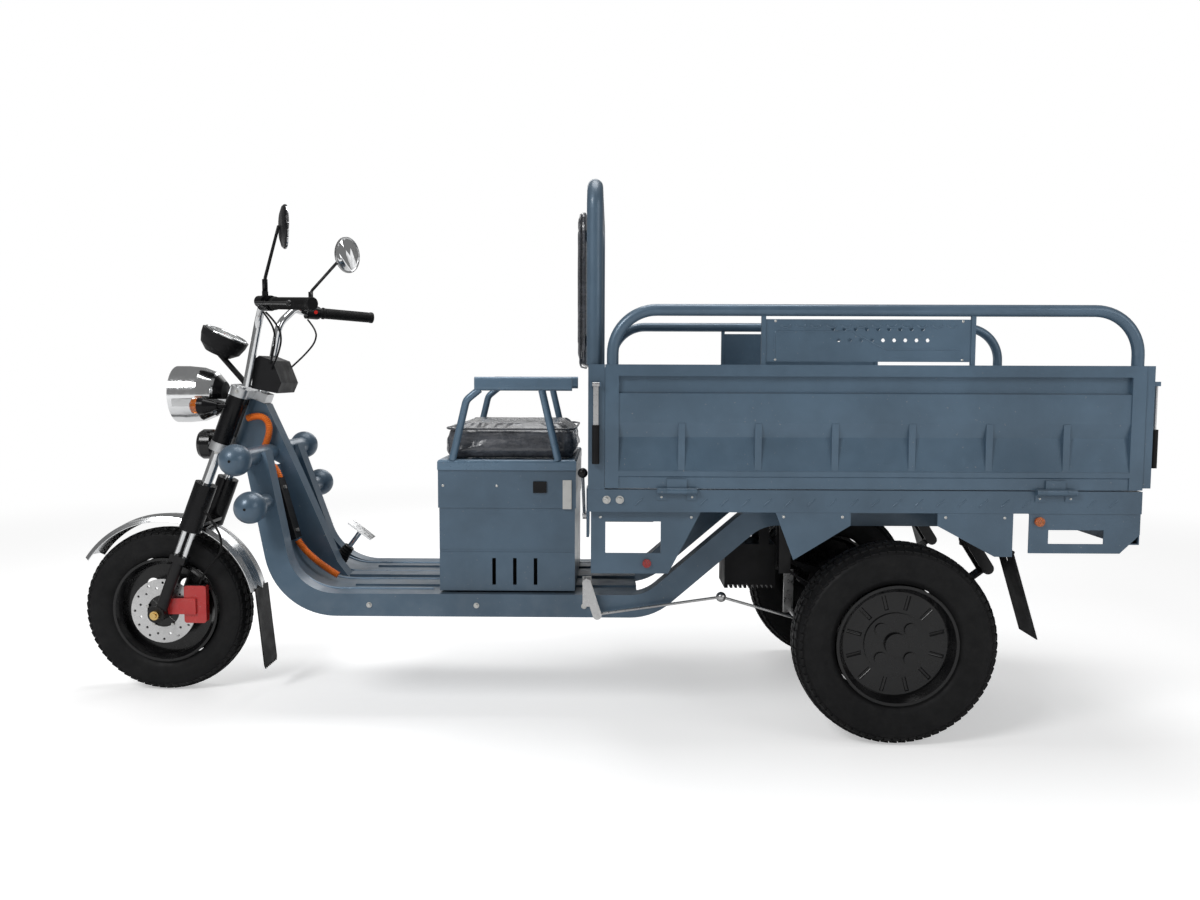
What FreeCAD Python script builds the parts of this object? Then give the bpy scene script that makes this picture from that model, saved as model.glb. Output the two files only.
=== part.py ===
import FreeCAD, Part
import math
import os
import re
import Sketcher

V = FreeCAD.Vector
doc = FreeCAD.newDocument("CargoTricycle")
sheet = doc.addObject("Spreadsheet::Sheet", "Sizes")
KNOWN = set()
NODES = []
WORD = re.compile(r"[a-z][a-z0-9_]*")
TURNS = {
    "x": (V(0, 1, 0), 90),
    "-x": (V(0, 1, 0), -90),
    "y": (V(1, 0, 0), -90),
    "-y": (V(1, 0, 0), 90),
    "z": (V(0, 0, 1), 0),
}
SIDES = {"left": -1, "right": 1}


def sizes(rows):
    """Write named sizes, in millimetres or degrees, into the sheet."""
    for alias, number, note in rows:
        row = len(KNOWN) + 1
        sheet.set("A%d" % row, alias)
        sheet.set("B%d" % row, str(number))
        sheet.setAlias("B%d" % row, alias)
        sheet.set("C%d" % row, note)
        KNOWN.add(alias)
    sheet.recompute()


def in_sheet(expression):
    """The expression with each size's name pointing at the sheet."""
    def prefixed(found):
        word = found.group()
        return "Sizes." + word if word in KNOWN else word
    return WORD.sub(prefixed, str(expression))


def bind(thing, prop, expression):
    thing.setExpression(prop, in_sheet(expression))


def value(expression):
    """The number that an expression of sizes gives now."""
    return float(sheet.evalExpression(in_sheet(expression)))


def point(place):
    return V(*[value(part) for part in place])


def place(thing, at):
    """Bind an object's place to three expressions."""
    for axis, expression in zip("xyz", at):
        bind(thing, "Placement.Base." + axis, expression)
    return thing


def turn(thing, axis, angle):
    """Turn an object about one axis by an angle expression."""
    thing.Placement.Rotation = FreeCAD.Rotation(axis, value(angle))
    bind(thing, "Placement.Rotation.Angle", angle)
    return thing


def box(x, y, z):
    """A block between two values on each axis."""
    block = doc.addObject("Part::Box", "Block")
    for (low, high), length, axis in ((x, "Length", "x"), (y, "Width", "y"), (z, "Height", "z")):
        bind(block, length, "(%s) - (%s)" % (high, low))
        bind(block, "Placement.Base." + axis, low)
    return block


def side_box(side, x, y, z):
    """A block on one side of the middle plane, with y counted outwards."""
    if side > 0:
        return box(x, y, z)
    return box(x, ("-(%s)" % y[1], "-(%s)" % y[0]), z)


def rod(axis, at, length, radius):
    """A round bar from a start point along one axis."""
    bar = doc.addObject("Part::Cylinder", "Bar")
    bind(bar, "Radius", radius)
    bind(bar, "Height", length)
    bar.Placement.Rotation = FreeCAD.Rotation(*TURNS[axis])
    return place(bar, at)


def side_rod(side, at, length, radius):
    """A round bar that runs outwards from a point on one side."""
    x, y, z = at
    if side > 0:
        return rod("y", (x, y, z), length, radius)
    return rod("-y", (x, "-(%s)" % y, z), length, radius)


def ball(at, radius):
    sphere = doc.addObject("Part::Sphere", "Ball")
    bind(sphere, "Radius", radius)
    return place(sphere, at)


def strut(start, end, radius):
    """A round bar between two points."""
    first = point(start)
    last = point(end)
    bar = doc.addObject("Part::Cylinder", "Strut")
    bind(bar, "Radius", radius)
    bar.Height = (last - first).Length
    bar.Placement = FreeCAD.Placement(first, FreeCAD.Rotation(V(0, 0, 1), last - first))
    return bar


def shaped(shape, name="Form"):
    """A form that the script shapes itself from the sizes."""
    form = doc.addObject("Part::Feature", name)
    form.Shape = shape
    return form


def fuse(parts):
    if len(parts) == 1:
        return parts[0]
    joined = doc.addObject("Part::MultiFuse", "Joined")
    joined.Shapes = parts
    return joined


def cut(base, tools):
    remain = doc.addObject("Part::Cut", "Remain")
    remain.Base = base
    remain.Tool = fuse(tools)
    return remain


def common(base, tool):
    shared = doc.addObject("Part::Common", "Shared")
    shared.Base = base
    shared.Tool = tool
    return shared


def rounded(base, radius, chosen):
    """Fillet the edges that a test on each edge picks."""
    base.recompute()
    soft = doc.addObject("Part::Fillet", "Rounded")
    soft.Base = base
    edges = base.Shape.Edges
    soft.Edges = [(i + 1, radius, radius) for i in range(len(edges)) if chosen(edges[i])]
    return soft


def node(label, *parts):
    """One sub-part: a single object, or separate solids side by side."""
    if len(parts) == 1:
        whole = parts[0]
    else:
        whole = doc.addObject("Part::Compound", "Group")
        whole.Links = list(parts)
    whole.Label = label
    NODES.append(whole)
    return whole


def outline(sketch, points):
    """A closed outline with every corner tied to its sizes."""
    count = len(points)
    corners = [V(value(u), value(v), 0) for u, v in points]
    for i in range(count):
        sketch.addGeometry(Part.LineSegment(corners[i], corners[(i + 1) % count]), False)
    for i in range(count):
        sketch.addConstraint(Sketcher.Constraint("Coincident", i, 2, (i + 1) % count, 1))
    for i, corner in enumerate(points):
        for kind, expression, axis in zip(("DistanceX", "DistanceY"), corner, (-2, -1)):
            if expression == "0":
                sketch.addConstraint(Sketcher.Constraint("PointOnObject", i, 1, axis))
                continue
            number = sketch.addConstraint(Sketcher.Constraint(kind, -1, 1, i, 1, value(expression)))
            bind(sketch, "Constraints[%d]" % number, expression)


def sketched(role, points, name):
    """A body with one sketch on one of its own origin planes."""
    body = doc.addObject("PartDesign::Body", name)
    sketch = body.newObject("Sketcher::SketchObject", "Outline")
    plane = [datum for datum in body.Origin.OriginFeatures if datum.Role == role][0]
    sketch.AttachmentSupport = [(plane, "")]
    sketch.MapMode = "FlatFace"
    outline(sketch, points)
    return body, sketch


def turned(profile, at, axis="z"):
    """A turned piece: its outline of radius and height, spun about the axis."""
    body, sketch = sketched("XZ_Plane", profile, "Turned")
    spin = body.newObject("PartDesign::Revolution", "Spin")
    spin.Profile = sketch
    spin.ReferenceAxis = (sketch, ["V_Axis"])
    spin.Angle = 360
    body.Placement.Rotation = FreeCAD.Rotation(*TURNS[axis])
    return place(body, at)


def raked(thing, at, angle="rake"):
    """Lean an upright piece back about the cross axis."""
    turn(thing, V(0, 1, 0), angle)
    return place(thing, at)


def plate(points, low, high):
    """A flat piece seen from the side, between two values across."""
    body, sketch = sketched("XZ_Plane", points, "Plate")
    pad = body.newObject("PartDesign::Pad", "Pad")
    pad.Profile = sketch
    pad.Reversed = True
    bind(pad, "Length", "(%s) - (%s)" % (high, low))
    return place(body, ("0", low, "0"))


def side_plate(side, points, low, high):
    if side > 0:
        return plate(points, low, high)
    return plate(points, "-(%s)" % high, "-(%s)" % low)


def path_wire(corners, bends):
    """Straight runs joined by tangent arcs, one bend radius to each inner corner."""
    edges = []
    start = corners[0]
    for i, bend in enumerate(bends):
        corner = corners[i + 1]
        before = (corners[i] - corner).normalize()
        after = (corners[i + 2] - corner).normalize()
        half = before.getAngle(after) / 2
        reach = bend / math.tan(half)
        first = corner + before * reach
        last = corner + after * reach
        inward = (before + after).normalize()
        middle = corner + inward * (bend / math.sin(half) - bend)
        if (first - start).Length > 0.001:
            edges.append(Part.LineSegment(start, first).toShape())
        edges.append(Part.Arc(first, middle, last).toShape())
        start = last
    edges.append(Part.LineSegment(start, corners[-1]).toShape())
    return Part.Wire(edges)


def bent_tube(corners, radius, bends):
    """A round bar along straight runs and tangent arcs."""
    corners = [point(corner) for corner in corners]
    if not isinstance(bends, (list, tuple)):
        bends = [bends] * (len(corners) - 2)
    wire = path_wire(corners, [value(bend) for bend in bends])
    circle = Part.Wire(Part.makeCircle(value(radius), corners[0], corners[1] - corners[0]))
    return wire.makePipeShell([circle], True, True)


def cord(corners, radius):
    """A cable along its route, each arc as wide as its two runs allow."""
    corners = [point(corner) for corner in corners]
    bends = []
    for before, corner, after in zip(corners, corners[1:], corners[2:]):
        half_turn = (math.pi - (before - corner).getAngle(after - corner)) / 2
        run = min((before - corner).Length, (after - corner).Length)
        bends.append(0.45 * run / math.tan(half_turn))
    print("cable radii", [round(bend, 1) for bend in bends])
    wire = path_wire(corners, bends)
    circle = Part.Wire(Part.makeCircle(value(radius), corners[0], corners[1] - corners[0]))
    return wire.makePipeShell([circle], True, True)


def mirrored_points(points, side):
    """Corner expressions with y turned to one side."""
    return [(x, "%d * (%s)" % (side, y), z) for x, y, z in points]


# Shared sizes
sizes([
    ("front_axle_x", -1342, "front axle place along the vehicle"),
    ("rake", 21, "steering axis leans back, degrees"),
    ("fork_side", 90, "fork tube from the middle"),
    ("steer_x", -1019, "steering axis at the datum height"),
    ("fork_x", -1062, "fork tubes at the datum height"),
    ("datum_z", 985, "height where both axes are measured"),
    ("running_gap", 0.05, "radial clearance of a turning or sliding fit"),
    ("seat_gap", 0.3, "clearance between pieces that lie close"),
    ("paint_gap", 0.2, "clearance between bolted sheets"),
])


def steer_spot(u, y, w):
    """A point given behind the steering axis, across, and along the axis from the datum."""
    return (
        "steer_x + (%s) * cos(rake) + (%s) * sin(rake)" % (u, w),
        y,
        "datum_z - (%s) * sin(rake) + (%s) * cos(rake)" % (u, w),
    )


def on_fork(z):
    """The fork tubes' line along the vehicle at a height."""
    return "fork_x - tan(rake) * (datum_z - (%s))" % z


def steer_rod(u, y, low, high, radius):
    """A round bar parallel to the steering axis."""
    bar = doc.addObject("Part::Cylinder", "Bar")
    bind(bar, "Radius", radius)
    bind(bar, "Height", "(%s) - (%s)" % (high, low))
    return raked(bar, steer_spot(u, y, low))


def steer_box(u, y, w):
    """A block square to the steering axis."""
    block = doc.addObject("Part::Box", "Block")
    for (low, high), length in ((u, "Length"), (y, "Width"), (w, "Height")):
        bind(block, length, "(%s) - (%s)" % (high, low))
    return raked(block, steer_spot(u[0], y[0], w[0]))


# Side rails, cross members and the bed's tipping hinge
sizes([
    ("bed_low", 657, "underside of the bed base"),
    ("rail_wide", 60, "rail section across"),
    ("rail_deep", 68, "rail section in height"),
    ("rail_wall", 3, "rail wall"),
    ("rail_top_x", -988, "upper end of the rails"),
    ("rail_top_y", 156, "upper end of the rails from the middle"),
    ("rail_top_z", 785, "upper end of the rails"),
    ("rail_y", 255, "rail centre from the middle at the floor"),
    ("floor_corner_x", -868, "where leg and floor lines meet"),
    ("rail_floor_z", 344, "rail centre under the floor"),
    ("kick_low_x", 212, "start of the kick-up"),
    ("kick_high_x", 535, "end of the kick-up"),
    ("floor_bend", 196, "rail bend from leg to floor"),
    ("kick_bend", 150, "rail bends at the kick-up"),
    ("tip_x", 1235, "tipping hinge along the vehicle"),
    ("tip_drop", 17, "tipping hinge below the bed"),
    ("tip_pin", 6, "tipping hinge pin radius"),
    ("member_half", 20, "half length of a cross member"),
    ("member_deep", 40, "cross member height"),
    ("ball_bar_x", -995, "upper ball bar"),
    ("ball_bar_z", 778, "upper ball bar"),
    ("ball_bar_radius", 28.5, "upper ball bar"),
    ("ball_y", 324, "upper balls from the middle"),
    ("ball_radius", 47, "all four balls"),
    ("low_ball_x", -947, "lower balls"),
    ("low_ball_y", 343, "lower balls from the middle"),
    ("low_ball_z", 642, "lower balls"),
    ("stub_radius", 25, "stub under a lower ball"),
    ("stub_inner_y", 195, "inner end of a stub, inside the rail"),
    ("neck_half", 30, "half width of the spine"),
])
RAIL_REAR_Z = "bed_low - seat_gap - rail_deep / 2"
TIP_Z = "bed_low - tip_drop"
LEG_FALL = "((floor_corner_x - rail_top_x) / (rail_top_z - rail_floor_z))"


def on_leg(z):
    """The rail's centre along the vehicle at a height in the leg."""
    return "rail_top_x + (rail_top_z - (%s)) * %s" % (z, LEG_FALL)


def rail_form(side, inset):
    """A bar along the rail's line, its section drawn in by an inset."""
    corners = [point(corner) for corner in mirrored_points([
        ("rail_top_x", "rail_top_y", "rail_top_z"),
        ("floor_corner_x", "rail_y", "rail_floor_z"),
        ("kick_low_x", "rail_y", "rail_floor_z"),
        ("kick_high_x", "rail_y", RAIL_REAR_Z),
        ("tip_x", "rail_y", RAIL_REAR_Z),
    ], side)]
    wire = path_wire(corners, [value("floor_bend"), value("kick_bend"), value("kick_bend")])
    across = V(0, 1, 0)
    upward = (corners[1] - corners[0]).cross(across).normalize() * (value("rail_deep / 2") - inset)
    across = across * (value("rail_wide / 2") - inset)
    start = corners[0]
    section = Part.makePolygon([
        start + across + upward, start - across + upward, start - across - upward,
        start + across - upward, start + across + upward,
    ])
    sweep = Part.BRepOffsetAPI.MakePipeShell(wire)
    sweep.setBiNormalMode(V(0, 1, 0))
    sweep.add(section)
    sweep.build()
    sweep.makeSolid()
    return sweep.shape()


rail_forms = {side: rail_form(side, 0) for side in SIDES.values()}


def side_rail(side):
    """One bent rail from the bar, down the leg, along the floor and up under the bed."""
    return shaped(rail_forms[side], "Rail")


def hollow_rail(side):
    bore = shaped(rail_form(side, value("rail_wall")), "Bore")
    return cut(side_rail(side), [bore])


def ball_bar():
    return rod("y", ("ball_bar_x", "-ball_y", "ball_bar_z"), "2 * ball_y", "ball_bar_radius + seat_gap")


sizes([
    ("member_one_x", -560, "first floor member"),
    ("member_two_x", -60, "second floor member"),
    ("member_three_x", 130, "third floor member"),
    ("member_four_x", 560, "first member under the bed"),
    ("member_five_x", 1130, "second member under the bed"),
    ("pan_top", 376, "floor pan surface"),
    ("pan_thick", 3, "floor pan sheet"),
])
inner_rail = "rail_y - rail_wide / 2"
members = []
for member in ("member_one_x", "member_two_x", "member_three_x"):
    members.append(box((member + " - member_half", member + " + member_half"),
                       ("-(%s)" % inner_rail, inner_rail),
                       ("pan_top - pan_thick - seat_gap - member_deep", "pan_top - pan_thick - seat_gap")))
for member in ("member_four_x", "member_five_x"):
    members.append(box((member + " - member_half", member + " + member_half"),
                       ("-(%s)" % inner_rail, inner_rail),
                       (RAIL_REAR_Z + " - member_deep / 2", RAIL_REAR_Z + " + member_deep / 2")))
rails = []
for side in SIDES.values():
    rail = cut(hollow_rail(side), [ball_bar()])
    knuckle = side_rod(side, ("tip_x", inner_rail, TIP_Z), "rail_wide", "tip_drop - seat_gap")
    pin = side_rod(side, ("tip_x", inner_rail, TIP_Z), "rail_wide + 3 * tip_drop / 4", "tip_pin")
    rails += [rail, knuckle, pin]
frame = node("chassis_frame", fuse(rails + members))

# Floor pan and leg shield, one sheet bent at the foot
sizes([
    ("shield_set", 14.5, "shield face behind the rail centre"),
    ("shield_top", 742, "upper edge of the shield"),
    ("pan_bend", 180, "bend of the sheet at the foot"),
    ("pan_end_x", 178, "rear end of the floor pan"),
    ("pan_rib_half", 16, "half width of a pressed rib"),
    ("pan_rib_high", 6, "height of a pressed rib"),
    ("pan_rib_y", 150, "outer ribs from the middle"),
    ("ridge_high", 8, "middle ridge above the pan"),
    ("ridge_front_x", -745, "front end of the middle ridge"),
    ("rib_front_x", -690, "front end of the outer ribs"),
])
SHIELD = "shield_set + " + on_leg("%s")


def under_pan(lift):
    """All space ahead of and below the pan's upper face, raised by a clearance."""
    top = value("shield_top")
    low = value("pan_top") + lift
    lean = value(LEG_FALL)
    shift = lift * math.sqrt(1 + lean * lean)
    top_x = value(SHIELD % "shield_top") + shift
    corner_x = top_x + (top - low) * lean
    far = value("rail_deep") * 4
    corners = [V(top_x, 0, top), V(corner_x, 0, low), V(value("pan_end_x"), 0, low)]
    upper = path_wire(corners, [value("pan_bend") - lift])
    closing = Part.makePolygon([corners[2], V(corners[2].x, 0, low - far), V(top_x - far, 0, low - far),
                                V(top_x - far, 0, top), corners[0]])
    face = Part.Face(Part.Wire(upper.Edges + closing.Edges))
    face.translate(V(0, -value("rail_y"), 0))
    return face.extrude(V(0, 2 * value("rail_y"), 0))


taper, taper_sketch = sketched("YZ_Plane", [
    ("-rail_y", "pan_top - rail_deep"), ("rail_y", "pan_top - rail_deep"), ("rail_y", "rail_floor_z"),
    ("rail_top_y", "rail_top_z"), ("-rail_top_y", "rail_top_z"), ("-rail_y", "rail_floor_z"),
], "Taper")
taper_pad = taper.newObject("PartDesign::Pad", "Pad")
taper_pad.Profile = taper_sketch
bind(taper_pad, "Length", "pan_end_x - rail_top_x + 2 * rail_deep")
place(taper, ("rail_top_x - rail_deep", "0", "0"))
sheet_metal = cut(shaped(under_pan(0), "Pan"), [shaped(under_pan(-value("pan_thick")), "Below")])
sheet_metal = cut(common(sheet_metal, taper), [cut(side_rail(side), [ball_bar()])
                                               for side in SIDES.values()])
ribs = [box(("ridge_front_x", "pan_end_x"), ("-neck_half", "neck_half"), ("pan_top - pan_thick",
        "pan_top + ridge_high"))]
for side in SIDES.values():
    ribs.append(side_box(side, ("rib_front_x", "pan_end_x"), ("pan_rib_y - pan_rib_half",
            "pan_rib_y + pan_rib_half"),
                         ("pan_top - pan_thick", "pan_top + pan_rib_high")))
node("floor_pan", fuse([sheet_metal] + ribs))

# Spine with the head tube
sizes([
    ("head_low", -198, "lower end of the head tube along the axis"),
    ("head_high", -43, "upper end of the head tube along the axis"),
    ("head_radius", 29, "head tube outside"),
    ("stem_radius", 15, "steering stem"),
    ("spine_top_x", -1004, "rear of the spine at its top"),
    ("spine_top_z", 932, "top of the spine"),
    ("spine_knee_x", -909, "rear of the spine at the bar"),
    ("spine_knee_z", 719, "rear of the spine at the bar"),
    ("spine_foot_x", -784, "foot of the spine"),
    ("spine_foot_z", 424, "foot of the spine"),
    ("spine_toe_x", -748, "end of the spine on the floor"),
    ("spine_clear", 70, "level underside of the spine behind the lower clamp"),
])
head_low_spot = steer_spot("0", "0", "head_low")
head_high_spot = steer_spot("0", "0", "head_high")
spine_notch = steer_spot("spine_clear", "0", "head_low")
spine = plate([
    (head_low_spot[0], head_low_spot[2]), (head_high_spot[0], head_high_spot[2]), ("spine_top_x",
            "spine_top_z"),
    ("spine_knee_x", "spine_knee_z"), ("spine_foot_x", "spine_foot_z"), ("spine_toe_x",
            "pan_top + seat_gap"),
    ("floor_corner_x", "pan_top + seat_gap"), (SHIELD % "shield_top", "shield_top"), (spine_notch[0],
            spine_notch[2]),
], "-neck_half", "neck_half")
spine = cut(spine, [shaped(under_pan(value("seat_gap")), "Pan")])
head = fuse([spine, steer_rod("0", "0", "head_low", "head_high", "head_radius")])
node("spine_and_head", cut(head, [steer_rod("0", "0", "head_low - neck_half", "head_high + neck_half",
                                            "stem_radius + running_gap")]))

# Bars with ball ends
bars = []
for side in SIDES.values():
    upper = fuse([
        side_rod(side, ("ball_bar_x", "neck_half + seat_gap", "ball_bar_z"),
                 "ball_y - neck_half - seat_gap",
                 "ball_bar_radius"),
        ball(("ball_bar_x", "%d * ball_y" % side, "ball_bar_z"), "ball_radius"),
    ])
    stub = cut(side_rod(side, ("low_ball_x", "stub_inner_y", "low_ball_z"), "low_ball_y - stub_inner_y",
                        "stub_radius"), [side_rail(side)])
    bars += [upper,
             fuse([stub, ball(("low_ball_x", "%d * low_ball_y" % side, "low_ball_z"), "ball_radius")])]
node("ball_bars", *bars)


# Cable cover on the leg shield, with its bolts
sizes([
    ("cover_low", 512, "lower end of the cable cover"),
    ("cover_long", 198, "cable cover along the shield"),
    ("cover_y", 115, "cable cover from the middle"),
    ("cover_half", 28, "half width of the cable cover"),
    ("cover_thick", 20, "cable cover off the shield"),
    ("cover_bolt", 6, "bolt head radius"),
    ("cover_bolt_low", 30, "lower bolt from the cover's end"),
    ("cover_bolt_high", 170, "upper bolt from the cover's end"),
])
LEG_LEAN = "(-atan(%s) / 1deg)" % LEG_FALL


def on_shield(y, low, out):
    """A place on the shield's face, a height and a distance off the face given."""
    return ("%s + (%s) / cos(%s)" % (SHIELD % low, out, LEG_LEAN), y, low)


cover = doc.addObject("Part::Box", "Cover")
bind(cover, "Length", "cover_thick")
bind(cover, "Width", "2 * cover_half")
bind(cover, "Height", "cover_long")
raked(cover, on_shield("-cover_y - cover_half", "cover_low", "seat_gap"), LEG_LEAN)
cover_bolts = []
for along in ("cover_bolt_low", "cover_bolt_high"):
    bolt = doc.addObject("Part::Cylinder", "Bolt")
    bind(bolt, "Radius", "cover_bolt")
    bind(bolt, "Height", "cover_bolt")
    raked(bolt, on_shield("-cover_y", "cover_low + %s * cos(%s)" % (along, LEG_LEAN),
                          "seat_gap + cover_thick"),
          "90 + " + LEG_LEAN)
    cover_bolts.append(bolt)
node("cable_cover", cover, *cover_bolts)

# Ribbed conduit in three lengths
sizes([
    ("hose_radius", 11, "conduit over its ribs"),
    ("hose_valley", 9, "conduit between its ribs"),
    ("hose_bore", 7.5, "conduit bore radius"),
    ("hose_pitch", 5.5, "rib spacing"),
    ("hose_neck_y", 52, "conduit loop beside the neck"),
    ("hose_cover_y", 115, "conduit at the cable cover"),
])


def ribbed(corners, bends):
    """A ribbed conduit with its bore, along a route that lies in one upright plane."""
    corners = [point(corner) for corner in corners]
    wire = path_wire(corners, bends)
    big, small = value("hose_radius"), value("hose_valley")
    straight = 2 * big
    count = int((wire.Length - 2 * straight) / value("hose_pitch"))
    pitch = (wire.Length - 2 * straight) / count
    stations = [(0, small), (straight - pitch * 0.1, small)]
    for i in range(count):
        start = straight + i * pitch
        stations += [(start, small), (start + 0.2 * pitch, big), (start + 0.6 * pitch, big),
                     (start + 0.8 * pitch, small)]
    stations.append((wire.Length, small))
    edges = wire.OrderedEdges
    circles, bores = [], []
    for along, radius in stations:
        rest = min(along, wire.Length - 0.0001)
        for edge in edges:
            if rest <= edge.Length:
                break
            rest -= edge.Length
        spot = edge.getParameterByLength(rest)
        centre, tangent = edge.valueAt(spot), edge.tangentAt(spot)
        if edge.Orientation == "Reversed":
            tangent = tangent * -1
        turn_to = FreeCAD.Rotation(V(0, 1, 0), V(0, 0, 0), tangent, "ZXY")
        where = FreeCAD.Placement(centre, turn_to)
        circles.append(round_wire(radius, where))
        bores.append(round_wire(value("hose_bore"), where))
    skin = Part.makeLoft(circles, False, True).Faces + Part.makeLoft(bores[:1] + bores[1::4] + bores[-1:],
            False, True).Faces
    rings = [Part.Face([circles[i], bores[i]]) for i in (0, -1)]
    closed = Part.makeShell(skin + rings)
    closed.sewShape()
    solid = Part.makeSolid(closed)
    if solid.Volume < 0:
        solid.reverse()
    solid.fix(0.001, 0.001, 0.001)
    return solid


def round_wire(radius, where):
    circle = Part.makeCircle(radius)
    circle.Placement = where
    return Part.Wire(circle)


loop = shaped(ribbed([
    ("-1058", "-hose_neck_y", "888"), ("-1006", "-hose_neck_y", "906"), ("-979", "-hose_neck_y", "848"),
    ("-1008", "-hose_neck_y", "790"),
], [28, 40]), "Loop")
upper_stub = shaped(ribbed([
    ("-984", "-hose_cover_y", "760"), ("-946", "-hose_cover_y", "745"), ("-937", "-hose_cover_y", "705"),
], [22]), "UpperStub")
lower_stub = shaped(ribbed([
    ("-883", "-hose_cover_y", "509"), ("-854", "-hose_cover_y", "456"), ("-758", "-hose_cover_y", "398"),
], [50]), "LowerStub")
above_pan = shaped(under_pan(value("seat_gap")), "HoseFloor")
node("orange_conduit",
     cut(loop, [ball_bar()]), cut(upper_stub, [ball_bar(), cover, above_pan]), cut(lower_stub, [cover,
             above_pan]))

# Rear springs with their brackets
sizes([
    ("rear_axle_x", 894, "rear axle along the vehicle"),
    ("rear_tyre_radius", 284, "rear tyre"),
    ("eye_x", 613, "front spring eye"),
    ("eye_z", 463, "front spring eye"),
    ("shackle_top_x", 1161, "shackle pivot on the rail"),
    ("shackle_top_z", 543, "shackle pivot on the rail"),
    ("shackle_low_x", 1212, "shackle pivot on the spring"),
    ("shackle_low_z", 463, "shackle pivot on the spring"),
    ("leaf_seat_z", 352, "main leaf over the axle"),
    ("leaf_thick", 6, "one leaf"),
    ("leaf_wide", 50, "leaf width"),
    ("leaf_eye", 15, "spring eye outside"),
    ("eye_pin", 7, "spring eye and shackle pins"),
    ("ear_thick", 6, "bracket and shackle plates"),
    ("ear_half", 17, "half length of a bracket plate"),
    ("leaf_count", 4, "leaves in a pack"),
    ("leaf_step", 62, "each leaf shorter than the one above, at each end"),
])


def leaf_pack():
    """Curved leaves, each shorter than the one above it, and the eyes of the main leaf."""
    start = V(value("eye_x"), 0, value("eye_z"))
    end = V(value("shackle_low_x"), 0, value("shackle_low_z"))
    middle = V(value("rear_axle_x"), 0, value("leaf_seat_z"))
    circle = Part.Arc(start, middle, end).toShape().Curve
    centre, radius = circle.Center, circle.Radius
    first = math.atan2(start.x - centre.x, centre.z - start.z)
    last = math.atan2(end.x - centre.x, centre.z - end.z)
    wide = value("leaf_wide")
    thick = value("leaf_thick")
    leaves = []
    for i in range(int(value("leaf_count"))):
        trim = i * value("leaf_step") / radius
        bends = []
        for r in (radius + (i - 0.5) * thick, radius + (i + 0.5) * thick):
            spots = [centre + V(math.sin(a), 0, -math.cos(a)) * r
                     for a in (first + trim, (first + last) / 2, last - trim)]
            bends.append(spots)
        inner, outer = bends
        edges = [Part.Arc(*inner).toShape(), Part.makeLine(inner[2], outer[2]), Part.Arc(*outer).toShape(),
                 Part.makeLine(outer[0], inner[0])]
        face = Part.Face(Part.Wire(Part.__sortEdges__(edges)))
        face.translate(V(0, -wide / 2, 0))
        leaves.append(face.extrude(V(0, wide, 0)))
    whole = leaves[0].multiFuse(leaves[1:])
    for spot in (start, end):
        eye = Part.makeCylinder(value("leaf_eye"), wide, spot - V(0, wide / 2, 0), V(0, 1, 0))
        bore = Part.makeCylinder(value("eye_pin + running_gap"), wide, spot - V(0, wide / 2, 0), V(0, 1, 0))
        whole = whole.fuse(eye).cut(bore)
    return whole.removeSplitter()


def link(first, last, half, low, high):
    """A flat bar with round ends between two places in side view, from one value across to another."""
    start = V(value(first[0]), value(low), value(first[1]))
    end = V(value(last[0]), value(low), value(last[1]))
    along = (end - start).normalize()
    out = along.cross(V(0, 1, 0)) * value(half)
    tip = along * value(half)
    face = Part.Face(Part.Wire(Part.__sortEdges__([
        Part.makeLine(start + out, end + out), Part.Arc(end + out, end + tip, end - out).toShape(),
        Part.makeLine(end - out, start - out), Part.Arc(start - out, start - tip, start + out).toShape(),
    ])))
    return shaped(face.extrude(V(0, value(high) - value(low), 0)), "Link")


def side_link(side, first, last, half, low, high):
    if side > 0:
        return link(first, last, half, low, high)
    return link(first, last, half, "-(%s)" % high, "-(%s)" % low)


packs = []
brackets = []
rail_under = RAIL_REAR_Z + " - rail_deep / 2"
pin_inner = "rail_y - leaf_wide / 2 - seat_gap - ear_thick"
pin_long = "leaf_wide + 2 * (seat_gap + ear_thick)"
for side in SIDES.values():
    packs.append(place(shaped(leaf_pack(), "Leaves"), ("0", "%d * rail_y" % side, "0")))
    front = [side_rod(side, ("eye_x", pin_inner, "eye_z"), pin_long, "eye_pin")]
    rear = [side_rod(side, ("shackle_top_x", pin_inner, "shackle_top_z"), pin_long, "eye_pin"),
            side_rod(side, ("shackle_low_x", pin_inner, "shackle_low_z"), pin_long, "eye_pin"),
            side_box(side, ("shackle_top_x - ear_half", "shackle_top_x + ear_half"),
                     ("rail_y - leaf_wide / 2", "rail_y + leaf_wide / 2"),
                     ("shackle_top_z - ear_half", rail_under + " - seat_gap"))]
    for inner in (pin_inner, "rail_y + leaf_wide / 2 + seat_gap"):
        front.append(side_box(side, ("eye_x - ear_half", "eye_x + ear_half"), (inner,
                inner + " + ear_thick"),
                              ("eye_z - ear_half", rail_under + " - seat_gap")))
        rear.append(side_link(side, ("shackle_top_x", "shackle_top_z"), ("shackle_low_x", "shackle_low_z"),
                              "ear_half", inner, inner + " + ear_thick"))
    brackets += [fuse(front), fuse(rear)]
node("leaf_springs", *packs)
node("spring_brackets", *brackets)

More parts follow.
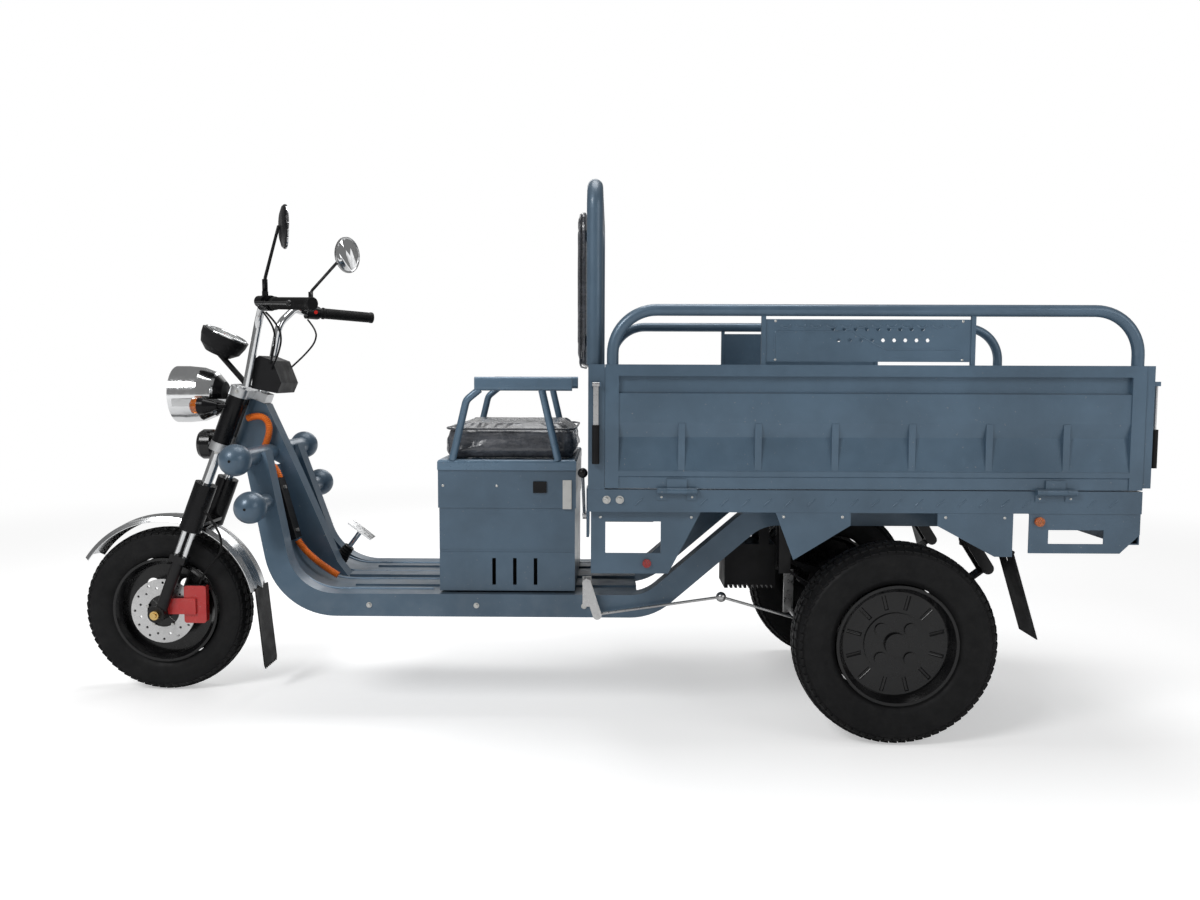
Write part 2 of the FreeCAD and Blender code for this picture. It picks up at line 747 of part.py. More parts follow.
# Seat box with the batteries in it
sizes([
    ("box_front", -412, "seat box front"),
    ("box_rear", -8, "seat box rear"),
    ("box_half", 262, "seat box half width"),
    ("box_top", 747, "seat box top"),
    ("box_wall", 3, "seat box sheet"),
    ("band_low", 634, "lower edge of the raised band"),
    ("band_out", 3, "raised band off the box"),
    ("crease_z", 505, "pressed crease"),
    ("crease_half", 4, "crease half height"),
    ("crease_deep", 1.5, "crease depth"),
    ("slot_x", -255, "first vent slot"),
    ("slot_pitch", 62, "vent slot spacing"),
    ("slot_long", 44, "vent slot length"),
    ("slot_low", 402, "vent slots lower end"),
    ("slot_high", 483, "vent slots upper end"),
    ("port_x", -112, "charging port cover"),
    ("port_z", 697, "charging port cover"),
    ("port_half", 20, "port cover half length"),
    ("port_high", 17, "port cover half height"),
    ("port_thick", 5, "port cover off the band"),
    ("hasp_x", -31, "hasp on the seat box"),
    ("hasp_half", 13, "hasp half width"),
    ("hasp_low", 632, "hasp lower end"),
    ("hasp_high", 718, "hasp upper end"),
    ("lid_hinge_out", 9, "seat hinge in front of the box"),
    ("lid_barrel", 4.5, "seat hinge barrel"),
    ("lid_pin", 2, "seat hinge pin"),
    ("lid_hinge_y", 160, "seat hinges from the middle"),
    ("lid_barrel_half", 30, "half of a fixed barrel"),
    ("lid_turning", 30, "turning barrel beside the fixed one"),
])
BOX_LOW = "pan_top + ridge_high + seat_gap"
outer_box = box(("box_front", "box_rear"), ("-box_half", "box_half"), (BOX_LOW, "box_top"))
band = box(("box_front - band_out", "box_rear + band_out"), ("-box_half - band_out", "box_half + band_out"),
           ("band_low", "box_top"))
inside = box(("box_front + box_wall", "box_rear - box_wall"), ("-box_half + box_wall",
        "box_half - box_wall"),
             (BOX_LOW + " + box_wall", "box_top + box_wall"))
box_cuts = [inside]
for side in SIDES.values():
    box_cuts.append(side_box(side, ("box_front - box_wall", "box_rear + box_wall"),
                             ("box_half - crease_deep", "box_half + 1"), ("crease_z - crease_half",
                                     "crease_z + crease_half")))
    for i in range(3):
        start = "slot_x + %d * slot_pitch" % i
        box_cuts.append(side_box(side, (start, start + " + slot_long / 4"), ("box_half - 2 * box_wall",
                "box_half + 1"),
                                 ("slot_low", "slot_high")))
hinge_x = "box_front - lid_hinge_out"
barrels = []
for side in SIDES.values():
    low = "lid_hinge_y - lid_barrel_half"
    barrels.append(side_rod(side, (hinge_x, low, "box_top"), "2 * lid_barrel_half", "lid_barrel"))
    barrels.append(side_box(side, (hinge_x, "box_front"), (low, low + " + 2 * lid_barrel_half"),
                            ("box_top - lid_barrel", "box_top - lid_barrel + box_wall")))
    barrels.append(side_rod(side, (hinge_x, low + " - lid_turning", "box_top"), "lid_turning", "lid_pin"))
shell = fuse([cut(fuse([outer_box, band]), box_cuts)] + barrels)
left_face = "-box_half - band_out"
port = box(("port_x - port_half", "port_x + port_half"), (left_face + " - port_thick", left_face),
           ("port_z - port_high", "port_z + port_high"))
hasp = box(("hasp_x - hasp_half", "hasp_x + hasp_half"), (left_face + " - port_thick", left_face),
           ("hasp_low", "hasp_high"))
node("seat_box", shell, port, hasp)

sizes([
    ("battery_long", 77, "one battery along the vehicle"),
    ("battery_wide", 181, "one battery across"),
    ("battery_high", 171, "one battery in height"),
    ("battery_front", -330, "front of the battery rows"),
    ("battery_space", 4, "space between batteries"),
    ("post_radius", 6, "battery terminal"),
    ("post_high", 8, "battery terminal"),
    ("post_inset", 22, "terminal from the battery's end"),
])
batteries = []
battery_low = BOX_LOW + " + box_wall + seat_gap"
for side, count in ((-1, 3), (1, 3)):
    for i in range(count):
        front = "battery_front + %d * (battery_long + battery_space)" % i
        case = side_box(side, (front, front + " + battery_long"), ("battery_space / 2",
                "battery_space / 2 + battery_wide"),
                        (battery_low, battery_low + " + battery_high"))
        posts = [rod("z", (front + " + battery_long / 2", "%d * (%s)" % (side, y),
                           battery_low + " + battery_high"),
                     "post_high", "post_radius")
                 for y in ("battery_space / 2 + post_inset",
                           "battery_space / 2 + battery_wide - post_inset")]
        batteries.append(fuse([case] + posts))
node("battery_pack", *batteries)

# Controller hung under the bed, with cooling fins
sizes([
    ("control_front", 443, "controller"),
    ("control_rear", 596, "controller"),
    ("control_inner", 75, "controller from the middle"),
    ("control_outer", 224, "controller from the middle"),
    ("control_low", 388, "controller"),
    ("control_high", 522, "controller"),
    ("fin_deep", 10, "controller fins"),
    ("fin_pitch", 14, "controller fins"),
    ("strap_half", 15, "half length of a hanger strap"),
    ("strap_thick", 4, "hanger strap"),
])
case = box(("control_front", "control_rear"), ("-control_outer", "-control_inner"), ("control_low",
        "control_high"))
grooves = [box(("control_front + %d * fin_pitch - fin_pitch / 4" % i,
                "control_front + %d * fin_pitch + fin_pitch / 4" % i),
               ("-control_outer - 1", "-control_inner + 1"), ("control_low - 1", "control_low + fin_deep"))
           for i in range(1, 11)]
straps = [box(("member_four_x - strap_half", "member_four_x + strap_half"), (y, y + " + strap_thick"),
              ("control_high", RAIL_REAR_Z + " - member_deep / 2"))
          for y in ("-control_outer", "-control_inner - strap_thick")]
node("controller_box", fuse([cut(case, grooves)] + straps))

# Parking brake crank with its rod and equaliser; both balls are turned to keep their seams off the rods
sizes([
    ("crank_x", 29, "crank pivot"),
    ("crank_z", 421, "crank pivot"),
    ("crank_end_x", 60, "crank end"),
    ("crank_end_z", 326, "crank end"),
    ("crank_inner", 320, "crank from the middle"),
    ("crank_thick", 6, "crank and its bracket"),
    ("crank_half", 13, "half width of the crank"),
    ("crank_pin", 6, "crank pivot"),
    ("crank_eye_y", 311, "rod's eye on the crank's pin, from the middle"),
    ("crank_eye", 6.5, "rod's eye"),
    ("linkage_radius", 4, "brake rod"),
    ("linkage_ball_x", 424, "ball joint"),
    ("linkage_ball_y", 306, "ball joint"),
    ("linkage_ball_z", 379, "ball joint"),
    ("linkage_ball", 15, "ball joint radius"),
    ("equal_x", 647, "equaliser"),
    ("equal_z", 316, "equaliser"),
    ("equal_outer", 312, "equaliser's outer end from the middle"),
    ("equal_inner", 190, "equaliser's inner end from the middle"),
    ("equal_tab", 26, "equaliser hanger ahead of the bar"),
    ("equal_radius", 6, "equaliser bar"),
])
crank_out = "crank_inner + crank_thick"
crank = fuse([
    link(("crank_x", "crank_z"), ("crank_end_x", "crank_end_z"), "crank_half", "-(%s)" % crank_out,
         "-crank_inner"),
    rod("y", ("crank_x", "-(%s) - 2" % crank_out, "crank_z"),
        "%s + 2 - rail_y - rail_wide / 2 - seat_gap" % crank_out,
        "crank_pin"),
    box(("crank_x - crank_half", "crank_x + crank_half"),
        ("-rail_y - rail_wide / 2 - seat_gap - crank_thick", "-rail_y - rail_wide / 2 - seat_gap"),
        ("rail_floor_z", "crank_z + crank_half")),
    rod("y", ("crank_end_x", "-(%s) - 2" % crank_out, "crank_end_z"), "%s + 2 - crank_eye_y" % crank_out,
        "linkage_radius"),
    turn(ball(("crank_end_x", "-crank_eye_y", "crank_end_z"), "crank_eye"), V(0, 0, 1), "90"),
    strut(("crank_end_x", "-crank_eye_y", "crank_end_z"),
          ("linkage_ball_x", "-linkage_ball_y", "linkage_ball_z"), "linkage_radius"),
    turn(ball(("linkage_ball_x", "-linkage_ball_y", "linkage_ball_z"), "linkage_ball"), V(0, 0, 1), "90"),
    strut(("linkage_ball_x", "-linkage_ball_y", "linkage_ball_z"), ("equal_x", "-linkage_ball_y",
            "equal_z"),
          "linkage_radius"),
    rod("y", ("equal_x", "-equal_outer", "equal_z"), "equal_outer - equal_inner", "equal_radius"),
    box(("equal_x - equal_tab", "equal_x + equal_radius / 2"), ("-(%s) - ear_thick" % pin_inner,
            "-(%s)" % pin_inner),
        ("equal_z", "eye_z - ear_half - seat_gap")),
])
node("brake_linkage", crank)

# Brake pedal on its bellows
sizes([
    ("pedal_x", -812, "foot of the pedal rod"),
    ("pedal_y", 90, "pedal from the middle"),
    ("pedal_z", 406, "foot of the pedal rod"),
    ("pedal_lean", 36.9, "pedal rod leans back, degrees"),
    ("pedal_long", 126, "pedal rod"),
    ("pedal_radius", 8, "pedal rod"),
    ("boot_long", 60, "bellows"),
    ("boot_wide", 27, "bellows at the floor"),
    ("boot_narrow", 19, "bellows at the top"),
    ("boot_fold", 3, "depth of a bellows fold"),
    ("boot_folds", 6, "bellows folds"),
    ("tread_long", 93, "pedal plate along its slope"),
    ("tread_half", 32, "pedal plate half width"),
    ("tread_thick", 6, "pedal plate"),
    ("tread_shift", 46, "pedal plate ahead of the rod"),
])
count = int(value("boot_folds"))
fold = "boot_long / boot_folds"
boot_outline = [("pedal_radius + 1", "0"), ("boot_wide", "0")]
for i in range(count):
    wide = "(boot_wide - (boot_wide - boot_narrow) * %s / boot_folds)"
    boot_outline.append((wide % (i + 0.5) + " - boot_fold", "%s * %s" % (i + 0.5, fold)))
    boot_outline.append((wide % (i + 1), "%d * %s" % (i + 1, fold)))
boot_outline.append(("pedal_radius + 1", "boot_long"))
boot = turned(boot_outline, ("pedal_x", "pedal_y", "pedal_z"))
node("pedal_boot", raked(boot, ("pedal_x", "pedal_y", "pedal_z"), "pedal_lean"))
pedal_rod = doc.addObject("Part::Cylinder", "PedalRod")
bind(pedal_rod, "Radius", "pedal_radius")
bind(pedal_rod, "Height", "pedal_long - boot_long + 6")


def on_pedal(u, y, w):
    """A place given ahead across the plate, across, and up the pedal rod."""
    return ("pedal_x + (%s) * cos(pedal_lean) + (%s) * sin(pedal_lean)" % (u, w), y,
            "pedal_z - (%s) * sin(pedal_lean) + (%s) * cos(pedal_lean)" % (u, w))


raked(pedal_rod, on_pedal("0", "pedal_y", "boot_long - 6"), "pedal_lean")
tread = doc.addObject("Part::Box", "Tread")
bind(tread, "Length", "tread_long")
bind(tread, "Width", "2 * tread_half")
bind(tread, "Height", "tread_thick")
raked(tread, on_pedal("-tread_shift", "pedal_y - tread_half", "pedal_long"), "pedal_lean")
node("brake_pedal", fuse([pedal_rod, tread]))

# Seat lid: ring, base plate and armrests
sizes([
    ("ring_front", -416, "seat ring"),
    ("ring_rear", -4, "seat ring"),
    ("ring_half", 270, "seat ring half width"),
    ("ring_top", 778, "seat ring"),
    ("ring_wall", 28, "seat ring across its section"),
    ("ring_round", 12, "seat ring outer corners"),
    ("arm_y", 262, "armrests from the middle"),
    ("arm_radius", 11, "armrest tube"),
    ("arm_foot_x", -372, "front foot of an armrest"),
    ("arm_knee_x", -329, "front leg of an armrest"),
    ("arm_knee_z", 954, "front leg of an armrest"),
    ("arm_head_x", -290, "armrest top, front"),
    ("arm_end_x", -17, "armrest top, rear"),
    ("arm_low", 982, "armrest top, underside"),
    ("arm_top", 1023, "armrest top"),
    ("arm_half", 14, "armrest top half width"),
    ("strut_foot_x", -58, "rear leg of an armrest"),
    ("strut_head_x", -106, "rear leg of an armrest"),
])
LID_LOW = "box_top + seat_gap"
ring = rounded(box(("ring_front", "ring_rear"), ("-ring_half", "ring_half"), (LID_LOW, "ring_top")), 9,
               lambda edge: edge.BoundBox.ZMin > value("box_top + 5") and edge.BoundBox.ZLength < 1)
ring = cut(ring, [box(("ring_front + ring_wall", "ring_rear - ring_wall"),
                      ("-ring_half + ring_wall", "ring_half - ring_wall"), (LID_LOW + " + box_wall",
                              "ring_top + 1"))])
seat_parts = [ring]
for side in SIDES.values():
    seat_parts.append(shaped(bent_tube(mirrored_points([
        ("arm_foot_x", "arm_y", "ring_top - 2"), ("arm_knee_x", "arm_y", "arm_knee_z"),
        ("arm_head_x", "arm_y", "arm_low + 4"),
    ], side), "arm_radius", ["3 * arm_radius"]), "ArmLeg"))
    seat_parts.append(strut(("strut_foot_x", "%d * arm_y" % side, "ring_top - 2"),
                            ("strut_head_x", "%d * arm_y" % side, "arm_low + 2"), "arm_radius"))
    top = side_box(side, ("arm_head_x - arm_half", "arm_end_x"), ("arm_y - arm_half", "arm_y + arm_half"),
                   ("arm_low", "arm_top"))
    seat_parts.append(rounded(top, 10, lambda edge: edge.BoundBox.XLength > 100))
    fixed_low = "lid_hinge_y - lid_barrel_half - lid_turning"
    turning = cut(fuse([
        side_rod(side, (hinge_x, fixed_low, "box_top"), "lid_turning - seat_gap", "lid_barrel"),
        side_box(side, (hinge_x, "ring_front + 1"), (fixed_low, fixed_low + " + lid_turning - seat_gap"),
                 ("box_top + lid_barrel - box_wall", "box_top + lid_barrel")),
    ]),
    [side_rod(side, (hinge_x, fixed_low + " - 1", "box_top"), "lid_turning + 2", "lid_pin + running_gap")])
    seat_parts.append(turning)
node("seat_frame", fuse(seat_parts))

# Seat and back cushions, crowned and drawn in at their edges
sizes([
    ("cushion_front", -404, "seat cushion"),
    ("cushion_rear", -6, "seat cushion"),
    ("cushion_half", 235, "seat cushion half width"),
    ("cushion_top", 885, "seat cushion crown"),
    ("cushion_edge", 868, "seat cushion top at its edge"),
    ("cushion_draw", 12, "seat cushion sides drawn in at top and bottom"),
    ("back_front", 3, "back cushion"),
    ("back_rear", 29.7, "back cushion"),
    ("back_half", 415, "back cushion half width"),
    ("back_low", 1048, "back cushion"),
    ("back_high", 1492, "back cushion"),
    ("back_draw", 8, "back cushion edge drawn in"),
    ("channel_half", 6, "stitched channel half width"),
    ("channel_deep", 5, "stitched channel depth"),
])


def rounded_outline(half_u, half_v, corner, bow):
    """A rectangle with round corners and sides bowed slightly outwards, about its centre."""
    u, v = half_u - corner, half_v - corner
    diagonal = corner * math.sin(math.pi / 4)
    arcs = [
        ((u, -half_v), (u + diagonal, -v - diagonal), (half_u, -v)), ((half_u, v), (u + diagonal,
                v + diagonal), (u, half_v)),
        ((-u, half_v), (-u - diagonal, v + diagonal), (-half_u, v)),
        ((-half_u, -v), (-u - diagonal, -v - diagonal), (-u, -half_v)),
    ]
    edges = []
    bows = [(half_u + bow, 0), (0, half_v + bow), (-half_u - bow, 0), (0, -half_v - bow)]
    for i, arc in enumerate(arcs):
        first, middle, last = [V(a, b, 0) for a, b in arc]
        edges.append(Part.Arc(first, middle, last).toShape())
        following = V(*arcs[(i + 1) % 4][0], 0)
        edges.append(Part.Arc(last, V(*bows[i], 0), following).toShape())
    return Part.Wire(edges)


def padded(half_u, half_v, levels, corner, bow):
    """A cushion lofted through outlines drawn in by an amount at each level."""
    wires = []
    for level, inset in levels:
        wire = rounded_outline(half_u - inset, half_v - inset, corner, bow)
        wire.translate(V(0, 0, level))
        wires.append(wire)
    return Part.makeLoft(wires, True, True)


cushion_low = value("ring_top + seat_gap")
edge = value("cushion_edge") - cushion_low
crown = value("cushion_top") - cushion_low
draw = value("cushion_draw")
half_long = value("(cushion_rear - cushion_front) / 2")
seat_pad = padded(half_long, value("cushion_half"), [
    (0, draw), (edge * 0.25, 2), (edge * 0.6, 0), (edge * 0.9, 4), (edge, draw), (crown - 3, 3 * draw),
    (crown, 6 * draw),
], 38, 3)
seat_pad.translate(V(value("(cushion_rear + cushion_front) / 2"), 0, cushion_low))
node("seat_cushion", shaped(seat_pad, "SeatPad"))
deep = value("back_rear - back_front")
back_draw = value("back_draw")
back_pad = padded(value("back_half"), value("(back_high - back_low) / 2"), [
    (0, back_draw), (deep * 0.3, 0), (deep * 0.6, 1), (deep * 0.85, back_draw), (deep, 3 * back_draw),
], 60, 2)
back_pad.Placement = FreeCAD.Placement(V(value("back_rear"), 0, value("(back_high + back_low) / 2")),
                                       FreeCAD.Rotation(V(0, 1, 0), V(0, 0, 1), V(-1, 0, 0), "ZXY"))
channels = [box(("back_front - 1", "back_front + channel_deep"), (y + " - channel_half",
        y + " + channel_half"),
                ("back_low + 40", "back_high - 40")) for y in ("-back_half / 3", "back_half / 3")]
BACK_CUSHION = cut(shaped(back_pad, "BackPad"), channels)

# Steering stem, clamps and stanchions
sizes([
    ("fork_set", 40, "fork tubes ahead of the steering axis"),
    ("stanchion", 16.5, "stanchion radius"),
    ("clamp_high_low", -42.7, "upper clamp along the axis"),
    ("clamp_high_top", -14, "upper clamp along the axis"),
    ("clamp_low_top", -198.3, "lower clamp along the axis"),
    ("clamp_low_low", -226, "lower clamp along the axis"),
    ("clamp_front", 70, "clamps ahead of the steering axis"),
    ("clamp_waist", 10, "rear of the clamps between stem and tubes, ahead of the axis"),
    ("clamp_rear", 28, "clamps behind the steering axis"),
    ("clamp_boss", 30, "round ends of the clamps"),
    ("clamp_middle", 32, "half width of the clamps at the stem"),
    ("stanchion_low", -419, "lower end of the stanchions"),
    ("cover_high_radius", 29, "upper fork covers"),
])


def clamp(low, high):
    """A clamp plate: two bosses, a bar between them and a lug back to the stem."""
    bosses = [steer_rod("-fork_set", "%d * fork_side" % side, low, high,
                        "clamp_boss") for side in SIDES.values()]
    bar = steer_box(("-clamp_front", "-clamp_waist"), ("-fork_side", "fork_side"), (low, high))
    return fuse(bosses + [bar, steer_box(("-clamp_front", "clamp_rear"), ("-clamp_middle", "clamp_middle"),
                                         (low, high))])


upper_parts = [
    clamp("clamp_high_low", "clamp_high_top"), clamp("clamp_low_low", "clamp_low_top"),
    steer_rod("0", "0", "clamp_low_low", "clamp_high_top", "stem_radius"),
    steer_rod("0", "0", "clamp_high_top", "clamp_high_top + stem_radius", "stem_radius"),
]
for side in SIDES.values():
    upper_parts.append(steer_rod("-fork_set", "%d * fork_side" % side, "stanchion_low",
                                 "clamp_high_top + 4", "stanchion"))
node("fork_upper", fuse(upper_parts))
covers = []
for side in SIDES.values():
    sleeve = steer_rod("-fork_set", "%d * fork_side" % side, "clamp_low_top + seat_gap",
                       "clamp_high_low - seat_gap",
                       "cover_high_radius")
    core = steer_rod("-fork_set", "%d * fork_side" % side, "clamp_low_low", "clamp_high_top",
                     "stanchion + seat_gap")
    covers.append(cut(sleeve, [core]))
node("fork_covers", *covers)


def sleeves():
    """The outside of both upper fork covers, for what bolts onto them."""
    return [steer_rod("-fork_set", "%d * fork_side" % side, "clamp_low_top", "clamp_high_low",
                      "cover_high_radius + seat_gap") for side in SIDES.values()]


# Handlebar with its two housings and the left grip
sizes([
    ("bar_radius", 12, "handlebar tube"),
    ("riser_y", 96, "risers from the middle"),
    ("riser_foot_x", -1041, "riser at the clamp"),
    ("riser_foot_z", 990, "riser at the clamp"),
    ("riser_top_x", -998, "riser top"),
    ("riser_top_z", 1195, "riser top"),
    ("sweep_x", -964, "start of the sweep"),
    ("sweep_y", 150, "start of the sweep"),
    ("sweep_z", 1246, "start of the sweep"),
    ("bar_lead", 54, "straight bar inside a grip's inner end"),
    ("hand_x", -911, "inner end of a grip"),
    ("hand_y", 232, "inner end of a grip"),
    ("hand_z", 1238, "inner end of a grip"),
    ("tip_bar_x", -758, "outer end of a grip"),
    ("tip_bar_y", 346, "outer end of a grip"),
    ("tip_bar_z", 1229, "outer end of a grip"),
    ("grip_radius", 17, "grips"),
    ("grip_flange", 21, "grip flange"),
    ("housing_radius", 23, "switch housings"),
    ("housing_long", 42, "switch housings along the bar"),
    ("end_cap", 6, "grip beyond the bar"),
])


def on_bar(side, along, ahead="0", up="0"):
    """A place along the hand part of the bar, counted from the grip's inner end."""
    start = V(value("hand_x"), value("hand_y"), value("hand_z"))
    end = V(value("tip_bar_x"), value("tip_bar_y"), value("tip_bar_z"))
    line = (end - start).normalize()
    forward = V(-line.y, line.x, 0).normalize()
    spot = start + line * value(along) + forward * value(ahead) + V(0, 0, value(up))
    return (str(spot.x), str(side * spot.y), str(spot.z))


halves = []
for side in SIDES.values():
    route = mirrored_points([("riser_foot_x", "riser_y", "riser_foot_z"), ("riser_top_x", "riser_y",
            "riser_top_z"),
                             ("sweep_x", "sweep_y", "sweep_z")], side)
    route += [on_bar(side, "-bar_lead"), mirrored_points([("tip_bar_x", "tip_bar_y", "tip_bar_z")],
                                                         side)[0]]
    halves.append(shaped(bent_tube(route, "bar_radius", ["60", "40", "40"]), "BarHalf"))
node("handlebar",
     *[cut(half, [clamp("clamp_high_low - 20", "clamp_high_top + seat_gap")]) for half in halves])

housings = []
for name, side in SIDES.items():
    inner = on_bar(side, "-housing_long - seat_gap")
    outer = on_bar(side, "-seat_gap")
    body = strut(inner, outer, "housing_radius")
    pod = strut(on_bar(side, "-housing_long + 4", "16", "4"), on_bar(side, "-4", "16", "4"),
                "housing_radius - 6")
    foot = strut(on_bar(side, "-housing_long / 2", "6", "0"), on_bar(side, "-housing_long / 2", "6", "34"),
                 "9")
    bore = strut(on_bar(side, "-housing_long - 10"), on_bar(side, "10"), "bar_radius + seat_gap")
    tools = [bore]
    if side > 0:
        tools.append(strut(on_bar(side, "-housing_long / 2 + 6", "-housing_radius - 6", "0"),
                           on_bar(side, "-housing_long / 2 + 6", "-bar_radius - 3", "0"),
                           "6 + running_gap"))
    tools.append(strut(on_bar(side, "-housing_long / 2", "6", "22"), on_bar(side, "-housing_long / 2", "6",
            "36"),
                       "5 + running_gap"))
    housings.append(cut(fuse([body, pod, foot]), tools))
grip_bore = strut(on_bar(-1, "-10"), on_bar(-1, "192"), "bar_radius + seat_gap")
left_grip = cut(fuse([
    strut(on_bar(-1, "0"), on_bar(-1, "196"), "grip_radius"), strut(on_bar(-1, "0"), on_bar(-1, "5"),
            "grip_flange"),
]), [grip_bore])
node("control_housings", *(housings + [left_grip]))
throttle_bore = strut(on_bar(1, "-10"), on_bar(1, "192"), "bar_radius + running_gap")
node("throttle_grip", cut(fuse([
    strut(on_bar(1, "0"), on_bar(1, "196"), "grip_radius"), strut(on_bar(1, "0"), on_bar(1, "5"),
            "grip_flange"),
]), [throttle_bore]))
node("horn_button", strut(on_bar(1, "-housing_long / 2 + 6", "-housing_radius - 3", "0"),
                          on_bar(1, "-housing_long / 2 + 6", "-bar_radius - 6", "0"), "6"))

# Brake levers
sizes([
    ("lever_pivot_along", -14, "lever pivot from the grip's inner end"),
    ("lever_ahead", 36.3, "lever ahead of the bar"),
    ("lever_tip_ahead", 66, "lever tip ahead of the bar"),
    ("lever_long", 176, "lever tip along the bar"),
    ("lever_radius", 5, "lever"),
    ("lever_ball", 8, "ball on a lever's end"),
    ("lever_pin", 3, "lever pivot"),
])
for name, side in SIDES.items():
    node("brake_lever_" + name, fuse([
        strut(on_bar(side, "lever_pivot_along", "lever_ahead + 3", "-2"),
              on_bar(side, "30", "lever_ahead + 8", "-2"), "lever_radius + 1"),
        strut(on_bar(side, "30", "lever_ahead + 8", "-2"), on_bar(side, "lever_long", "lever_tip_ahead",
                "-2"), "lever_radius"),
        ball(on_bar(side, "30", "lever_ahead + 8", "-2"), "lever_radius + 1"),
        ball(on_bar(side, "lever_pivot_along", "lever_ahead + 3", "-2"), "lever_radius + 1"),
        ball(on_bar(side, "lever_long", "lever_tip_ahead", "-2"), "lever_ball"),
    ]))

# Mirrors, each on a stem that turns in its housing
sizes([
    ("mirror_x", -828, "mirror centre"),
    ("mirror_y", 340, "mirror centre"),
    ("mirror_z", 1447, "mirror centre"),
    ("mirror_radius", 62.5, "mirror"),
    ("mirror_deep", 18, "mirror shell"),
    ("glass_radius", 56, "mirror glass"),
    ("glass_thick", 2, "mirror glass"),
    ("mirror_stem", 5, "mirror stem"),
])
for name, side in SIDES.items():
    foot = on_bar(side, "-housing_long / 2", "6", "22.5")
    collar = on_bar(side, "-housing_long / 2", "6", "34.5")
    above = on_bar(side, "-housing_long / 2", "6", "70")
    back = "mirror_x - mirror_deep"
    stem = shaped(bent_tube([foot, above, ("mirror_x - mirror_deep - 2", "%d * mirror_y" % side,
                                           "mirror_z")],
                            "mirror_stem", ["30"]), "MirrorStem")
    shell = turned([("0", "0"), ("mirror_radius", "0"), ("mirror_radius", "mirror_deep * 0.3"),
                    ("mirror_radius * 0.92", "mirror_deep * 0.6"), ("mirror_radius * 0.65",
                            "mirror_deep * 0.9"),
                    ("0", "mirror_deep")], ("mirror_x", "%d * mirror_y" % side, "mirror_z"), "-x")
    shell = cut(fuse([stem, shell, strut(collar, above, "mirror_stem + 3")]),
                [rod("-x", ("mirror_x + 1", "%d * mirror_y" % side, "mirror_z"), "glass_thick + 1",
                     "glass_radius + seat_gap")])
    glass = rod("-x", ("mirror_x", "%d * mirror_y" % side, "mirror_z"), "glass_thick", "glass_radius")
    node("mirror_" + name, shell, glass)

# Headlight
sizes([
    ("lamp_z", 963, "headlight centre"),
    ("lamp_front", -1296, "headlight front"),
    ("lamp_back", -1138, "headlight back"),
    ("lamp_radius", 90, "headlight rim"),
    ("lamp_wall", 3, "headlight shell"),
    ("lens_set", 4, "lens behind the rim's edge"),
    ("lens_thick", 5, "headlight lens"),
    ("ear_high", 12, "headlight ears, half height"),
    ("ear_drop", 25, "headlight ears below the lamp's centre"),
    ("ear_sheet", 4, "headlight ears"),
])
LAMP = "(lamp_back - lamp_front)"
lamp_shell = turned([
    ("0", "0"), ("lamp_radius * 0.45", "%s * 0.03" % LAMP), ("lamp_radius * 0.78", "%s * 0.2" % LAMP),
    ("lamp_radius * 0.95", "%s * 0.45" % LAMP), ("lamp_radius", "%s * 0.75" % LAMP), ("lamp_radius", LAMP),
    ("lamp_radius - lamp_wall", LAMP), ("lamp_radius - lamp_wall", "%s * 0.75" % LAMP),
    ("lamp_radius * 0.95 - lamp_wall", "%s * 0.45 + lamp_wall" % LAMP),
    ("lamp_radius * 0.78 - lamp_wall", "%s * 0.2 + lamp_wall" % LAMP),
    ("lamp_radius * 0.45", "%s * 0.03 + 2 * lamp_wall" % LAMP), ("0", "2 * lamp_wall"),
], ("lamp_back", "0", "lamp_z"), "-x")
ears = []
for side in SIDES.values():
    ears.append(cut(side_box(side, ("lamp_front + %s * 0.1" % LAMP, on_fork("lamp_z - ear_drop")),
                             ("lamp_radius - 1", "lamp_radius - 1 + ear_sheet"),
                             ("lamp_z - ear_drop - ear_high", "lamp_z - ear_drop + ear_high")),
                    sleeves()))
node("headlight_shell", fuse([lamp_shell] + ears))
lens = turned([
    ("0", "0"), ("lamp_radius - lamp_wall - seat_gap", "0"), ("lamp_radius - lamp_wall - seat_gap",
            "lens_thick"),
    ("lamp_radius * 0.6", "lens_thick * 2"), ("0", "lens_thick * 2.6"),
], ("lamp_front + lens_set + lens_thick * 2", "0", "lamp_z"), "-x")
node("headlight_lens", lens)

# Gauge pod, its glass and its stalk
sizes([
    ("gauge_x", -1139, "centre of the gauge face"),
    ("gauge_z", 1153, "centre of the gauge face"),
    ("gauge_lean", 25.5, "gauge axis leans back, degrees"),
    ("gauge_radius", 74, "gauge pod"),
    ("gauge_deep", 66, "gauge pod"),
    ("gauge_wall", 4, "gauge pod wall"),
    ("dial_set", 5, "dial below the rim"),
    ("stalk_radius", 9, "gauge stalk"),
])
gauge_foot = ("gauge_x - gauge_deep * sin(gauge_lean)", "0", "gauge_z - gauge_deep * cos(gauge_lean)")
pod = turned([
    ("0", "0"), ("gauge_radius * 0.55", "0"), ("gauge_radius * 0.85", "gauge_deep * 0.3"),
    ("gauge_radius * 0.97", "gauge_deep * 0.7"), ("gauge_radius", "gauge_deep"),
    ("gauge_radius - gauge_wall", "gauge_deep"), ("gauge_radius - gauge_wall", "gauge_deep - dial_set"),
    ("0", "gauge_deep - dial_set"),
], gauge_foot)
raked(pod, gauge_foot, "gauge_lean")
dial = doc.addObject("Part::Cylinder", "Dial")
bind(dial, "Radius", "gauge_radius - gauge_wall - seat_gap")
bind(dial, "Height", "dial_set - 1")
raked(dial, ("gauge_x - (dial_set - 0.2) * sin(gauge_lean)", "0",
             "gauge_z - (dial_set - 0.2) * cos(gauge_lean)"), "gauge_lean")
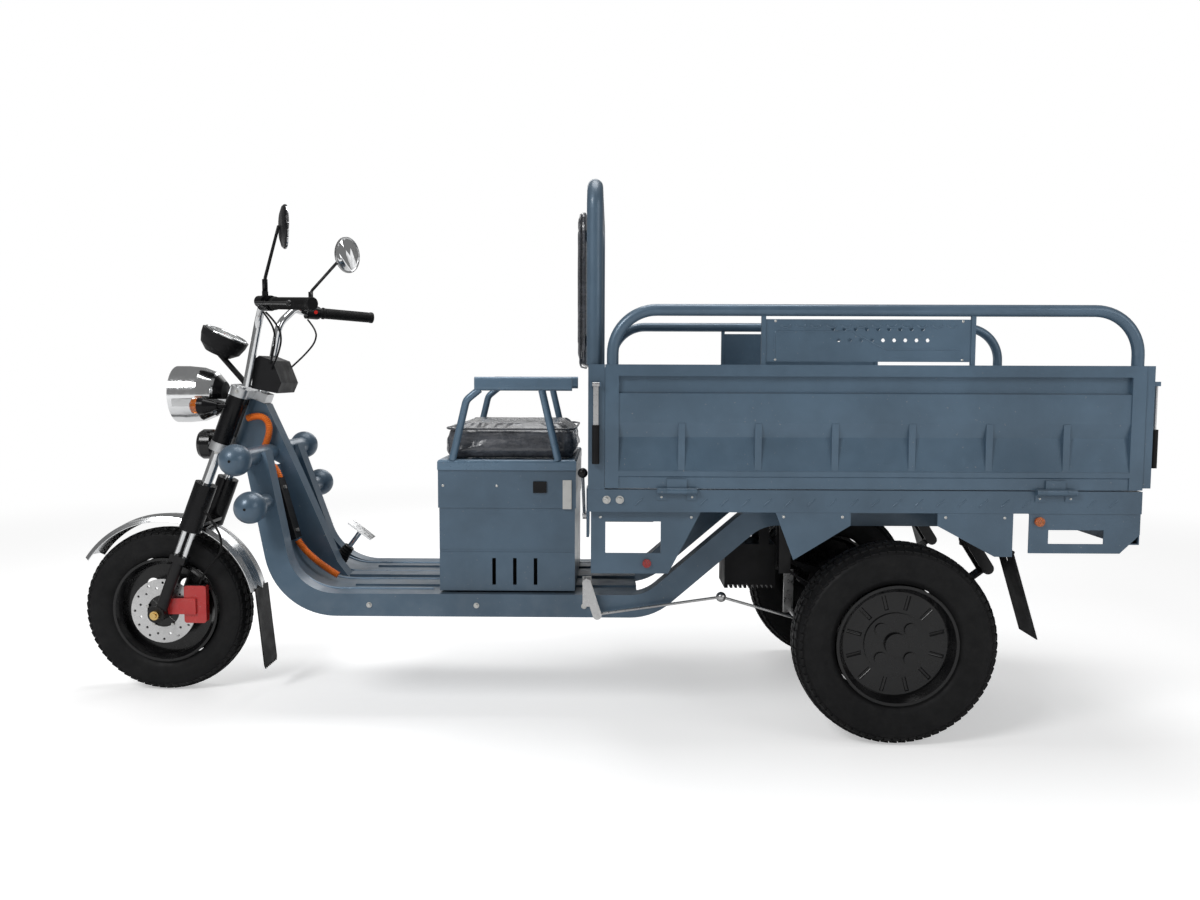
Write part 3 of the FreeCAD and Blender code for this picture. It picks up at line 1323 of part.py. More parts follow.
stalk = cut(strut(("gauge_x - gauge_deep * sin(gauge_lean) + 6", "0",
                   "gauge_z - gauge_deep * cos(gauge_lean)"),
                  steer_spot("-clamp_front + 30", "0", "clamp_high_top - 6"), "stalk_radius"),
            [clamp("clamp_high_low - 20", "clamp_high_top + seat_gap")])
node("gauge_pod", fuse([pod, stalk]), dial)

# Turn signals, horn and shroud
sizes([
    ("signal_y", 124, "turn signals from the middle"),
    ("signal_z", 929, "turn signals"),
    ("signal_front", -1206, "turn signal lens"),
    ("signal_join", -1180, "turn signal lens and body meet"),
    ("signal_rear", -1122, "turn signal body"),
    ("signal_radius", 26.5, "turn signal lens"),
    ("signal_stalk", 6, "turn signal stalk"),
    ("horn_z", 802, "horn"),
    ("horn_radius", 48, "horn"),
    ("horn_long", 56, "horn"),
    ("horn_rear_x", -1172, "horn's rear face"),
    ("shroud_half", 84, "shroud half width"),
])
signals = []
for side in SIDES.values():
    y = "%d * signal_y" % side
    lamp = turned([("0", "0"), ("signal_radius", "0"), ("signal_radius * 0.9",
                                                        "(signal_join - signal_front) * 0.7"),
                   ("signal_radius * 0.5", "signal_join - signal_front"), ("0",
                           "signal_join - signal_front")],
                  ("signal_join", y, "signal_z"), "-x")
    body = turned([("0", "0"), ("signal_radius * 0.4", "0"), ("signal_radius * 0.95",
            "(signal_rear - signal_join) * 0.7"),
                   ("signal_radius", "signal_rear - signal_join - 0.3"), ("0",
                           "signal_rear - signal_join - 0.3")],
                  ("signal_rear", y, "signal_z"), "-x")
    stem = cut(strut(("signal_rear - 8", y, "signal_z"), (on_fork("signal_z"),
                                                          "%d * (fork_side + 10)" % side, "signal_z"),
                     "signal_stalk"), sleeves())
    signals += [lamp, fuse([body, stem])]
node("turn_signals", *signals)
horn_body = turned([
    ("0", "0"), ("horn_radius * 0.8", "0"), ("horn_radius", "horn_long * 0.25"), ("horn_radius",
            "horn_long * 0.8"),
    ("horn_radius * 0.85", "horn_long"), ("0", "horn_long"),
], ("horn_rear_x", "0", "horn_z"), "-x")
horn_tab = cut(box(("horn_rear_x - 4", "horn_rear_x + 40"), ("-12", "12"), ("horn_z - 3", "horn_z + 3")),
               [steer_box(("-clamp_front - seat_gap", "clamp_rear"), ("-fork_side", "fork_side"),
                          ("clamp_low_low", "clamp_low_top"))])
node("horn", fuse([horn_body, horn_tab]))
shroud = cut(plate([("-1030", "984"), ("-1022", "1072"), ("-1004", "1086"), ("-962", "1070"), ("-936",
        "1000"),
                    ("-950", "968")], "-shroud_half", "shroud_half"),
             [clamp("clamp_high_low - 60", "clamp_high_top + seat_gap"),
              steer_rod("0", "0", "clamp_high_top", "clamp_high_top + 2 * stem_radius",
                        "stem_radius + seat_gap")])
node("steering_shroud", shroud)

# Cables from the housings to the shroud
sizes([("cable_radius", 3, "control cables")])
cables = []
for side, routes in ((-1, [
    [("-938", "205", "1214"), ("-905", "196", "1178"), ("-902", "172", "1138"), ("-922", "138", "1100"),
     ("-950", "100", "1062"), ("-968", "78", "1040")],
    [("-950", "196", "1216"), ("-930", "184", "1186"), ("-926", "160", "1150"), ("-938", "130", "1120"),
     ("-958", "98", "1082"), ("-972", "78", "1056")],
]), (1, [
    [("-938", "205", "1214"), ("-905", "196", "1178"), ("-902", "172", "1138"), ("-922", "138", "1100"),
     ("-950", "100", "1062"), ("-968", "78", "1040")],
])):
    for route in routes:
        cable = shaped(cord(mirrored_points(route, side), "cable_radius"), "Cable")
        cables.append(cut(cable,
                          [box(("-1040", "-900"), ("-shroud_half - seat_gap", "shroud_half + seat_gap"),
                                      ("980", "1090"))]))
node("control_cables", *cables)

# Fork legs: spring tubes, chrome rods, legs, brace and axle
sizes([
    ("front_tyre_radius", 266, "front tyre"),
    ("tube_radius", 34, "lower fork tubes"),
    ("tube_top", -339, "lower fork tubes along the axis"),
    ("tube_low", -497, "lower fork tubes along the axis"),
    ("tube_floor", 8, "closed end of a lower fork tube"),
    ("rod_half_space", 13, "chrome rods from the leg's line"),
    ("chrome_rod", 9, "chrome rods"),
    ("leg_top", -585, "legs along the axis"),
    ("leg_radius", 18, "legs"),
    ("yoke_long", 25, "blocks at the top of the legs, half length"),
    ("yoke_half", 20, "blocks at the top of the legs, half width"),
    ("yoke_high", 22, "blocks at the top of the legs"),
    ("lug_radius", 26, "axle lugs"),
    ("lug_inner", 64, "axle lugs from the middle"),
    ("lug_outer", 111, "axle lugs from the middle"),
    ("front_axle", 8, "front axle"),
    ("front_axle_half", 128, "front axle"),
    ("axle_nut", 14, "axle nut"),
    ("fender_radius", 303, "fender inside"),
    ("fender_sheet", 2, "fender sheet"),
    ("fender_crown", 5, "fender rise in its middle"),
    ("fender_half", 52, "fender half width"),
    ("brace_thick", 12, "brace over the fender"),
])
AXLE_U = "(front_axle_x - steer_x) * cos(rake) - (front_tyre_radius - datum_z) * sin(rake)"
AXLE_W = "(front_axle_x - steer_x) * sin(rake) + (front_tyre_radius - datum_z) * cos(rake)"
legs = []
for side in SIDES.values():
    y = "%d * fork_side" % side
    legs.append(steer_rod("-fork_set", y, "tube_low", "tube_top", "tube_radius"))
    for shift in ("-rod_half_space", "rod_half_space"):
        legs.append(steer_rod("-fork_set + %s" % shift, y, "leg_top - 4", "tube_low + 1", "chrome_rod"))
    legs.append(steer_rod("-fork_set", y, AXLE_W, "leg_top", "leg_radius"))
    legs.append(steer_box(("-fork_set - yoke_long", "-fork_set + yoke_long"),
                          (y + " - yoke_half", y + " + yoke_half"), ("leg_top - yoke_high", "leg_top")))
    legs.append(side_rod(side, ("front_axle_x", "lug_inner", "front_tyre_radius"), "lug_outer - lug_inner",
                         "lug_radius"))
    legs.append(side_rod(side, ("front_axle_x", "lug_outer", "front_tyre_radius"), "12", "axle_nut"))
legs.append(rod("y", ("front_axle_x", "-front_axle_half", "front_tyre_radius"), "2 * front_axle_half",
                "front_axle"))
brace_low = AXLE_W + " + fender_radius + fender_crown + fender_sheet + seat_gap"
legs.append(steer_box(("-fork_set - 30", "-fork_set + 30"), ("-fork_side + 8", "fork_side - 8"),
                      (brace_low, brace_low + " + brace_thick")))
tube_bores = [steer_rod("-fork_set", "%d * fork_side" % side, "tube_low + tube_floor", "tube_top + 1",
                        "stanchion + running_gap") for side in SIDES.values()]
node("fork_legs", cut(fuse(legs), tube_bores))

# Front fender and its mudflap
sizes([
    ("fender_rear", 12, "fender's rear end, degrees above level"),
    ("fender_front", 146, "fender's front end, degrees from the rear"),
    ("fender_lip", 14, "fender sides turned in"),
    ("fender_edge", 8, "fender side slope"),
    ("flap_top_z", 338, "mudflap"),
    ("flap_low_z", 76, "mudflap"),
    ("flap_top_x", -1045, "mudflap"),
    ("flap_low_x", -1019, "mudflap"),
    ("flap_thick", 4, "mudflap"),
    ("flap_half", 57, "mudflap half width"),
    ("flap_tooth", 12, "mudflap teeth"),
    ("flap_teeth", 8, "mudflap teeth in a row"),
])


def fender_band():
    """A shallow channel rolled round the wheel from its rear end over the top."""
    inner, sheet, half = value("fender_radius"), value("fender_sheet"), value("fender_half")
    lip, edge, crown = value("fender_lip"), value("fender_edge"), value("fender_crown")
    under = [(inner - lip, -half), (inner, edge - half), (inner + crown, 0), (inner, half - edge),
             (inner - lip, half)]
    over = [(r + sheet, y) for r, y in reversed(under)]
    corners = [V(r, y, 0) for r, y in under + over]
    face = Part.Face(Part.makePolygon(corners + corners[:1]))
    face.rotate(V(0, 0, 0), V(0, -1, 0), value("fender_rear"))
    band = face.revolve(V(0, 0, 0), V(0, -1, 0), value("fender_front - fender_rear"))
    band.translate(V(value("front_axle_x"), 0, value("front_tyre_radius")))
    return band


def flap_form():
    """A hanging flap with a toothed lower edge."""
    half, low, top = value("flap_half"), value("flap_low_z"), value("flap_top_z")
    tooth, teeth = value("flap_tooth"), int(value("flap_teeth"))
    pitch = 2 * half / teeth
    corners = [V(0, half, top), V(0, -half, top), V(0, -half, low + tooth)]
    for i in range(teeth):
        corners += [V(0, -half + (i + 0.5) * pitch, low), V(0, -half + (i + 1) * pitch, low + tooth)]
    fall = value("(flap_low_x - flap_top_x) / (flap_top_z - flap_low_z)")
    corners = [V(value("flap_top_x") + (top - c.z) * fall, c.y, c.z) for c in corners]
    return Part.Face(Part.makePolygon(corners + corners[:1])).extrude(V(value("flap_thick"), 0, 0))


fender = shaped(fender_band(), "Fender")
flap = cut(shaped(flap_form(), "Flap"), [shaped(fender_band(), "Fender")])
node("front_fender", fender, flap)

# Brake disc, caliper and hose
sizes([
    ("disc_radius", 104, "brake disc"),
    ("disc_inner", 52, "brake disc ring"),
    ("disc_outer_y", 56, "brake disc from the middle"),
    ("disc_thick", 4, "brake disc"),
    ("disc_hole", 4, "brake disc drilling"),
    ("caliper_front", -1268, "caliper"),
    ("caliper_rear", -1197, "caliper"),
    ("caliper_low", 231, "caliper"),
    ("caliper_high", 352, "caliper"),
    ("caliper_inner", 47.5, "caliper from the middle"),
    ("caliper_outer", 71, "caliper from the middle"),
    ("pad_gap", 1.5, "caliper slot beside the disc"),
    ("mount_thick", 8, "caliper mount"),
    ("hose_thin", 3.5, "brake hose"),
])


def axle_rod(low, high, radius):
    """A round bar about the front axle between two values across."""
    return rod("y", ("front_axle_x", low, "front_tyre_radius"), "(%s) - (%s)" % (high, low), radius)


slot = axle_rod("-disc_outer_y - pad_gap", "-disc_outer_y + disc_thick + pad_gap", "disc_radius + 5")
body = rounded(box(("caliper_front", "caliper_rear"), ("-caliper_outer", "-caliper_inner"), ("caliper_low",
        "caliper_high")),
               9, lambda edge: edge.BoundBox.YLength > 10)
mount = cut(box(("front_axle_x", "caliper_front + 40"), ("-caliper_outer - mount_thick", "-caliper_outer"),
                ("caliper_low + 30", "caliper_high - 40")),
            [steer_rod("-fork_set", "-fork_side", AXLE_W + " - 40", "leg_top", "leg_radius + seat_gap"),
             rod("y", ("front_axle_x", "-lug_outer", "front_tyre_radius"), "lug_outer - lug_inner",
                 "lug_radius + seat_gap")])
hose = shaped(cord([("-1222", "-60", "350"), ("-1206", "-64", "386"), ("-1170", "-80", "425"), ("-1130",
        "-104", "470"),
                    ("-1122", "-124", "520"), ("-1142", "-132", "565"), ("-1172", "-124", "600")],
                    "hose_thin"), "Hose")
node("brake_caliper", cut(fuse([body, mount]), [slot]),
     cut(hose, [steer_rod("-fork_set", "-fork_side", "tube_low", "tube_top", "tube_radius + seat_gap"),
                box(("caliper_front", "caliper_rear"), ("-caliper_outer", "-caliper_inner"),
                    ("caliper_low", "caliper_high + seat_gap"))]))

holes = []
for i in range(12):
    for ring, shift in (("disc_radius - 12", 0), ("disc_radius - 28", 15)):
        angle = 30 * i + shift
        holes.append(Part.makeCylinder(value("disc_hole"), value("disc_thick") + 2,
                                       V(value(ring) * math.cos(math.radians(angle)), -1,
                                         value(ring) * math.sin(math.radians(angle))), V(0, 1, 0)))
drilling = place(shaped(Part.makeCompound(holes), "Drilling"), ("front_axle_x", "-disc_outer_y",
        "front_tyre_radius"))
node("brake_disc", cut(axle_rod("-disc_outer_y", "-disc_outer_y + disc_thick", "disc_radius"),
                       [axle_rod("-disc_outer_y - 1", "-disc_outer_y + disc_thick + 1", "disc_inner"),
                        drilling]))

# Wheels
sizes([
    ("rim_radius", 170, "all rims"),
    ("rim_wall", 4, "rim barrels"),
    ("rim_well", 148, "rim barrels in the middle"),
    ("front_tyre_half", 50, "front tyre half width"),
    ("rear_tyre_half", 66, "rear tyre half width"),
    ("front_rim_half", 44, "front rim half width"),
    ("rear_rim_half", 56, "rear rim half width"),
    ("tyre_wall", 9, "tyre carcass"),
    ("groove_half", 2, "tread groove half width"),
    ("groove_deep", 5, "tread groove depth"),
    ("web_thick", 6, "wheel web"),
    ("front_hub", 34, "front hub"),
    ("front_hub_half", 51.5, "front hub half length"),
    ("web_hole", 22, "holes in the front web"),
    ("web_hole_ring", 92, "holes in the front web from the axle"),
    ("wheel_y", 430, "rear wheels from the middle"),
    ("rear_hub", 48, "rear hub"),
    ("rear_hub_inner", 366, "rear hub's inner face from the middle"),
    ("spindle", 17, "rear wheel spindle"),
    ("spindle_end", 458, "rear spindle end from the middle"),
    ("rear_web_y", 452, "rear wheel web from the middle"),
    ("cap_radius", 87.5, "hub cap"),
    ("cap_deep", 16, "hub cap off the web"),
    ("cap_middle", 31.5, "hub cap centre"),
    ("crease_radius", 7, "pressed creases in the rear web"),
    ("crease_inner", 98, "creases from the axle"),
    ("crease_outer", 140, "creases from the axle"),
])


def tyre(radius, half):
    """A hollow carcass with two tread grooves, about its own middle."""
    tall = "(%s - rim_radius)" % radius
    side = [("rim_radius", "%s * 0.8" % half), ("rim_radius + %s * 0.2" % tall, "%s * 0.94" % half),
            ("rim_radius + %s * 0.5" % tall, half), ("rim_radius + %s * 0.78" % tall, "%s * 0.96" % half),
            ("rim_radius + %s * 0.93" % tall, "%s * 0.8" % half), ("%s - 1.5" % radius, "%s * 0.5" % half),
            ("%s - 1" % radius, "%s * 0.36 + groove_half" % half), ("%s - groove_deep" % radius,
                    "%s * 0.36" % half),
            ("%s - 0.8" % radius, "%s * 0.36 - groove_half" % half)]
    cavity = [("rim_radius + 1", "%s * 0.8 - tyre_wall" % half), ("rim_radius + %s * 0.5" % tall,
            "%s - tyre_wall" % half),
              ("rim_radius + %s * 0.8" % tall, "%s * 0.85 - tyre_wall" % half), ("%s - tyre_wall" % radius,
                      "%s * 0.5" % half)]
    upper = side + [(radius, "%s * 0.1" % half)]
    lower = [(r, "-(%s)" % y) for r, y in reversed(upper)]
    inner_low = [(r, "-(%s)" % y) for r, y in cavity]
    inner_high = list(reversed(cavity))
    return upper + lower + inner_low + inner_high


def rim(half):
    """A rim barrel with its well and two lips."""
    outer = [("rim_radius - seat_gap", half), ("rim_radius - seat_gap", "%s - rim_wall" % half),
             ("rim_well + rim_wall", "%s * 0.6" % half)]
    inner = [("rim_well", "%s * 0.6 + rim_wall / 3" % half), ("rim_radius - seat_gap - 2 * rim_wall", half)]
    return (outer + [(r, "-(%s)" % y) for r, y in reversed(outer)] + [(r, "-(%s)" % y) for r,
            y in reversed(inner)]
            + inner)


front_at = ("front_axle_x", "0", "front_tyre_radius")
node("front_tyre", turned(tyre("front_tyre_radius", "front_tyre_half"), front_at, "y"))
web_holes = []
for i in range(5):
    angle = math.radians(72 * i + 54)
    web_holes.append(rod("y", ("front_axle_x + web_hole_ring * %.4f" % math.cos(angle), "-web_thick",
                               "front_tyre_radius + web_hole_ring * %.4f" % math.sin(angle)),
                               "2 * web_thick", "web_hole"))
front_wheel = fuse([turned(rim("front_rim_half"), front_at, "y"),
                    cut(axle_rod("-web_thick / 2", "web_thick / 2", "rim_well + 1"), web_holes),
                    axle_rod("-front_hub_half", "front_hub_half", "front_hub"),
                    axle_rod("-disc_outer_y + disc_thick", "-disc_outer_y + disc_thick + 4",
                             "disc_inner + 8")])
node("front_rim", cut(front_wheel, [axle_rod("-80", "80", "front_axle + running_gap")]))


def rear_rod(side, low, high, radius):
    """A round bar about the rear axle between two distances from the middle."""
    return side_rod(side, ("rear_axle_x", low, "rear_tyre_radius"), "(%s) - (%s)" % (high, low), radius)


for name, side in SIDES.items():
    wheel_at = ("rear_axle_x", "%d * wheel_y" % side, "rear_tyre_radius")
    node("rear_tyre_" + name, turned(tyre("rear_tyre_radius", "rear_tyre_half"), wheel_at, "y"))
    creases = []
    for i in range(12):
        angle = math.radians(30 * i + 15)
        creases.append(strut(tuple([
            "rear_axle_x + crease_inner * %.4f" % math.cos(angle), "%d * (rear_web_y + 8)" % side,
            "rear_tyre_radius + crease_inner * %.4f" % math.sin(angle)]), tuple([
                "rear_axle_x + crease_outer * %.4f" % math.cos(angle), "%d * (rear_web_y + 8)" % side,
                "rear_tyre_radius + crease_outer * %.4f" % math.sin(angle)]), "crease_radius - 1"))
    web = cut(rear_rod(side, "rear_web_y", "rear_web_y + web_thick", "rim_well + 1"), creases)
    wheel = cut(fuse([turned(rim("rear_rim_half"), wheel_at, "y"), web,
                      rear_rod(side, "rear_hub_inner", "rear_web_y + 1", "rear_hub")]),
                [rear_rod(side, "rear_hub_inner - 10", "spindle_end + 1", "spindle + running_gap")])
    cap_low = "rear_web_y + web_thick"
    cap = fuse([rear_rod(side, cap_low, cap_low + " + cap_deep / 3", "cap_radius"),
                rear_rod(side, cap_low, cap_low + " + cap_deep", "cap_middle")])
    bosses = []
    for i in range(4):
        angle = math.radians(90 * i + 45)
        bosses.append(side_rod(side, ("rear_axle_x + 58 * %.4f" % math.cos(angle),
                                      cap_low + " + cap_deep / 3",
                                      "rear_tyre_radius + 58 * %.4f" % math.sin(angle)), "cap_deep / 3",
                                      "18"))
    node("rear_rim_" + name, wheel, fuse([cap] + bosses))

# Rear axle with its gearbox, spring seats and motor
sizes([
    ("axle_tube", 38, "rear axle tube"),
    ("axle_tube_end", 352, "rear axle tube from the middle"),
    ("plate_radius", 84, "brake back plates"),
    ("plate_thick", 8, "brake back plates"),
    ("diff_radius", 84, "gearbox round the axle"),
    ("diff_half", 34, "gearbox half width"),
    ("motor_x", 1019, "motor"),
    ("motor_z", 300, "motor"),
    ("motor_radius", 68, "motor"),
    ("motor_end", 222, "motor end from the middle"),
    ("motor_fin", 4, "motor fins"),
    ("seat_half", 34, "spring seat half length"),
    ("bolt_radius", 5, "spring bolts"),
    ("bolt_half", 25, "spring bolts from the axle"),
    ("strap_high", 8, "plate over the spring"),
    ("strap_gap", 3, "plate above the spring's curve"),
])
pack_low = "leaf_seat_z - leaf_thick * (leaf_count - 0.5)"
pack_high = "leaf_seat_z + leaf_thick / 2"
axle = [
    rod("y", ("rear_axle_x", "-axle_tube_end", "rear_tyre_radius"), "2 * axle_tube_end", "axle_tube"),
    rod("y", ("rear_axle_x", "-spindle_end", "rear_tyre_radius"), "2 * spindle_end", "spindle"),
    link(("rear_axle_x", "rear_tyre_radius"), ("motor_x", "motor_z"), "diff_radius - 8", "-diff_half - 6",
         "diff_half + 6"),
    rod("y", ("rear_axle_x", "-diff_half - 6", "rear_tyre_radius"), "2 * diff_half + 12", "diff_radius"),
]
for side in SIDES.values():
    axle.append(rear_rod(side, "axle_tube_end - plate_thick", "axle_tube_end", "plate_radius"))
    axle.append(side_box(side, ("rear_axle_x - seat_half", "rear_axle_x + seat_half"),
                         ("rail_y - leaf_wide / 2", "rail_y + leaf_wide / 2"),
                         ("rear_tyre_radius + axle_tube - 8", pack_low + " - 3 * seat_gap")))
    axle.append(side_box(side, ("rear_axle_x - bolt_half - 9", "rear_axle_x + bolt_half + 9"),
                         ("rail_y - leaf_wide / 2 - 3 * bolt_radius",
                          "rail_y + leaf_wide / 2 + 3 * bolt_radius"),
                         (pack_high + " + strap_gap", pack_high + " + strap_gap + strap_high")))
    axle.append(side_box(side, ("rear_axle_x - bolt_half - 9", "rear_axle_x + bolt_half + 9"),
                         ("rail_y - leaf_wide / 2 - 3 * bolt_radius",
                          "rail_y + leaf_wide / 2 + 3 * bolt_radius"),
                         ("rear_tyre_radius - axle_tube - 4", "rear_tyre_radius - axle_tube + 4")))
    for shift in ("-bolt_half", "bolt_half"):
        for y in ("rail_y - leaf_wide / 2 - bolt_radius - 1", "rail_y + leaf_wide / 2 + bolt_radius + 1"):
            axle.append(rod("z", ("rear_axle_x + " + shift, "%d * (%s)" % (side, y),
                                  "rear_tyre_radius - axle_tube - 8"),
                            pack_high + " + strap_high + 8 - (rear_tyre_radius - axle_tube - 8)",
                            "bolt_radius"))
node("rear_axle", fuse(axle))
motor = [rod("y", ("motor_x", "diff_half + 6 + seat_gap", "motor_z"), "motor_end - diff_half - 26",
             "motor_radius - motor_fin"),
         rod("y", ("motor_x", "motor_end - 24", "motor_z"), "24", "motor_radius")]
for i in range(7):
    motor.append(rod("y", ("motor_x", "diff_half + 20 + %d * 21" % i, "motor_z"), "8", "motor_radius"))
node("drive_motor", fuse(motor))

# Bed base
sizes([
    ("bed_front", 36, "front face of the bed"),
    ("bed_rear", 1539, "rear face of the bed base"),
    ("bed_half", 500, "bed half width"),
    ("bed_top", 718, "top of the bed base"),
    ("bed_side", 38, "side members of the base"),
    ("bed_wall", 3, "base members and sheets"),
    ("floor_top", 703, "bed floor"),
    ("cross_half", 20, "half length of the base's cross members"),
    ("cross_count", 5, "cross members under the bed floor"),
    ("ear_low", 16, "tipping ears below their pin"),
    ("lock_y", 300, "lock lever plate from the middle"),
    ("lock_half", 40, "lock lever plate half width"),
    ("lock_low", 560, "lock lever plate"),
    ("lock_high", 702, "lock lever plate"),
    ("lock_thick", 8, "lock lever plate"),
    ("lock_pivot_z", 620, "lock lever pivot"),
    ("lock_pin", 5, "lock lever pivot"),
    ("knob_y", 480, "lock lever knob from the middle"),
    ("knob_z", 761, "lock lever knob"),
    ("knob_radius", 14, "lock lever knob"),
    ("lock_rod", 4.5, "lock lever rod"),
    ("gate_hinge_first", 278, "first gate hinge"),
    ("gate_hinge_second", 1303, "second gate hinge"),
    ("barrel_radius", 9, "gate hinge barrels"),
    ("barrel_half", 54, "half length of a gate hinge"),
    ("middle_half", 27, "half length of a gate's own barrel"),
    ("gate_pin", 4, "gate hinge pins"),
    ("leaf_sheet", 3, "gate hinge leaves"),
    ("leaf_high", 26, "gate hinge leaves"),
    ("tail_hinge_y", 300, "tailgate hinges from the middle"),
])
GATE_AXIS_Y = "bed_half + seat_gap + barrel_radius"
GATE_AXIS_Z = "bed_top - 2"
TAIL_AXIS_X = "bed_rear + seat_gap + barrel_radius"


def hollow_box(x, y, z, along):
    """A square tube open at both ends along one axis."""
    wall = "bed_wall"
    inner = [(low + " + " + wall, high + " - " + wall) for low, high in (x, y, z)]
    inner[along] = ((x, y, z)[along][0] + " - 1", (x, y, z)[along][1] + " + 1")
    return cut(box(x, y, z), [box(*inner)])


def barrel(side, centre, first, last, radius):
    """A piece of a side gate's hinge barrel."""
    return rod("x", ("%s + %s" % (centre, first), "%d * (%s)" % (side, GATE_AXIS_Y), GATE_AXIS_Z),
               "(%s) - (%s)" % (last, first), radius)


base = []
for side in SIDES.values():
    low, high = ("bed_half - bed_side", "bed_half") if side > 0 else ("-bed_half", "-bed_half + bed_side")
    base.append(hollow_box(("bed_front", "bed_rear"), (low, high), ("bed_low", "bed_top"), 0))
    base.append(cut(side_box(side, ("tip_x - tip_drop", "tip_x + tip_drop"),
                             ("rail_y + rail_wide / 2 + seat_gap",
                              "rail_y + rail_wide / 2 + seat_gap + ear_thick"),
                             (TIP_Z + " - ear_low", "bed_low + 1")),
                    [side_rod(side, ("tip_x", "rail_y", TIP_Z), "rail_wide", "tip_pin + running_gap")]))
    for centre in ("gate_hinge_first", "gate_hinge_second"):
        for first, last in (("-barrel_half", "-middle_half"), ("middle_half", "barrel_half")):
            base.append(barrel(side, centre, first, last, "barrel_radius"))
            base.append(side_box(side, ("%s + %s" % (centre, first), "%s + %s" % (centre, last)),
                                 ("bed_half - 1", "bed_half + leaf_sheet"), (GATE_AXIS_Z + " - leaf_high",
                                         GATE_AXIS_Z)))
        base.append(barrel(side, centre, "-barrel_half", "barrel_half", "gate_pin"))
    y = "%d * tail_hinge_y" % side
    for first, last in (("-barrel_half", "-middle_half"), ("middle_half", "barrel_half")):
        base.append(rod("y", (TAIL_AXIS_X, "%s + %s" % (y, first), GATE_AXIS_Z), "(%s) - (%s)" % (last,
                first), "barrel_radius"))
        base.append(box(("bed_rear - 1", "bed_rear + leaf_sheet"), ("%s + %s" % (y, first), "%s + %s" % (y,
                last)),
                        (GATE_AXIS_Z + " - leaf_high", GATE_AXIS_Z)))
    base.append(rod("y", (TAIL_AXIS_X, "%s - barrel_half" % y, GATE_AXIS_Z), "2 * barrel_half", "gate_pin"))
inner_y = ("-bed_half + bed_side - 1", "bed_half - bed_side + 1")
base.append(box(("bed_front", "bed_rear"), inner_y, ("floor_top - bed_wall", "floor_top")))
for low, high in (("bed_front", "bed_front + bed_side"), ("bed_rear - bed_side", "bed_rear")):
    base.append(hollow_box((low, high), inner_y, ("bed_low", "floor_top"), 1))
for i in range(int(value("cross_count"))):
    centre = "bed_front + (bed_rear - bed_front) * %d / (cross_count + 1)" % (i + 1)
    base.append(hollow_box((centre + " - cross_half", centre + " + cross_half"), inner_y, ("bed_low",
            "floor_top - 1"), 1))
base.append(hollow_box(("tip_x - cross_half", "tip_x + cross_half"), inner_y, ("bed_low", "floor_top - 1"),
                       1))
base.append(box(("bed_front - lock_thick", "bed_front"), ("-lock_y - lock_half", "-lock_y + lock_half"),
                ("lock_low", "lock_high")))
base.append(rod("x", ("bed_front - lock_thick - 13", "-lock_y", "lock_pivot_z"), "13", "lock_pin"))
node("bed_base", fuse(base))
lock_x = "bed_front - lock_thick - 7"
lever = fuse([
    rod("x", ("bed_front - lock_thick - 12", "-lock_y", "lock_pivot_z"), "12 - seat_gap",
        "2 * lock_pin + 2"),
    strut((lock_x, "-lock_y", "lock_pivot_z"), (lock_x, "-knob_y", "knob_z"), "lock_rod"),
    ball((lock_x, "-knob_y", "knob_z"), "knob_radius"),
])
node("bed_lock_lever", cut(lever,
                           [rod("x", ("bed_front - lock_thick - 30", "-lock_y", "lock_pivot_z"), "40",
                                       "lock_pin + running_gap")]))

# Front wall with its posts and the front latches' cheeks
sizes([
    ("post_long", 45, "front posts along the vehicle"),
    ("wall_top", 1058, "top of the walls"),
    ("wall_x", 52, "front sheet"),
    ("wall_rail", 30, "top rail of the front wall"),
    ("latch_front", 42, "front latches"),
    ("latch_rear", 72, "front latches"),
    ("latch_cheek", 5, "front latch cheeks"),
    ("latch_out", 11, "front latch pin off the post"),
    ("latch_z", 1004, "front latch pin"),
    ("latch_pin", 3, "latch pins"),
    ("latch_hub", 6, "latch hubs"),
    ("grip_top", 894, "latch grips"),
    ("grip_low", 789, "latch grips"),
    ("latch_grip", 10, "latch grips"),
    ("latch_sheet", 4, "latch levers"),
])
LATCH_Y = "bed_half + latch_out"
WALL_LOW = "bed_top + paint_gap"
wall = [box(("wall_x", "wall_x + bed_wall"), ("-bed_half + post_long - 1", "bed_half - post_long + 1"),
            (WALL_LOW, "wall_top - 2")),
        hollow_box(("bed_front + 4", "bed_front + 4 + wall_rail"), ("-bed_half + post_long - 1",
                "bed_half - post_long + 1"),
                   ("wall_top - wall_rail", "wall_top"), 1)]
for i in range(4):
    y = "-240 + %d * 160" % i
    wall.append(box(("wall_x - 8", "wall_x"), (y + " - 15", y + " + 15"), (WALL_LOW + " + 30",
            "wall_top - wall_rail - 20")))
for side in SIDES.values():
    low, high = ("bed_half - post_long", "bed_half") if side > 0 else ("-bed_half", "-bed_half + post_long")
    wall.append(hollow_box(("bed_front", "bed_front + post_long"), (low, high), (WALL_LOW, "wall_top"), 2))
    for first, last in (("latch_front", "latch_front + latch_cheek"), ("latch_rear - latch_cheek",
            "latch_rear")):
        wall.append(side_box(side, (first, last), ("bed_half - 1", LATCH_Y + " + latch_hub"),
                             ("latch_z - latch_hub", "latch_z + latch_hub")))
    wall.append(rod("x", ("latch_front", "%d * (%s)" % (side, LATCH_Y), "latch_z"),
                    "latch_rear - latch_front", "latch_pin"))
node("bed_front_wall", fuse(wall))
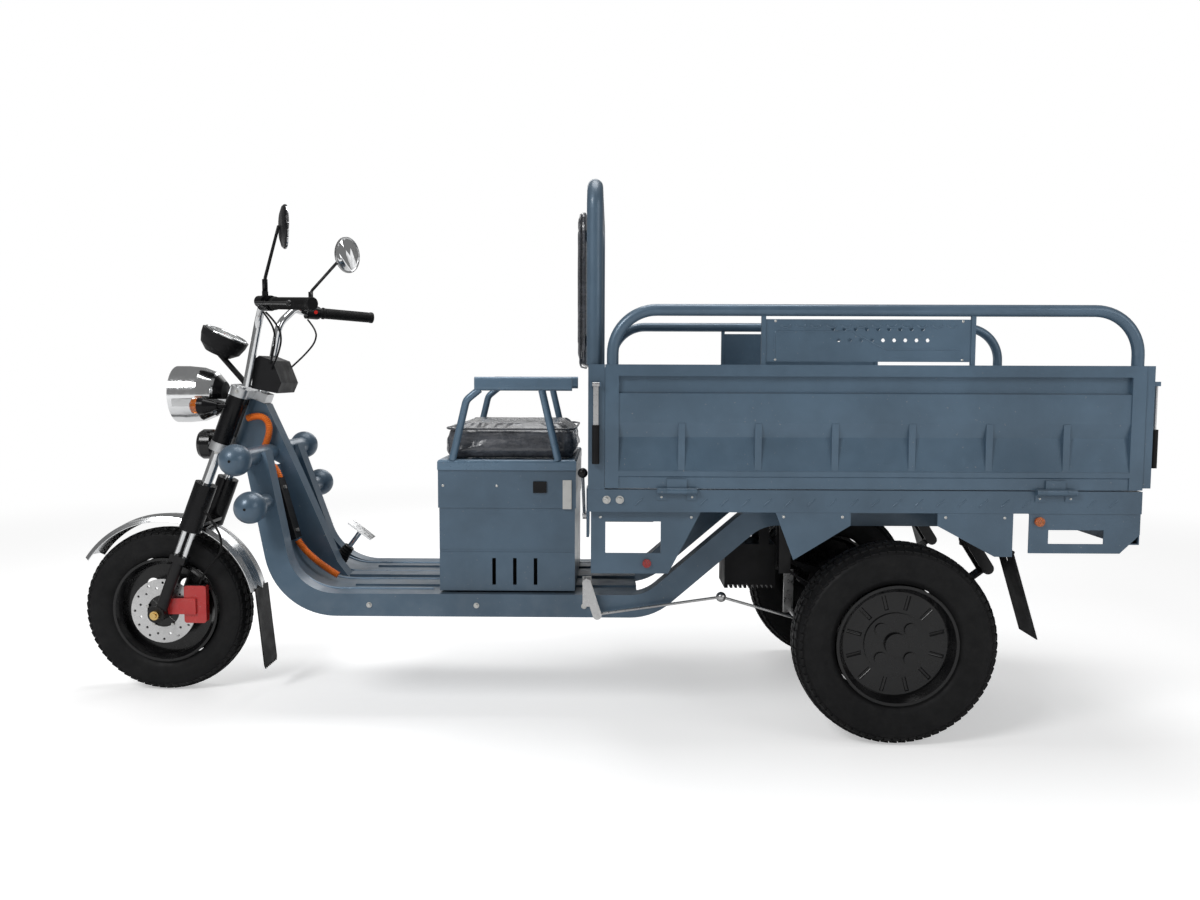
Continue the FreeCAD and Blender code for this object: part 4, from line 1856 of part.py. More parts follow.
for name, side in SIDES.items():
    inside_low, inside_high = "latch_front + latch_cheek + seat_gap", "latch_rear - latch_cheek - seat_gap"
    middle = "(latch_front + latch_rear) / 2"
    lever = fuse([
        rod("x", (inside_low, "%d * (%s)" % (side, LATCH_Y), "latch_z"), "(%s) - (%s)" % (inside_high,
                inside_low), "latch_hub"),
        side_box(side, (middle + " - 7", middle + " + 7"), (LATCH_Y + " - latch_sheet / 2",
                                                            LATCH_Y + " + latch_sheet / 2"),
                 ("grip_top - 6", "latch_z")),
        rod("z", (middle, "%d * (%s)" % (side, LATCH_Y), "grip_low"), "grip_top - grip_low", "latch_grip"),
    ])
    node("latch_front_" + name, cut(lever,
                                    [rod("x", ("latch_front", "%d * (%s)" % (side, LATCH_Y), "latch_z"),
                                                "latch_rear - latch_front", "latch_pin + running_gap")]))

# Backrest: a bent tube on the posts, two cross rails and the pad
sizes([
    ("back_tube", 22, "backrest tube"),
    ("back_x", 52, "backrest tube centre"),
    ("back_y", 452, "backrest tube from the middle"),
    ("back_top_z", 1549, "backrest tube centre at the top"),
    ("back_bend", 70, "backrest tube bends"),
    ("back_rail_low", 1110, "lower rail behind the pad"),
    ("back_rail_high", 1400, "upper rail behind the pad"),
])
frame_tube = shaped(bent_tube([
    ("back_x", "-back_y", "wall_top + paint_gap"), ("back_x", "-back_y", "back_top_z"), ("back_x", "back_y",
            "back_top_z"),
    ("back_x", "back_y", "wall_top + paint_gap"),
], "back_tube", ["back_bend", "back_bend"]), "BackTube")
back_rails = [box(("back_x - back_tube", "back_x - back_tube + 20"), ("-back_y + 4", "back_y - 4"), (z,
        z + " + 30"))
              for z in ("back_rail_low", "back_rail_high")]
node("backrest_frame", fuse([frame_tube] + back_rails))
BACK_CUSHION.Label = "back_cushion"
NODES.append(BACK_CUSHION)

# Side gates
sizes([
    ("gate_front", 82, "side gates"),
    ("gate_rear", 1538, "side gates"),
    ("gate_low", 721.5, "side gates"),
    ("gate_thick", 30, "gate frames"),
    ("gate_leg", 37, "gate end legs"),
    ("gate_rail", 31, "gate top rails"),
    ("gate_foot", 14, "gate bottom rails"),
    ("gate_sheet", 2.5, "pressed gate sheet"),
    ("press_deep", 14, "depth of the pressing"),
    ("band_one", 752, "pressing: top of the lowest band"),
    ("band_two", 771, "pressing: foot of the slope"),
    ("band_three", 861, "pressing: inner edge of the slope"),
    ("band_four", 901, "pressing: flat band's lower edge"),
    ("band_five", 980, "pressing: flat band's upper edge"),
    ("rib_half", 9, "pressed ribs"),
    ("rib_count", 6, "pressed ribs in a side gate"),
    ("arch_radius", 16, "arch tube"),
    ("arch_inset", 20, "arch legs from the gate's ends"),
    ("arch_z", 1205, "arch tube centre"),
    ("arch_y", 485, "arch tube from the middle"),
    ("arch_bend", 119, "arch bends"),
    ("sign_front", 503, "perforated plate"),
    ("sign_rear", 1079, "perforated plate"),
    ("sign_low", 1067, "perforated plate"),
    ("sign_high", 1181, "perforated plate"),
    ("sign_stile", 12, "plate's end stiles"),
    ("hex_half", 5.5, "hexagonal holes"),
    ("hex_pitch", 30, "hexagonal holes"),
    ("hex_count", 9, "hexagonal holes in a row"),
    ("hex_first", 40, "first hole from the plate's middle"),
    ("hex_row", 26, "first row below the plate's top"),
])


def pressed(outer):
    """The pressed sheet's outline: distance outwards and height."""
    face = [("%s - 3" % outer, "gate_low"), ("%s - 3" % outer, "band_one"), (outer, "band_one + 3"),
            (outer, "band_two - 3"), ("%s - 2" % outer, "band_two"), ("%s - press_deep" % outer,
                    "band_three"),
            ("%s - 3" % outer, "band_four"), ("%s - 3" % outer, "band_five"),
            ("%s - press_deep" % outer, "band_five + 4"), ("%s - press_deep" % outer, "wall_top - 2")]
    back = [("%s - gate_sheet" % out, height) for out, height in reversed(face)]
    return face + back


def sheet_along(side, points, first, last):
    """A sheet of one outline across, padded along the vehicle."""
    if side < 0:
        points = [("-(%s)" % y, z) for y, z in points]
    body, sketch = sketched("YZ_Plane", points, "Sheet")
    pad = body.newObject("PartDesign::Pad", "Pad")
    pad.Profile = sketch
    bind(pad, "Length", "(%s) - (%s)" % (last, first))
    return place(body, (first, "0", "0"))


def hexes(side):
    """Two rows of hexagonal holes through a plate."""
    holes = []
    for row in range(2):
        for i in range(int(value("hex_count"))):
            step = i - 4.5 + 0.5 * row
            x = value("(sign_front + sign_rear) / 2 + hex_first") + step * value("hex_pitch")
            z = value("sign_high - hex_row") - row * value("hex_pitch")
            corners = [V(x + value("hex_half") * math.cos(math.radians(60 * k)),
                         side * value("arch_y") - 20,
                         z + value("hex_half") * math.sin(math.radians(60 * k))) for k in range(7)]
            holes.append(Part.Face(Part.makePolygon(corners)).extrude(V(0, 40, 0)))
    return shaped(Part.makeCompound(holes), "Holes")


for name, side in SIDES.items():
    inner, outer = "bed_half - gate_thick", "bed_half"
    parts = [sheet_along(side, pressed("bed_half"), "gate_front + gate_leg - 1",
                         "gate_rear - gate_leg + 1")]
    y = (inner, outer) if side > 0 else ("-(%s)" % outer, "-(%s)" % inner)
    for first, last in (("gate_front", "gate_front + gate_leg"), ("gate_rear - gate_leg", "gate_rear")):
        parts.append(hollow_box((first, last), y, ("gate_low", "wall_top"), 2))
    parts.append(hollow_box(("gate_front + gate_leg - 1", "gate_rear - gate_leg + 1"), y,
                            ("wall_top - gate_rail", "wall_top"), 0))
    parts.append(side_box(side, ("gate_front + gate_leg - 1", "gate_rear - gate_leg + 1"),
                          (inner + " + 6", "bed_half - 3"), ("gate_low", "gate_low + gate_foot")))
    for i in range(int(value("rib_count"))):
        centre = "gate_front + (gate_rear - gate_front) * %d / (rib_count + 1)" % (i + 1)
        parts.append(side_box(side, (centre + " - rib_half", centre + " + rib_half"),
                              ("bed_half - press_deep - 1", "bed_half - 2"), ("band_two + 1",
                                      "band_four - 2")))
    for centre in ("gate_hinge_first", "gate_hinge_second"):
        parts.append(barrel(side, centre, "-middle_half + seat_gap", "middle_half - seat_gap",
                            "barrel_radius"))
        parts.append(side_box(side, (centre + " - middle_half + seat_gap",
                                     centre + " + middle_half - seat_gap"),
                              ("bed_half - 4", GATE_AXIS_Y), ("gate_low", "gate_low + leaf_sheet")))
        parts.append(side_box(side, (centre + " - middle_half + seat_gap",
                                     centre + " + middle_half - seat_gap"),
                              ("bed_half - 4", "bed_half + leaf_sheet"), ("gate_low",
                                      "gate_low + leaf_high")))
    parts.append(shaped(bent_tube(mirrored_points([
        ("gate_front + arch_inset", "arch_y", "wall_top - 1"), ("gate_front + arch_inset", "arch_y",
                "arch_z"),
        ("gate_rear - arch_inset", "arch_y", "arch_z"), ("gate_rear - arch_inset", "arch_y",
                                                         "wall_top - 1"),
    ], side), "arch_radius", ["arch_bend", "arch_bend"]), "Arch"))
    parts.append(cut(side_box(side, ("sign_front", "sign_rear"), ("arch_y", "arch_y + bed_wall"),
                              ("sign_low", "sign_high")),
                     [hexes(side)]))
    for first, last in (("sign_front", "sign_front + sign_stile"), ("sign_rear - sign_stile", "sign_rear")):
        parts.append(side_box(side, (first, last), ("arch_y - 4", "arch_y + 6"), ("wall_top - 1",
                "arch_z - arch_radius + 4")))
    bores = [barrel(side, centre, "-barrel_half", "barrel_half", "gate_pin + running_gap")
             for centre in ("gate_hinge_first", "gate_hinge_second")]
    node("side_gate_" + name, cut(fuse(parts), bores))

# Tailgate with the rear latches
sizes([
    ("tail_thick", 21, "tailgate"),
    ("tail_low", 727, "tailgate"),
    ("tail_half", 496, "tailgate half width"),
    ("tail_latch_y", 478, "rear latches from the middle"),
    ("tail_latch_out", 13, "rear latch pins behind the tailgate"),
    ("tail_latch_z", 1010, "rear latch pins"),
    ("tail_latch_half", 12, "rear latch half width"),
    ("tail_cheek", 4, "rear latch cheeks"),
    ("tail_grip_top", 886, "rear latch grips"),
    ("tail_grip_low", 781, "rear latch grips"),
    ("bridge_low", 26, "tailgate hinge leaf"),
])
TAIL_FRONT = "bed_rear + 1.5"
TAIL_REAR = TAIL_FRONT + " + tail_thick"
TAIL_LATCH_X = TAIL_REAR + " + tail_latch_out"
face = [(out, "tail_low" if height == "gate_low" else height) for out, height in pressed(TAIL_REAR)]
tail = [plate(face, "-tail_half + gate_leg - 1", "tail_half - gate_leg + 1")]
for y in (("-tail_half", "-tail_half + gate_leg"), ("tail_half - gate_leg", "tail_half")):
    tail.append(hollow_box((TAIL_FRONT, TAIL_REAR), y, ("tail_low", "wall_top"), 2))
tail.append(hollow_box((TAIL_FRONT, TAIL_REAR), ("-tail_half + gate_leg - 1", "tail_half - gate_leg + 1"),
                       ("wall_top - gate_rail", "wall_top"), 1))
tail.append(box((TAIL_FRONT + " + 2", TAIL_REAR + " - 3"), ("-tail_half + gate_leg - 1",
                                                            "tail_half - gate_leg + 1"),
                ("tail_low", "tail_low + gate_foot")))
for i in range(4):
    centre = "-tail_half + 2 * tail_half * %d / 5" % (i + 1)
    tail.append(box((TAIL_REAR + " - press_deep - 1", TAIL_REAR + " - 2"), (centre + " - rib_half",
            centre + " + rib_half"),
                    ("band_two + 1", "band_four - 2")))
tail_bores = []
for side in SIDES.values():
    y = "%d * tail_hinge_y" % side
    tail.append(rod("y", (TAIL_AXIS_X, "%s - middle_half + seat_gap" % y, GATE_AXIS_Z),
                    "2 * (middle_half - seat_gap)",
                    "barrel_radius"))
    tail.append(box((TAIL_AXIS_X, TAIL_AXIS_X + " + barrel_radius"),
                    ("%s - middle_half + seat_gap" % y, "%s + middle_half - seat_gap" % y), (GATE_AXIS_Z,
                            "tail_low + bridge_low")))
    tail_bores.append(rod("y", (TAIL_AXIS_X, "%s - barrel_half" % y, GATE_AXIS_Z), "2 * barrel_half",
                          "gate_pin + running_gap"))
    for first, last in (("tail_latch_y - tail_latch_half", "tail_latch_y - tail_latch_half + tail_cheek"),
                        ("tail_latch_y + tail_latch_half - tail_cheek", "tail_latch_y + tail_latch_half")):
        tail.append(side_box(side, (TAIL_REAR + " - 1", TAIL_LATCH_X + " + latch_hub"), (first, last),
                             ("tail_latch_z - latch_hub", "tail_latch_z + latch_hub")))
    tail.append(side_rod(side, (TAIL_LATCH_X, "tail_latch_y - tail_latch_half", "tail_latch_z"),
                         "2 * tail_latch_half", "latch_pin"))
node("tailgate", cut(fuse(tail), tail_bores))
for name, side in SIDES.items():
    first = "tail_latch_y - tail_latch_half + tail_cheek + seat_gap"
    last = "tail_latch_y + tail_latch_half - tail_cheek - seat_gap"
    lever = fuse([
        side_rod(side, (TAIL_LATCH_X, first, "tail_latch_z"), "(%s) - (%s)" % (last, first), "latch_hub"),
        side_box(side, (TAIL_LATCH_X + " - latch_sheet / 2", TAIL_LATCH_X + " + latch_sheet / 2"),
                 ("tail_latch_y - 6", "tail_latch_y + 6"), ("tail_grip_top - 6", "tail_latch_z")),
        rod("z", (TAIL_LATCH_X, "%d * tail_latch_y" % side, "tail_grip_low"),
            "tail_grip_top - tail_grip_low", "latch_grip"),
    ])
    node("latch_rear_" + name, cut(lever,
                                   [side_rod(side, (TAIL_LATCH_X, "tail_latch_y - 20", "tail_latch_z"),
                                             "40",
                                                    "latch_pin + running_gap")]))

# Guards under the bed
sizes([
    ("guard_y", 478, "side guards from the middle"),
    ("guard_sheet", 3, "guard sheets"),
    ("guard_front", 44, "side guards"),
    ("guard_rear_high", 347, "side guards, upper rear corner"),
    ("guard_rear_low", 257, "side guards, lower rear corner"),
    ("guard_low", 483, "side guards"),
    ("window_front", 84, "side guard window"),
    ("window_rear", 236, "side guard window"),
    ("window_low", 540, "side guard window"),
    ("window_high", 628, "side guard window"),
    ("arch_guard_y", 496, "wheel guards from the middle"),
    ("arch_front_one", 548, "front wheel guard, top front"),
    ("arch_front_two", 598, "front wheel guard, foot"),
    ("arch_front_three", 752, "front wheel guard, top rear"),
    ("arch_front_low", 526, "front wheel guard, foot"),
    ("arch_step", 622, "wheel guards beside the arch"),
    ("arch_rear_one", 988, "rear wheel guard, top front"),
    ("arch_rear_two", 1145, "rear wheel guard, foot"),
    ("arch_rear_three", 1193, "rear wheel guard, top rear"),
    ("arch_rear_low", 538, "rear wheel guard, foot"),
    ("flap_hinge_x", 1200, "rear mudflap hinge"),
    ("flap_hinge_z", 548, "rear mudflap hinge"),
    ("flap_inner", 372, "rear mudflaps from the middle"),
    ("flap_outer", 488, "rear mudflaps from the middle"),
    ("flap_foot_x", 1274, "rear mudflap foot"),
    ("flap_foot_z", 306, "rear mudflap foot"),
    ("flap_rod", 5, "rear mudflap rod"),
    ("flap_ear", 12, "rear mudflap hanger"),
])
GUARD_TOP = "bed_low - seat_gap"
guards = []
for side in SIDES.values():
    guard = side_plate(side, [("guard_front", "guard_low"), ("guard_rear_low", "guard_low"),
                              ("guard_rear_high", GUARD_TOP), ("guard_front", GUARD_TOP)], "guard_y",
                              "guard_y + guard_sheet")
    guards.append(cut(guard,
                      [side_box(side, ("window_front", "window_rear"), ("guard_y - 5", "guard_y + 10"),
                                       ("window_low", "window_high"))]))
    guards.append(side_rod(side, ("198", "guard_y + guard_sheet + seat_gap", "512"), "7", "12"))
    guards.append(side_plate(side, [
        ("arch_front_one", GUARD_TOP), ("arch_front_two", "arch_front_low"), ("arch_front_three",
                "arch_step"),
        ("arch_front_three", GUARD_TOP)], "arch_guard_y", "arch_guard_y + guard_sheet"))
    guards.append(side_plate(side, [
        ("arch_rear_one", GUARD_TOP), ("arch_rear_one", "arch_step"), ("arch_rear_two", "arch_rear_low"),
        ("arch_rear_three", "arch_rear_low"), ("arch_rear_three", GUARD_TOP)], "arch_guard_y",
        "arch_guard_y + guard_sheet"))
    guards.append(cut(side_box(side, ("flap_hinge_x - flap_ear", "flap_hinge_x + flap_ear"),
                               ("flap_inner + 50", "flap_inner + 50 + flap_ear"),
                               ("flap_hinge_z - flap_ear", GUARD_TOP)),
                      [side_rod(side, ("flap_hinge_x", "flap_inner", "flap_hinge_z"),
                                "flap_outer - flap_inner",
                                "flap_rod + running_gap")]))
node("bed_guards", *guards)
flaps = []
for side in SIDES.values():
    sheet_part = side_plate(side, [
        ("flap_hinge_x - flap_thick / 2", "flap_hinge_z"), ("flap_foot_x - flap_thick / 2", "flap_foot_z"),
        ("flap_foot_x + flap_thick / 2", "flap_foot_z"), ("flap_hinge_x + flap_thick / 2", "flap_hinge_z"),
    ], "flap_inner", "flap_outer")
    clear = side_box(side, ("flap_hinge_x - flap_ear - 3", "flap_hinge_x + flap_ear + 20"),
                     ("flap_inner + 50 - 1", "flap_inner + 51 + flap_ear"), ("flap_hinge_z - flap_ear - 22",
                             "flap_hinge_z + 10"))
    flaps.append(fuse([cut(sheet_part, [clear]),
                       side_rod(side, ("flap_hinge_x", "flap_inner", "flap_hinge_z"),
                                "flap_outer - flap_inner", "flap_rod")]))
node("rear_mudflaps", *flaps)

# Rear bumper with its side panels and reflectors
sizes([
    ("panel_y", 494, "bumper side panels from the middle"),
    ("panel_front", 1237, "bumper side panels"),
    ("panel_rear", 1538, "bumper side panels"),
    ("panel_low", 548, "bumper side panels"),
    ("panel_rear_low", 600, "bumper side panels at the rear"),
    ("panel_corner", 1485, "bumper side panels, lower corner"),
    ("panel_window_front", 1290, "window in a side panel"),
    ("panel_window_rear", 1440, "window in a side panel"),
    ("panel_window_low", 574, "window in a side panel"),
    ("panel_window_high", 612, "window in a side panel"),
    ("bar_front", 1490, "bumper bar"),
    ("bar_low", 572, "bumper bar"),
    ("bar_high", 622, "bumper bar"),
    ("reflector_x", 1264, "side reflector"),
    ("reflector_z", 635, "side reflector"),
    ("reflector_radius", 13, "side reflector"),
    ("reflector_deep", 8, "side reflector"),
])
bumper = [hollow_box(("bar_front", "panel_rear"), ("-panel_y - 1", "panel_y + 1"), ("bar_low", "bar_high"),
                     1)]
lights = []
for side in SIDES.values():
    panel = side_plate(side, [
        ("panel_front", GUARD_TOP), ("panel_front", "panel_low"), ("panel_corner", "panel_low"),
        ("panel_rear", "panel_rear_low"), ("panel_rear", GUARD_TOP)], "panel_y", "panel_y + guard_sheet")
    bumper.append(cut(panel,
                      [side_box(side, ("panel_window_front", "panel_window_rear"), ("panel_y - 5",
                              "panel_y + 10"),
                                       ("panel_window_low", "panel_window_high"))]))
    bumper.append(side_box(side, ("bar_front", "bar_front + ear_thick"), ("panel_y - 80", "panel_y - 40"),
                           ("bar_high - 1", GUARD_TOP)))
    lights.append(side_rod(side, ("reflector_x", "panel_y + guard_sheet + seat_gap", "reflector_z"),
                           "reflector_deep",
                           "reflector_radius"))
node("rear_bumper", fuse(bumper), *lights)


def finish():
    """Check every object, then write each sub-part to its own file."""
    doc.recompute()
    for thing in doc.Objects:
        if "Invalid" in thing.State or "Error" in thing.State:
            raise RuntimeError("%s failed: %s" % (thing.Label, thing.State))
    os.makedirs("parts", exist_ok=True)
    for whole in NODES:
        shape = whole.Shape
        if shape.isNull() or not shape.isValid() or not shape.Solids:
            raise RuntimeError("%s has no valid shape" % whole.Label)
        shape.exportStep("parts/%s.step" % whole.Label)
        low, high = shape.BoundBox.XMin, shape.BoundBox.XMax
        print("%-22s %2d solids  %12.0f mm3  x %.0f to %.0f" % (whole.Label, len(shape.Solids),
                shape.Volume, low, high))


finish()
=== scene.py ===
import math

import bpy
from bpy.props import FloatProperty, FloatVectorProperty, IntProperty, PointerProperty
from mathutils import Matrix, Vector, noise


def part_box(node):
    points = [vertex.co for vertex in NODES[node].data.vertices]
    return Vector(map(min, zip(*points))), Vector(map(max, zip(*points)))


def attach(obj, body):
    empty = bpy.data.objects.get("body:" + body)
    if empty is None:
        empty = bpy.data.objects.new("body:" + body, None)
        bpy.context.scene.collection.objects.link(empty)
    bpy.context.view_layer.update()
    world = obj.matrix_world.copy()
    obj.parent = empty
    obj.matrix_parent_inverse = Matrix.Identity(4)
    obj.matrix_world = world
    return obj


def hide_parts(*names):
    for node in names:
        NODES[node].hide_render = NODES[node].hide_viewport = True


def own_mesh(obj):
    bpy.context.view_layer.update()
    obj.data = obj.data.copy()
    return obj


bl_info = {
    "name": "Cargo Tricycle Looks",
    "version": (1, 0, 0),
    "blender": (4, 2, 0),
    "location": "View3D > Sidebar > Tricycle",
    "description": "Builds the finishes, soft parts and small pieces of a cargo tricycle on its frame",
    "category": "Object",
}

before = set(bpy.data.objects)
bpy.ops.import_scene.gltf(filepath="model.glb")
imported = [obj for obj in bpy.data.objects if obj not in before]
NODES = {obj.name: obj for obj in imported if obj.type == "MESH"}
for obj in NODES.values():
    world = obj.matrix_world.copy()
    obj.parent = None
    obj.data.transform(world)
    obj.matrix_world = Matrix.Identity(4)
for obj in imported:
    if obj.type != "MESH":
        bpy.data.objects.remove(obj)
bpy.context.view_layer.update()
LEFT, RIGHT = -1, 1


# Sizes and colours a user would change

def colour(name, description, default):
    return FloatVectorProperty(name=name, description=description, subtype="COLOR", size=3,
                               min=0.0, max=1.0, default=default)


class TricycleColours(bpy.types.PropertyGroup):
    """Colours of the tricycle's finishes."""
    paint: colour("Body paint", "Satin slate blue of the frame and bed", (0.072, 0.120, 0.172))
    cover: colour("Seat cover", "Wrinkled dark grey covers", (0.056, 0.060, 0.070))
    hose: colour("Hose", "Orange ribbed hose", (0.75, 0.17, 0.02))
    caliper: colour("Caliper", "Red paint of the front caliper", (0.55, 0.02, 0.02))
    amber: colour("Amber", "Turn signals and side reflectors", (0.9, 0.22, 0.01))
    dust: colour("Road dust", "Dust that settles on upper faces", (0.32, 0.29, 0.25))


class TricycleSizes(bpy.types.PropertyGroup):
    """Sizes of the pieces that are made here."""
    tread_deep: FloatProperty(name="Tread depth", description="Depth of the tyres' grooves", unit="LENGTH",
                              min=0.001, max=0.012, default=0.0035)
    tread_blocks: IntProperty(name="Tread blocks", description="Blocks round a rear tyre", min=24, max=96, default=72)
    wrinkle: FloatProperty(name="Wrinkles", description="Height of the wrinkles in the covers", unit="LENGTH",
                           min=0.0, max=0.008, default=0.0028)
    bolt: FloatProperty(name="Bolt heads", description="Radius of the bed's bolt heads", unit="LENGTH",
                        min=0.003, max=0.012, default=0.008)


def colours():
    return bpy.context.scene.tricycle_colours


def sizes():
    return bpy.context.scene.tricycle_sizes


# Materials

class Nodes:
    """A material's node tree with short ways to add and link nodes."""

    def __init__(self, name):
        self.material = bpy.data.materials.new(name)
        self.material.use_nodes = True
        self.tree = self.material.node_tree
        self.shader = self.tree.nodes["Principled BSDF"]
        self.place = self.add("ShaderNodeTexCoord").outputs["Object"]

    def add(self, kind, **settings):
        made = self.tree.nodes.new(kind)
        for key, setting in settings.items():
            setattr(made, key, setting)
        return made

    def put(self, socket, entry):
        if isinstance(entry, bpy.types.NodeSocket):
            self.tree.links.new(entry, socket)
        elif isinstance(entry, (tuple, list)) and len(entry) == 3 and len(socket.default_value) == 4:
            socket.default_value = (*entry, 1.0)
        else:
            socket.default_value = entry

    def noise(self, scale, detail=3.0, rough=0.5, where=None, stretch=None):
        made = self.add("ShaderNodeTexNoise")
        made.inputs["Scale"].default_value = scale
        made.inputs["Detail"].default_value = detail
        made.inputs["Roughness"].default_value = rough
        where = where or self.place
        if stretch:
            mapping = self.add("ShaderNodeMapping")
            mapping.inputs["Scale"].default_value = stretch
            self.put(mapping.inputs["Vector"], where)
            where = mapping.outputs["Vector"]
        self.put(made.inputs["Vector"], where)
        return made.outputs["Fac"]

    def ramp(self, factor, low, high, out_low=0.0, out_high=1.0):
        made = self.add("ShaderNodeMapRange", interpolation_type="SMOOTHSTEP")
        self.put(made.inputs["Value"], factor)
        for key, number in (("From Min", low), ("From Max", high), ("To Min", out_low), ("To Max", out_high)):
            made.inputs[key].default_value = number
        return made.outputs["Result"]

    def math(self, operation, first, second=0.0):
        made = self.add("ShaderNodeMath", operation=operation)
        self.put(made.inputs[0], first)
        self.put(made.inputs[1], second)
        return made.outputs[0]

    def mix(self, factor, first, second):
        made = self.add("ShaderNodeMix", data_type="RGBA")
        self.put(made.inputs["Factor"], factor)
        self.put(made.inputs[6], first)
        self.put(made.inputs[7], second)
        return made.outputs[2]

    def bump(self, height, distance, strength=1.0, below=None):
        made = self.add("ShaderNodeBump")
        made.inputs["Distance"].default_value = distance
        made.inputs["Strength"].default_value = strength
        self.put(made.inputs["Height"], height)
        if below is not None:
            self.put(made.inputs["Normal"], below)
        return made.outputs["Normal"]

    def upward(self):
        """How far a face looks up, from 0 to 1."""
        normal = self.add("ShaderNodeNewGeometry").outputs["Normal"]
        parts = self.add("ShaderNodeSeparateXYZ")
        self.put(parts.inputs[0], normal)
        return self.ramp(parts.outputs["Z"], 0.25, 0.95)

    def height(self):
        parts = self.add("ShaderNodeSeparateXYZ")
        self.put(parts.inputs[0], self.place)
        return parts.outputs["Z"]

    def finish(self, base, rough, normal=None, **constants):
        self.put(self.shader.inputs["Base Color"], base)
        self.put(self.shader.inputs["Roughness"], rough)
        if normal is not None:
            self.put(self.shader.inputs["Normal"], normal)
        for key, number in constants.items():
            self.shader.inputs[key.replace("_", " ")].default_value = number
        return self.material


def shade(tone, factor):
    return tuple(min(1.0, part * factor) for part in tone)


def painted(name, tone, rough=0.36, peel=0.0005, dust=0.16, chips=0.35, metallic=0.25, coat=0.25,
            specular=0.5):
    """Sprayed satin paint: orange peel, soft tone changes, small chips and road dust."""
    n = Nodes(name)
    cloud = n.noise(3.5, 4.0, 0.6)
    base = n.mix(n.ramp(cloud, 0.3, 0.7), shade(tone, 0.86), shade(tone, 1.16))
    rubbed = n.ramp(n.noise(26.0, 6.0, 0.7, stretch=(1.0, 1.0, 0.35)), 0.6, 0.78, 0.0, 0.2)
    base = n.mix(rubbed, base, shade(tone, 1.5))
    chip = n.math("MULTIPLY", n.ramp(n.noise(150.0, 2.0, 0.4), 0.735, 0.76), chips)
    base = n.mix(chip, base, (0.3, 0.29, 0.28))
    film = n.math("MULTIPLY", n.upward(), n.ramp(n.noise(9.0, 5.0, 0.65), 0.35, 0.75, dust * 0.3, dust))
    low = n.math("MULTIPLY", n.ramp(n.height(), 0.55, 0.2), n.ramp(n.noise(14.0, 5.0, 0.7), 0.4, 0.7, 0.0, dust * 0.6))
    film = n.math("MAXIMUM", film, low)
    base = n.mix(film, base, tuple(colours().dust))
    gloss = n.ramp(n.noise(11.0, 5.0, 0.6), 0.3, 0.7, rough - 0.06, rough + 0.12)
    gloss = n.math("ADD", gloss, n.math("MULTIPLY", film, 0.35))
    skin = n.bump(n.noise(420.0, 2.0, 0.5), peel, 0.5)
    skin = n.bump(chip, 0.0004, 0.6, skin)
    return n.finish(base, gloss, skin, Metallic=metallic, Coat_Weight=coat, Coat_Roughness=0.12,
                    Specular_IOR_Level=specular)


def metal(name, tone, rough=0.25, brush=(1.0, 1.0, 1.0), brush_scale=120.0, depth=0.0002, stain=0.3, dark=0.55):
    """Bare or plated metal with fine brushing, stains and small marks."""
    n = Nodes(name)
    lines = n.noise(brush_scale, 4.0, 0.7, stretch=brush)
    spots = n.ramp(n.noise(38.0, 6.0, 0.7), 0.56, 0.74, 0.0, stain)
    base = n.mix(n.ramp(n.noise(5.0, 3.0, 0.5), 0.3, 0.7), shade(tone, 0.9), tone)
    base = n.mix(spots, base, shade(tone, dark))
    gloss = n.math("ADD", n.ramp(lines, 0.3, 0.7, rough - 0.05, rough + 0.09), n.math("MULTIPLY", spots, 0.45))
    return n.finish(base, gloss, n.bump(lines, depth, 0.35), Metallic=1.0)


def moulded(name, tone, rough=0.5, grain=650.0, depth=0.00025, scuffs=0.12, dust=0.015, specular=0.22):
    """Moulded plastic or rubber: fine grain, scuffs and dust."""
    n = Nodes(name)
    base = n.mix(n.ramp(n.noise(7.0, 4.0, 0.6), 0.35, 0.7), shade(tone, 0.75), shade(tone, 1.25))
    scuff = n.ramp(n.noise(34.0, 7.0, 0.75, stretch=(0.5, 1.0, 1.6)), 0.57, 0.72, 0.0, scuffs)
    base = n.mix(scuff, base, shade(tone, 2.6))
    film = n.math("MULTIPLY", n.upward(), n.ramp(n.noise(10.0, 5.0, 0.65), 0.35, 0.75, dust * 0.2, dust))
    base = n.mix(film, base, tuple(colours().dust))
    gloss = n.math("ADD", n.ramp(n.noise(16.0, 4.0, 0.6), 0.3, 0.7, rough - 0.08, rough + 0.1),
                   n.math("MULTIPLY", film, 0.3))
    return n.finish(base, gloss, n.bump(n.noise(grain, 2.0, 0.6), depth, 0.7), Specular_IOR_Level=specular)


def creased_cover(name, tone):
    """A thin wrapped cover: long creases, fine crinkles and a soft sheen, with painted shade in the creases' hollows
    and painted highlight on their crests.
    """
    n = Nodes(name)
    folds = n.noise(13.0, 5.0, 0.62, stretch=(0.7, 1.0, 2.2))
    crinkle = n.noise(60.0, 5.0, 0.6, stretch=(1.0, 1.0, 1.8))
    weave = n.noise(900.0, 2.0, 0.5)
    # painted shade and painted highlight: the colour follows the fold height, darker in the hollows and lighter on the
    # crests
    base = n.mix(n.ramp(folds, 0.3, 0.7), shade(tone, 0.7), shade(tone, 1.5))
    base = n.mix(n.math("MULTIPLY", n.upward(), n.ramp(crinkle, 0.4, 0.7, 0.0, 0.08)), base, tuple(colours().dust))
    gloss = n.ramp(crinkle, 0.35, 0.65, 0.18, 0.4)
    skin = n.bump(folds, 0.006, 0.55)
    skin = n.bump(crinkle, 0.0016, 0.6, skin)
    skin = n.bump(weave, 0.0002, 0.5, skin)
    return n.finish(base, gloss, skin, Sheen_Weight=0.05, Coat_Weight=0.5, Coat_Roughness=0.16)


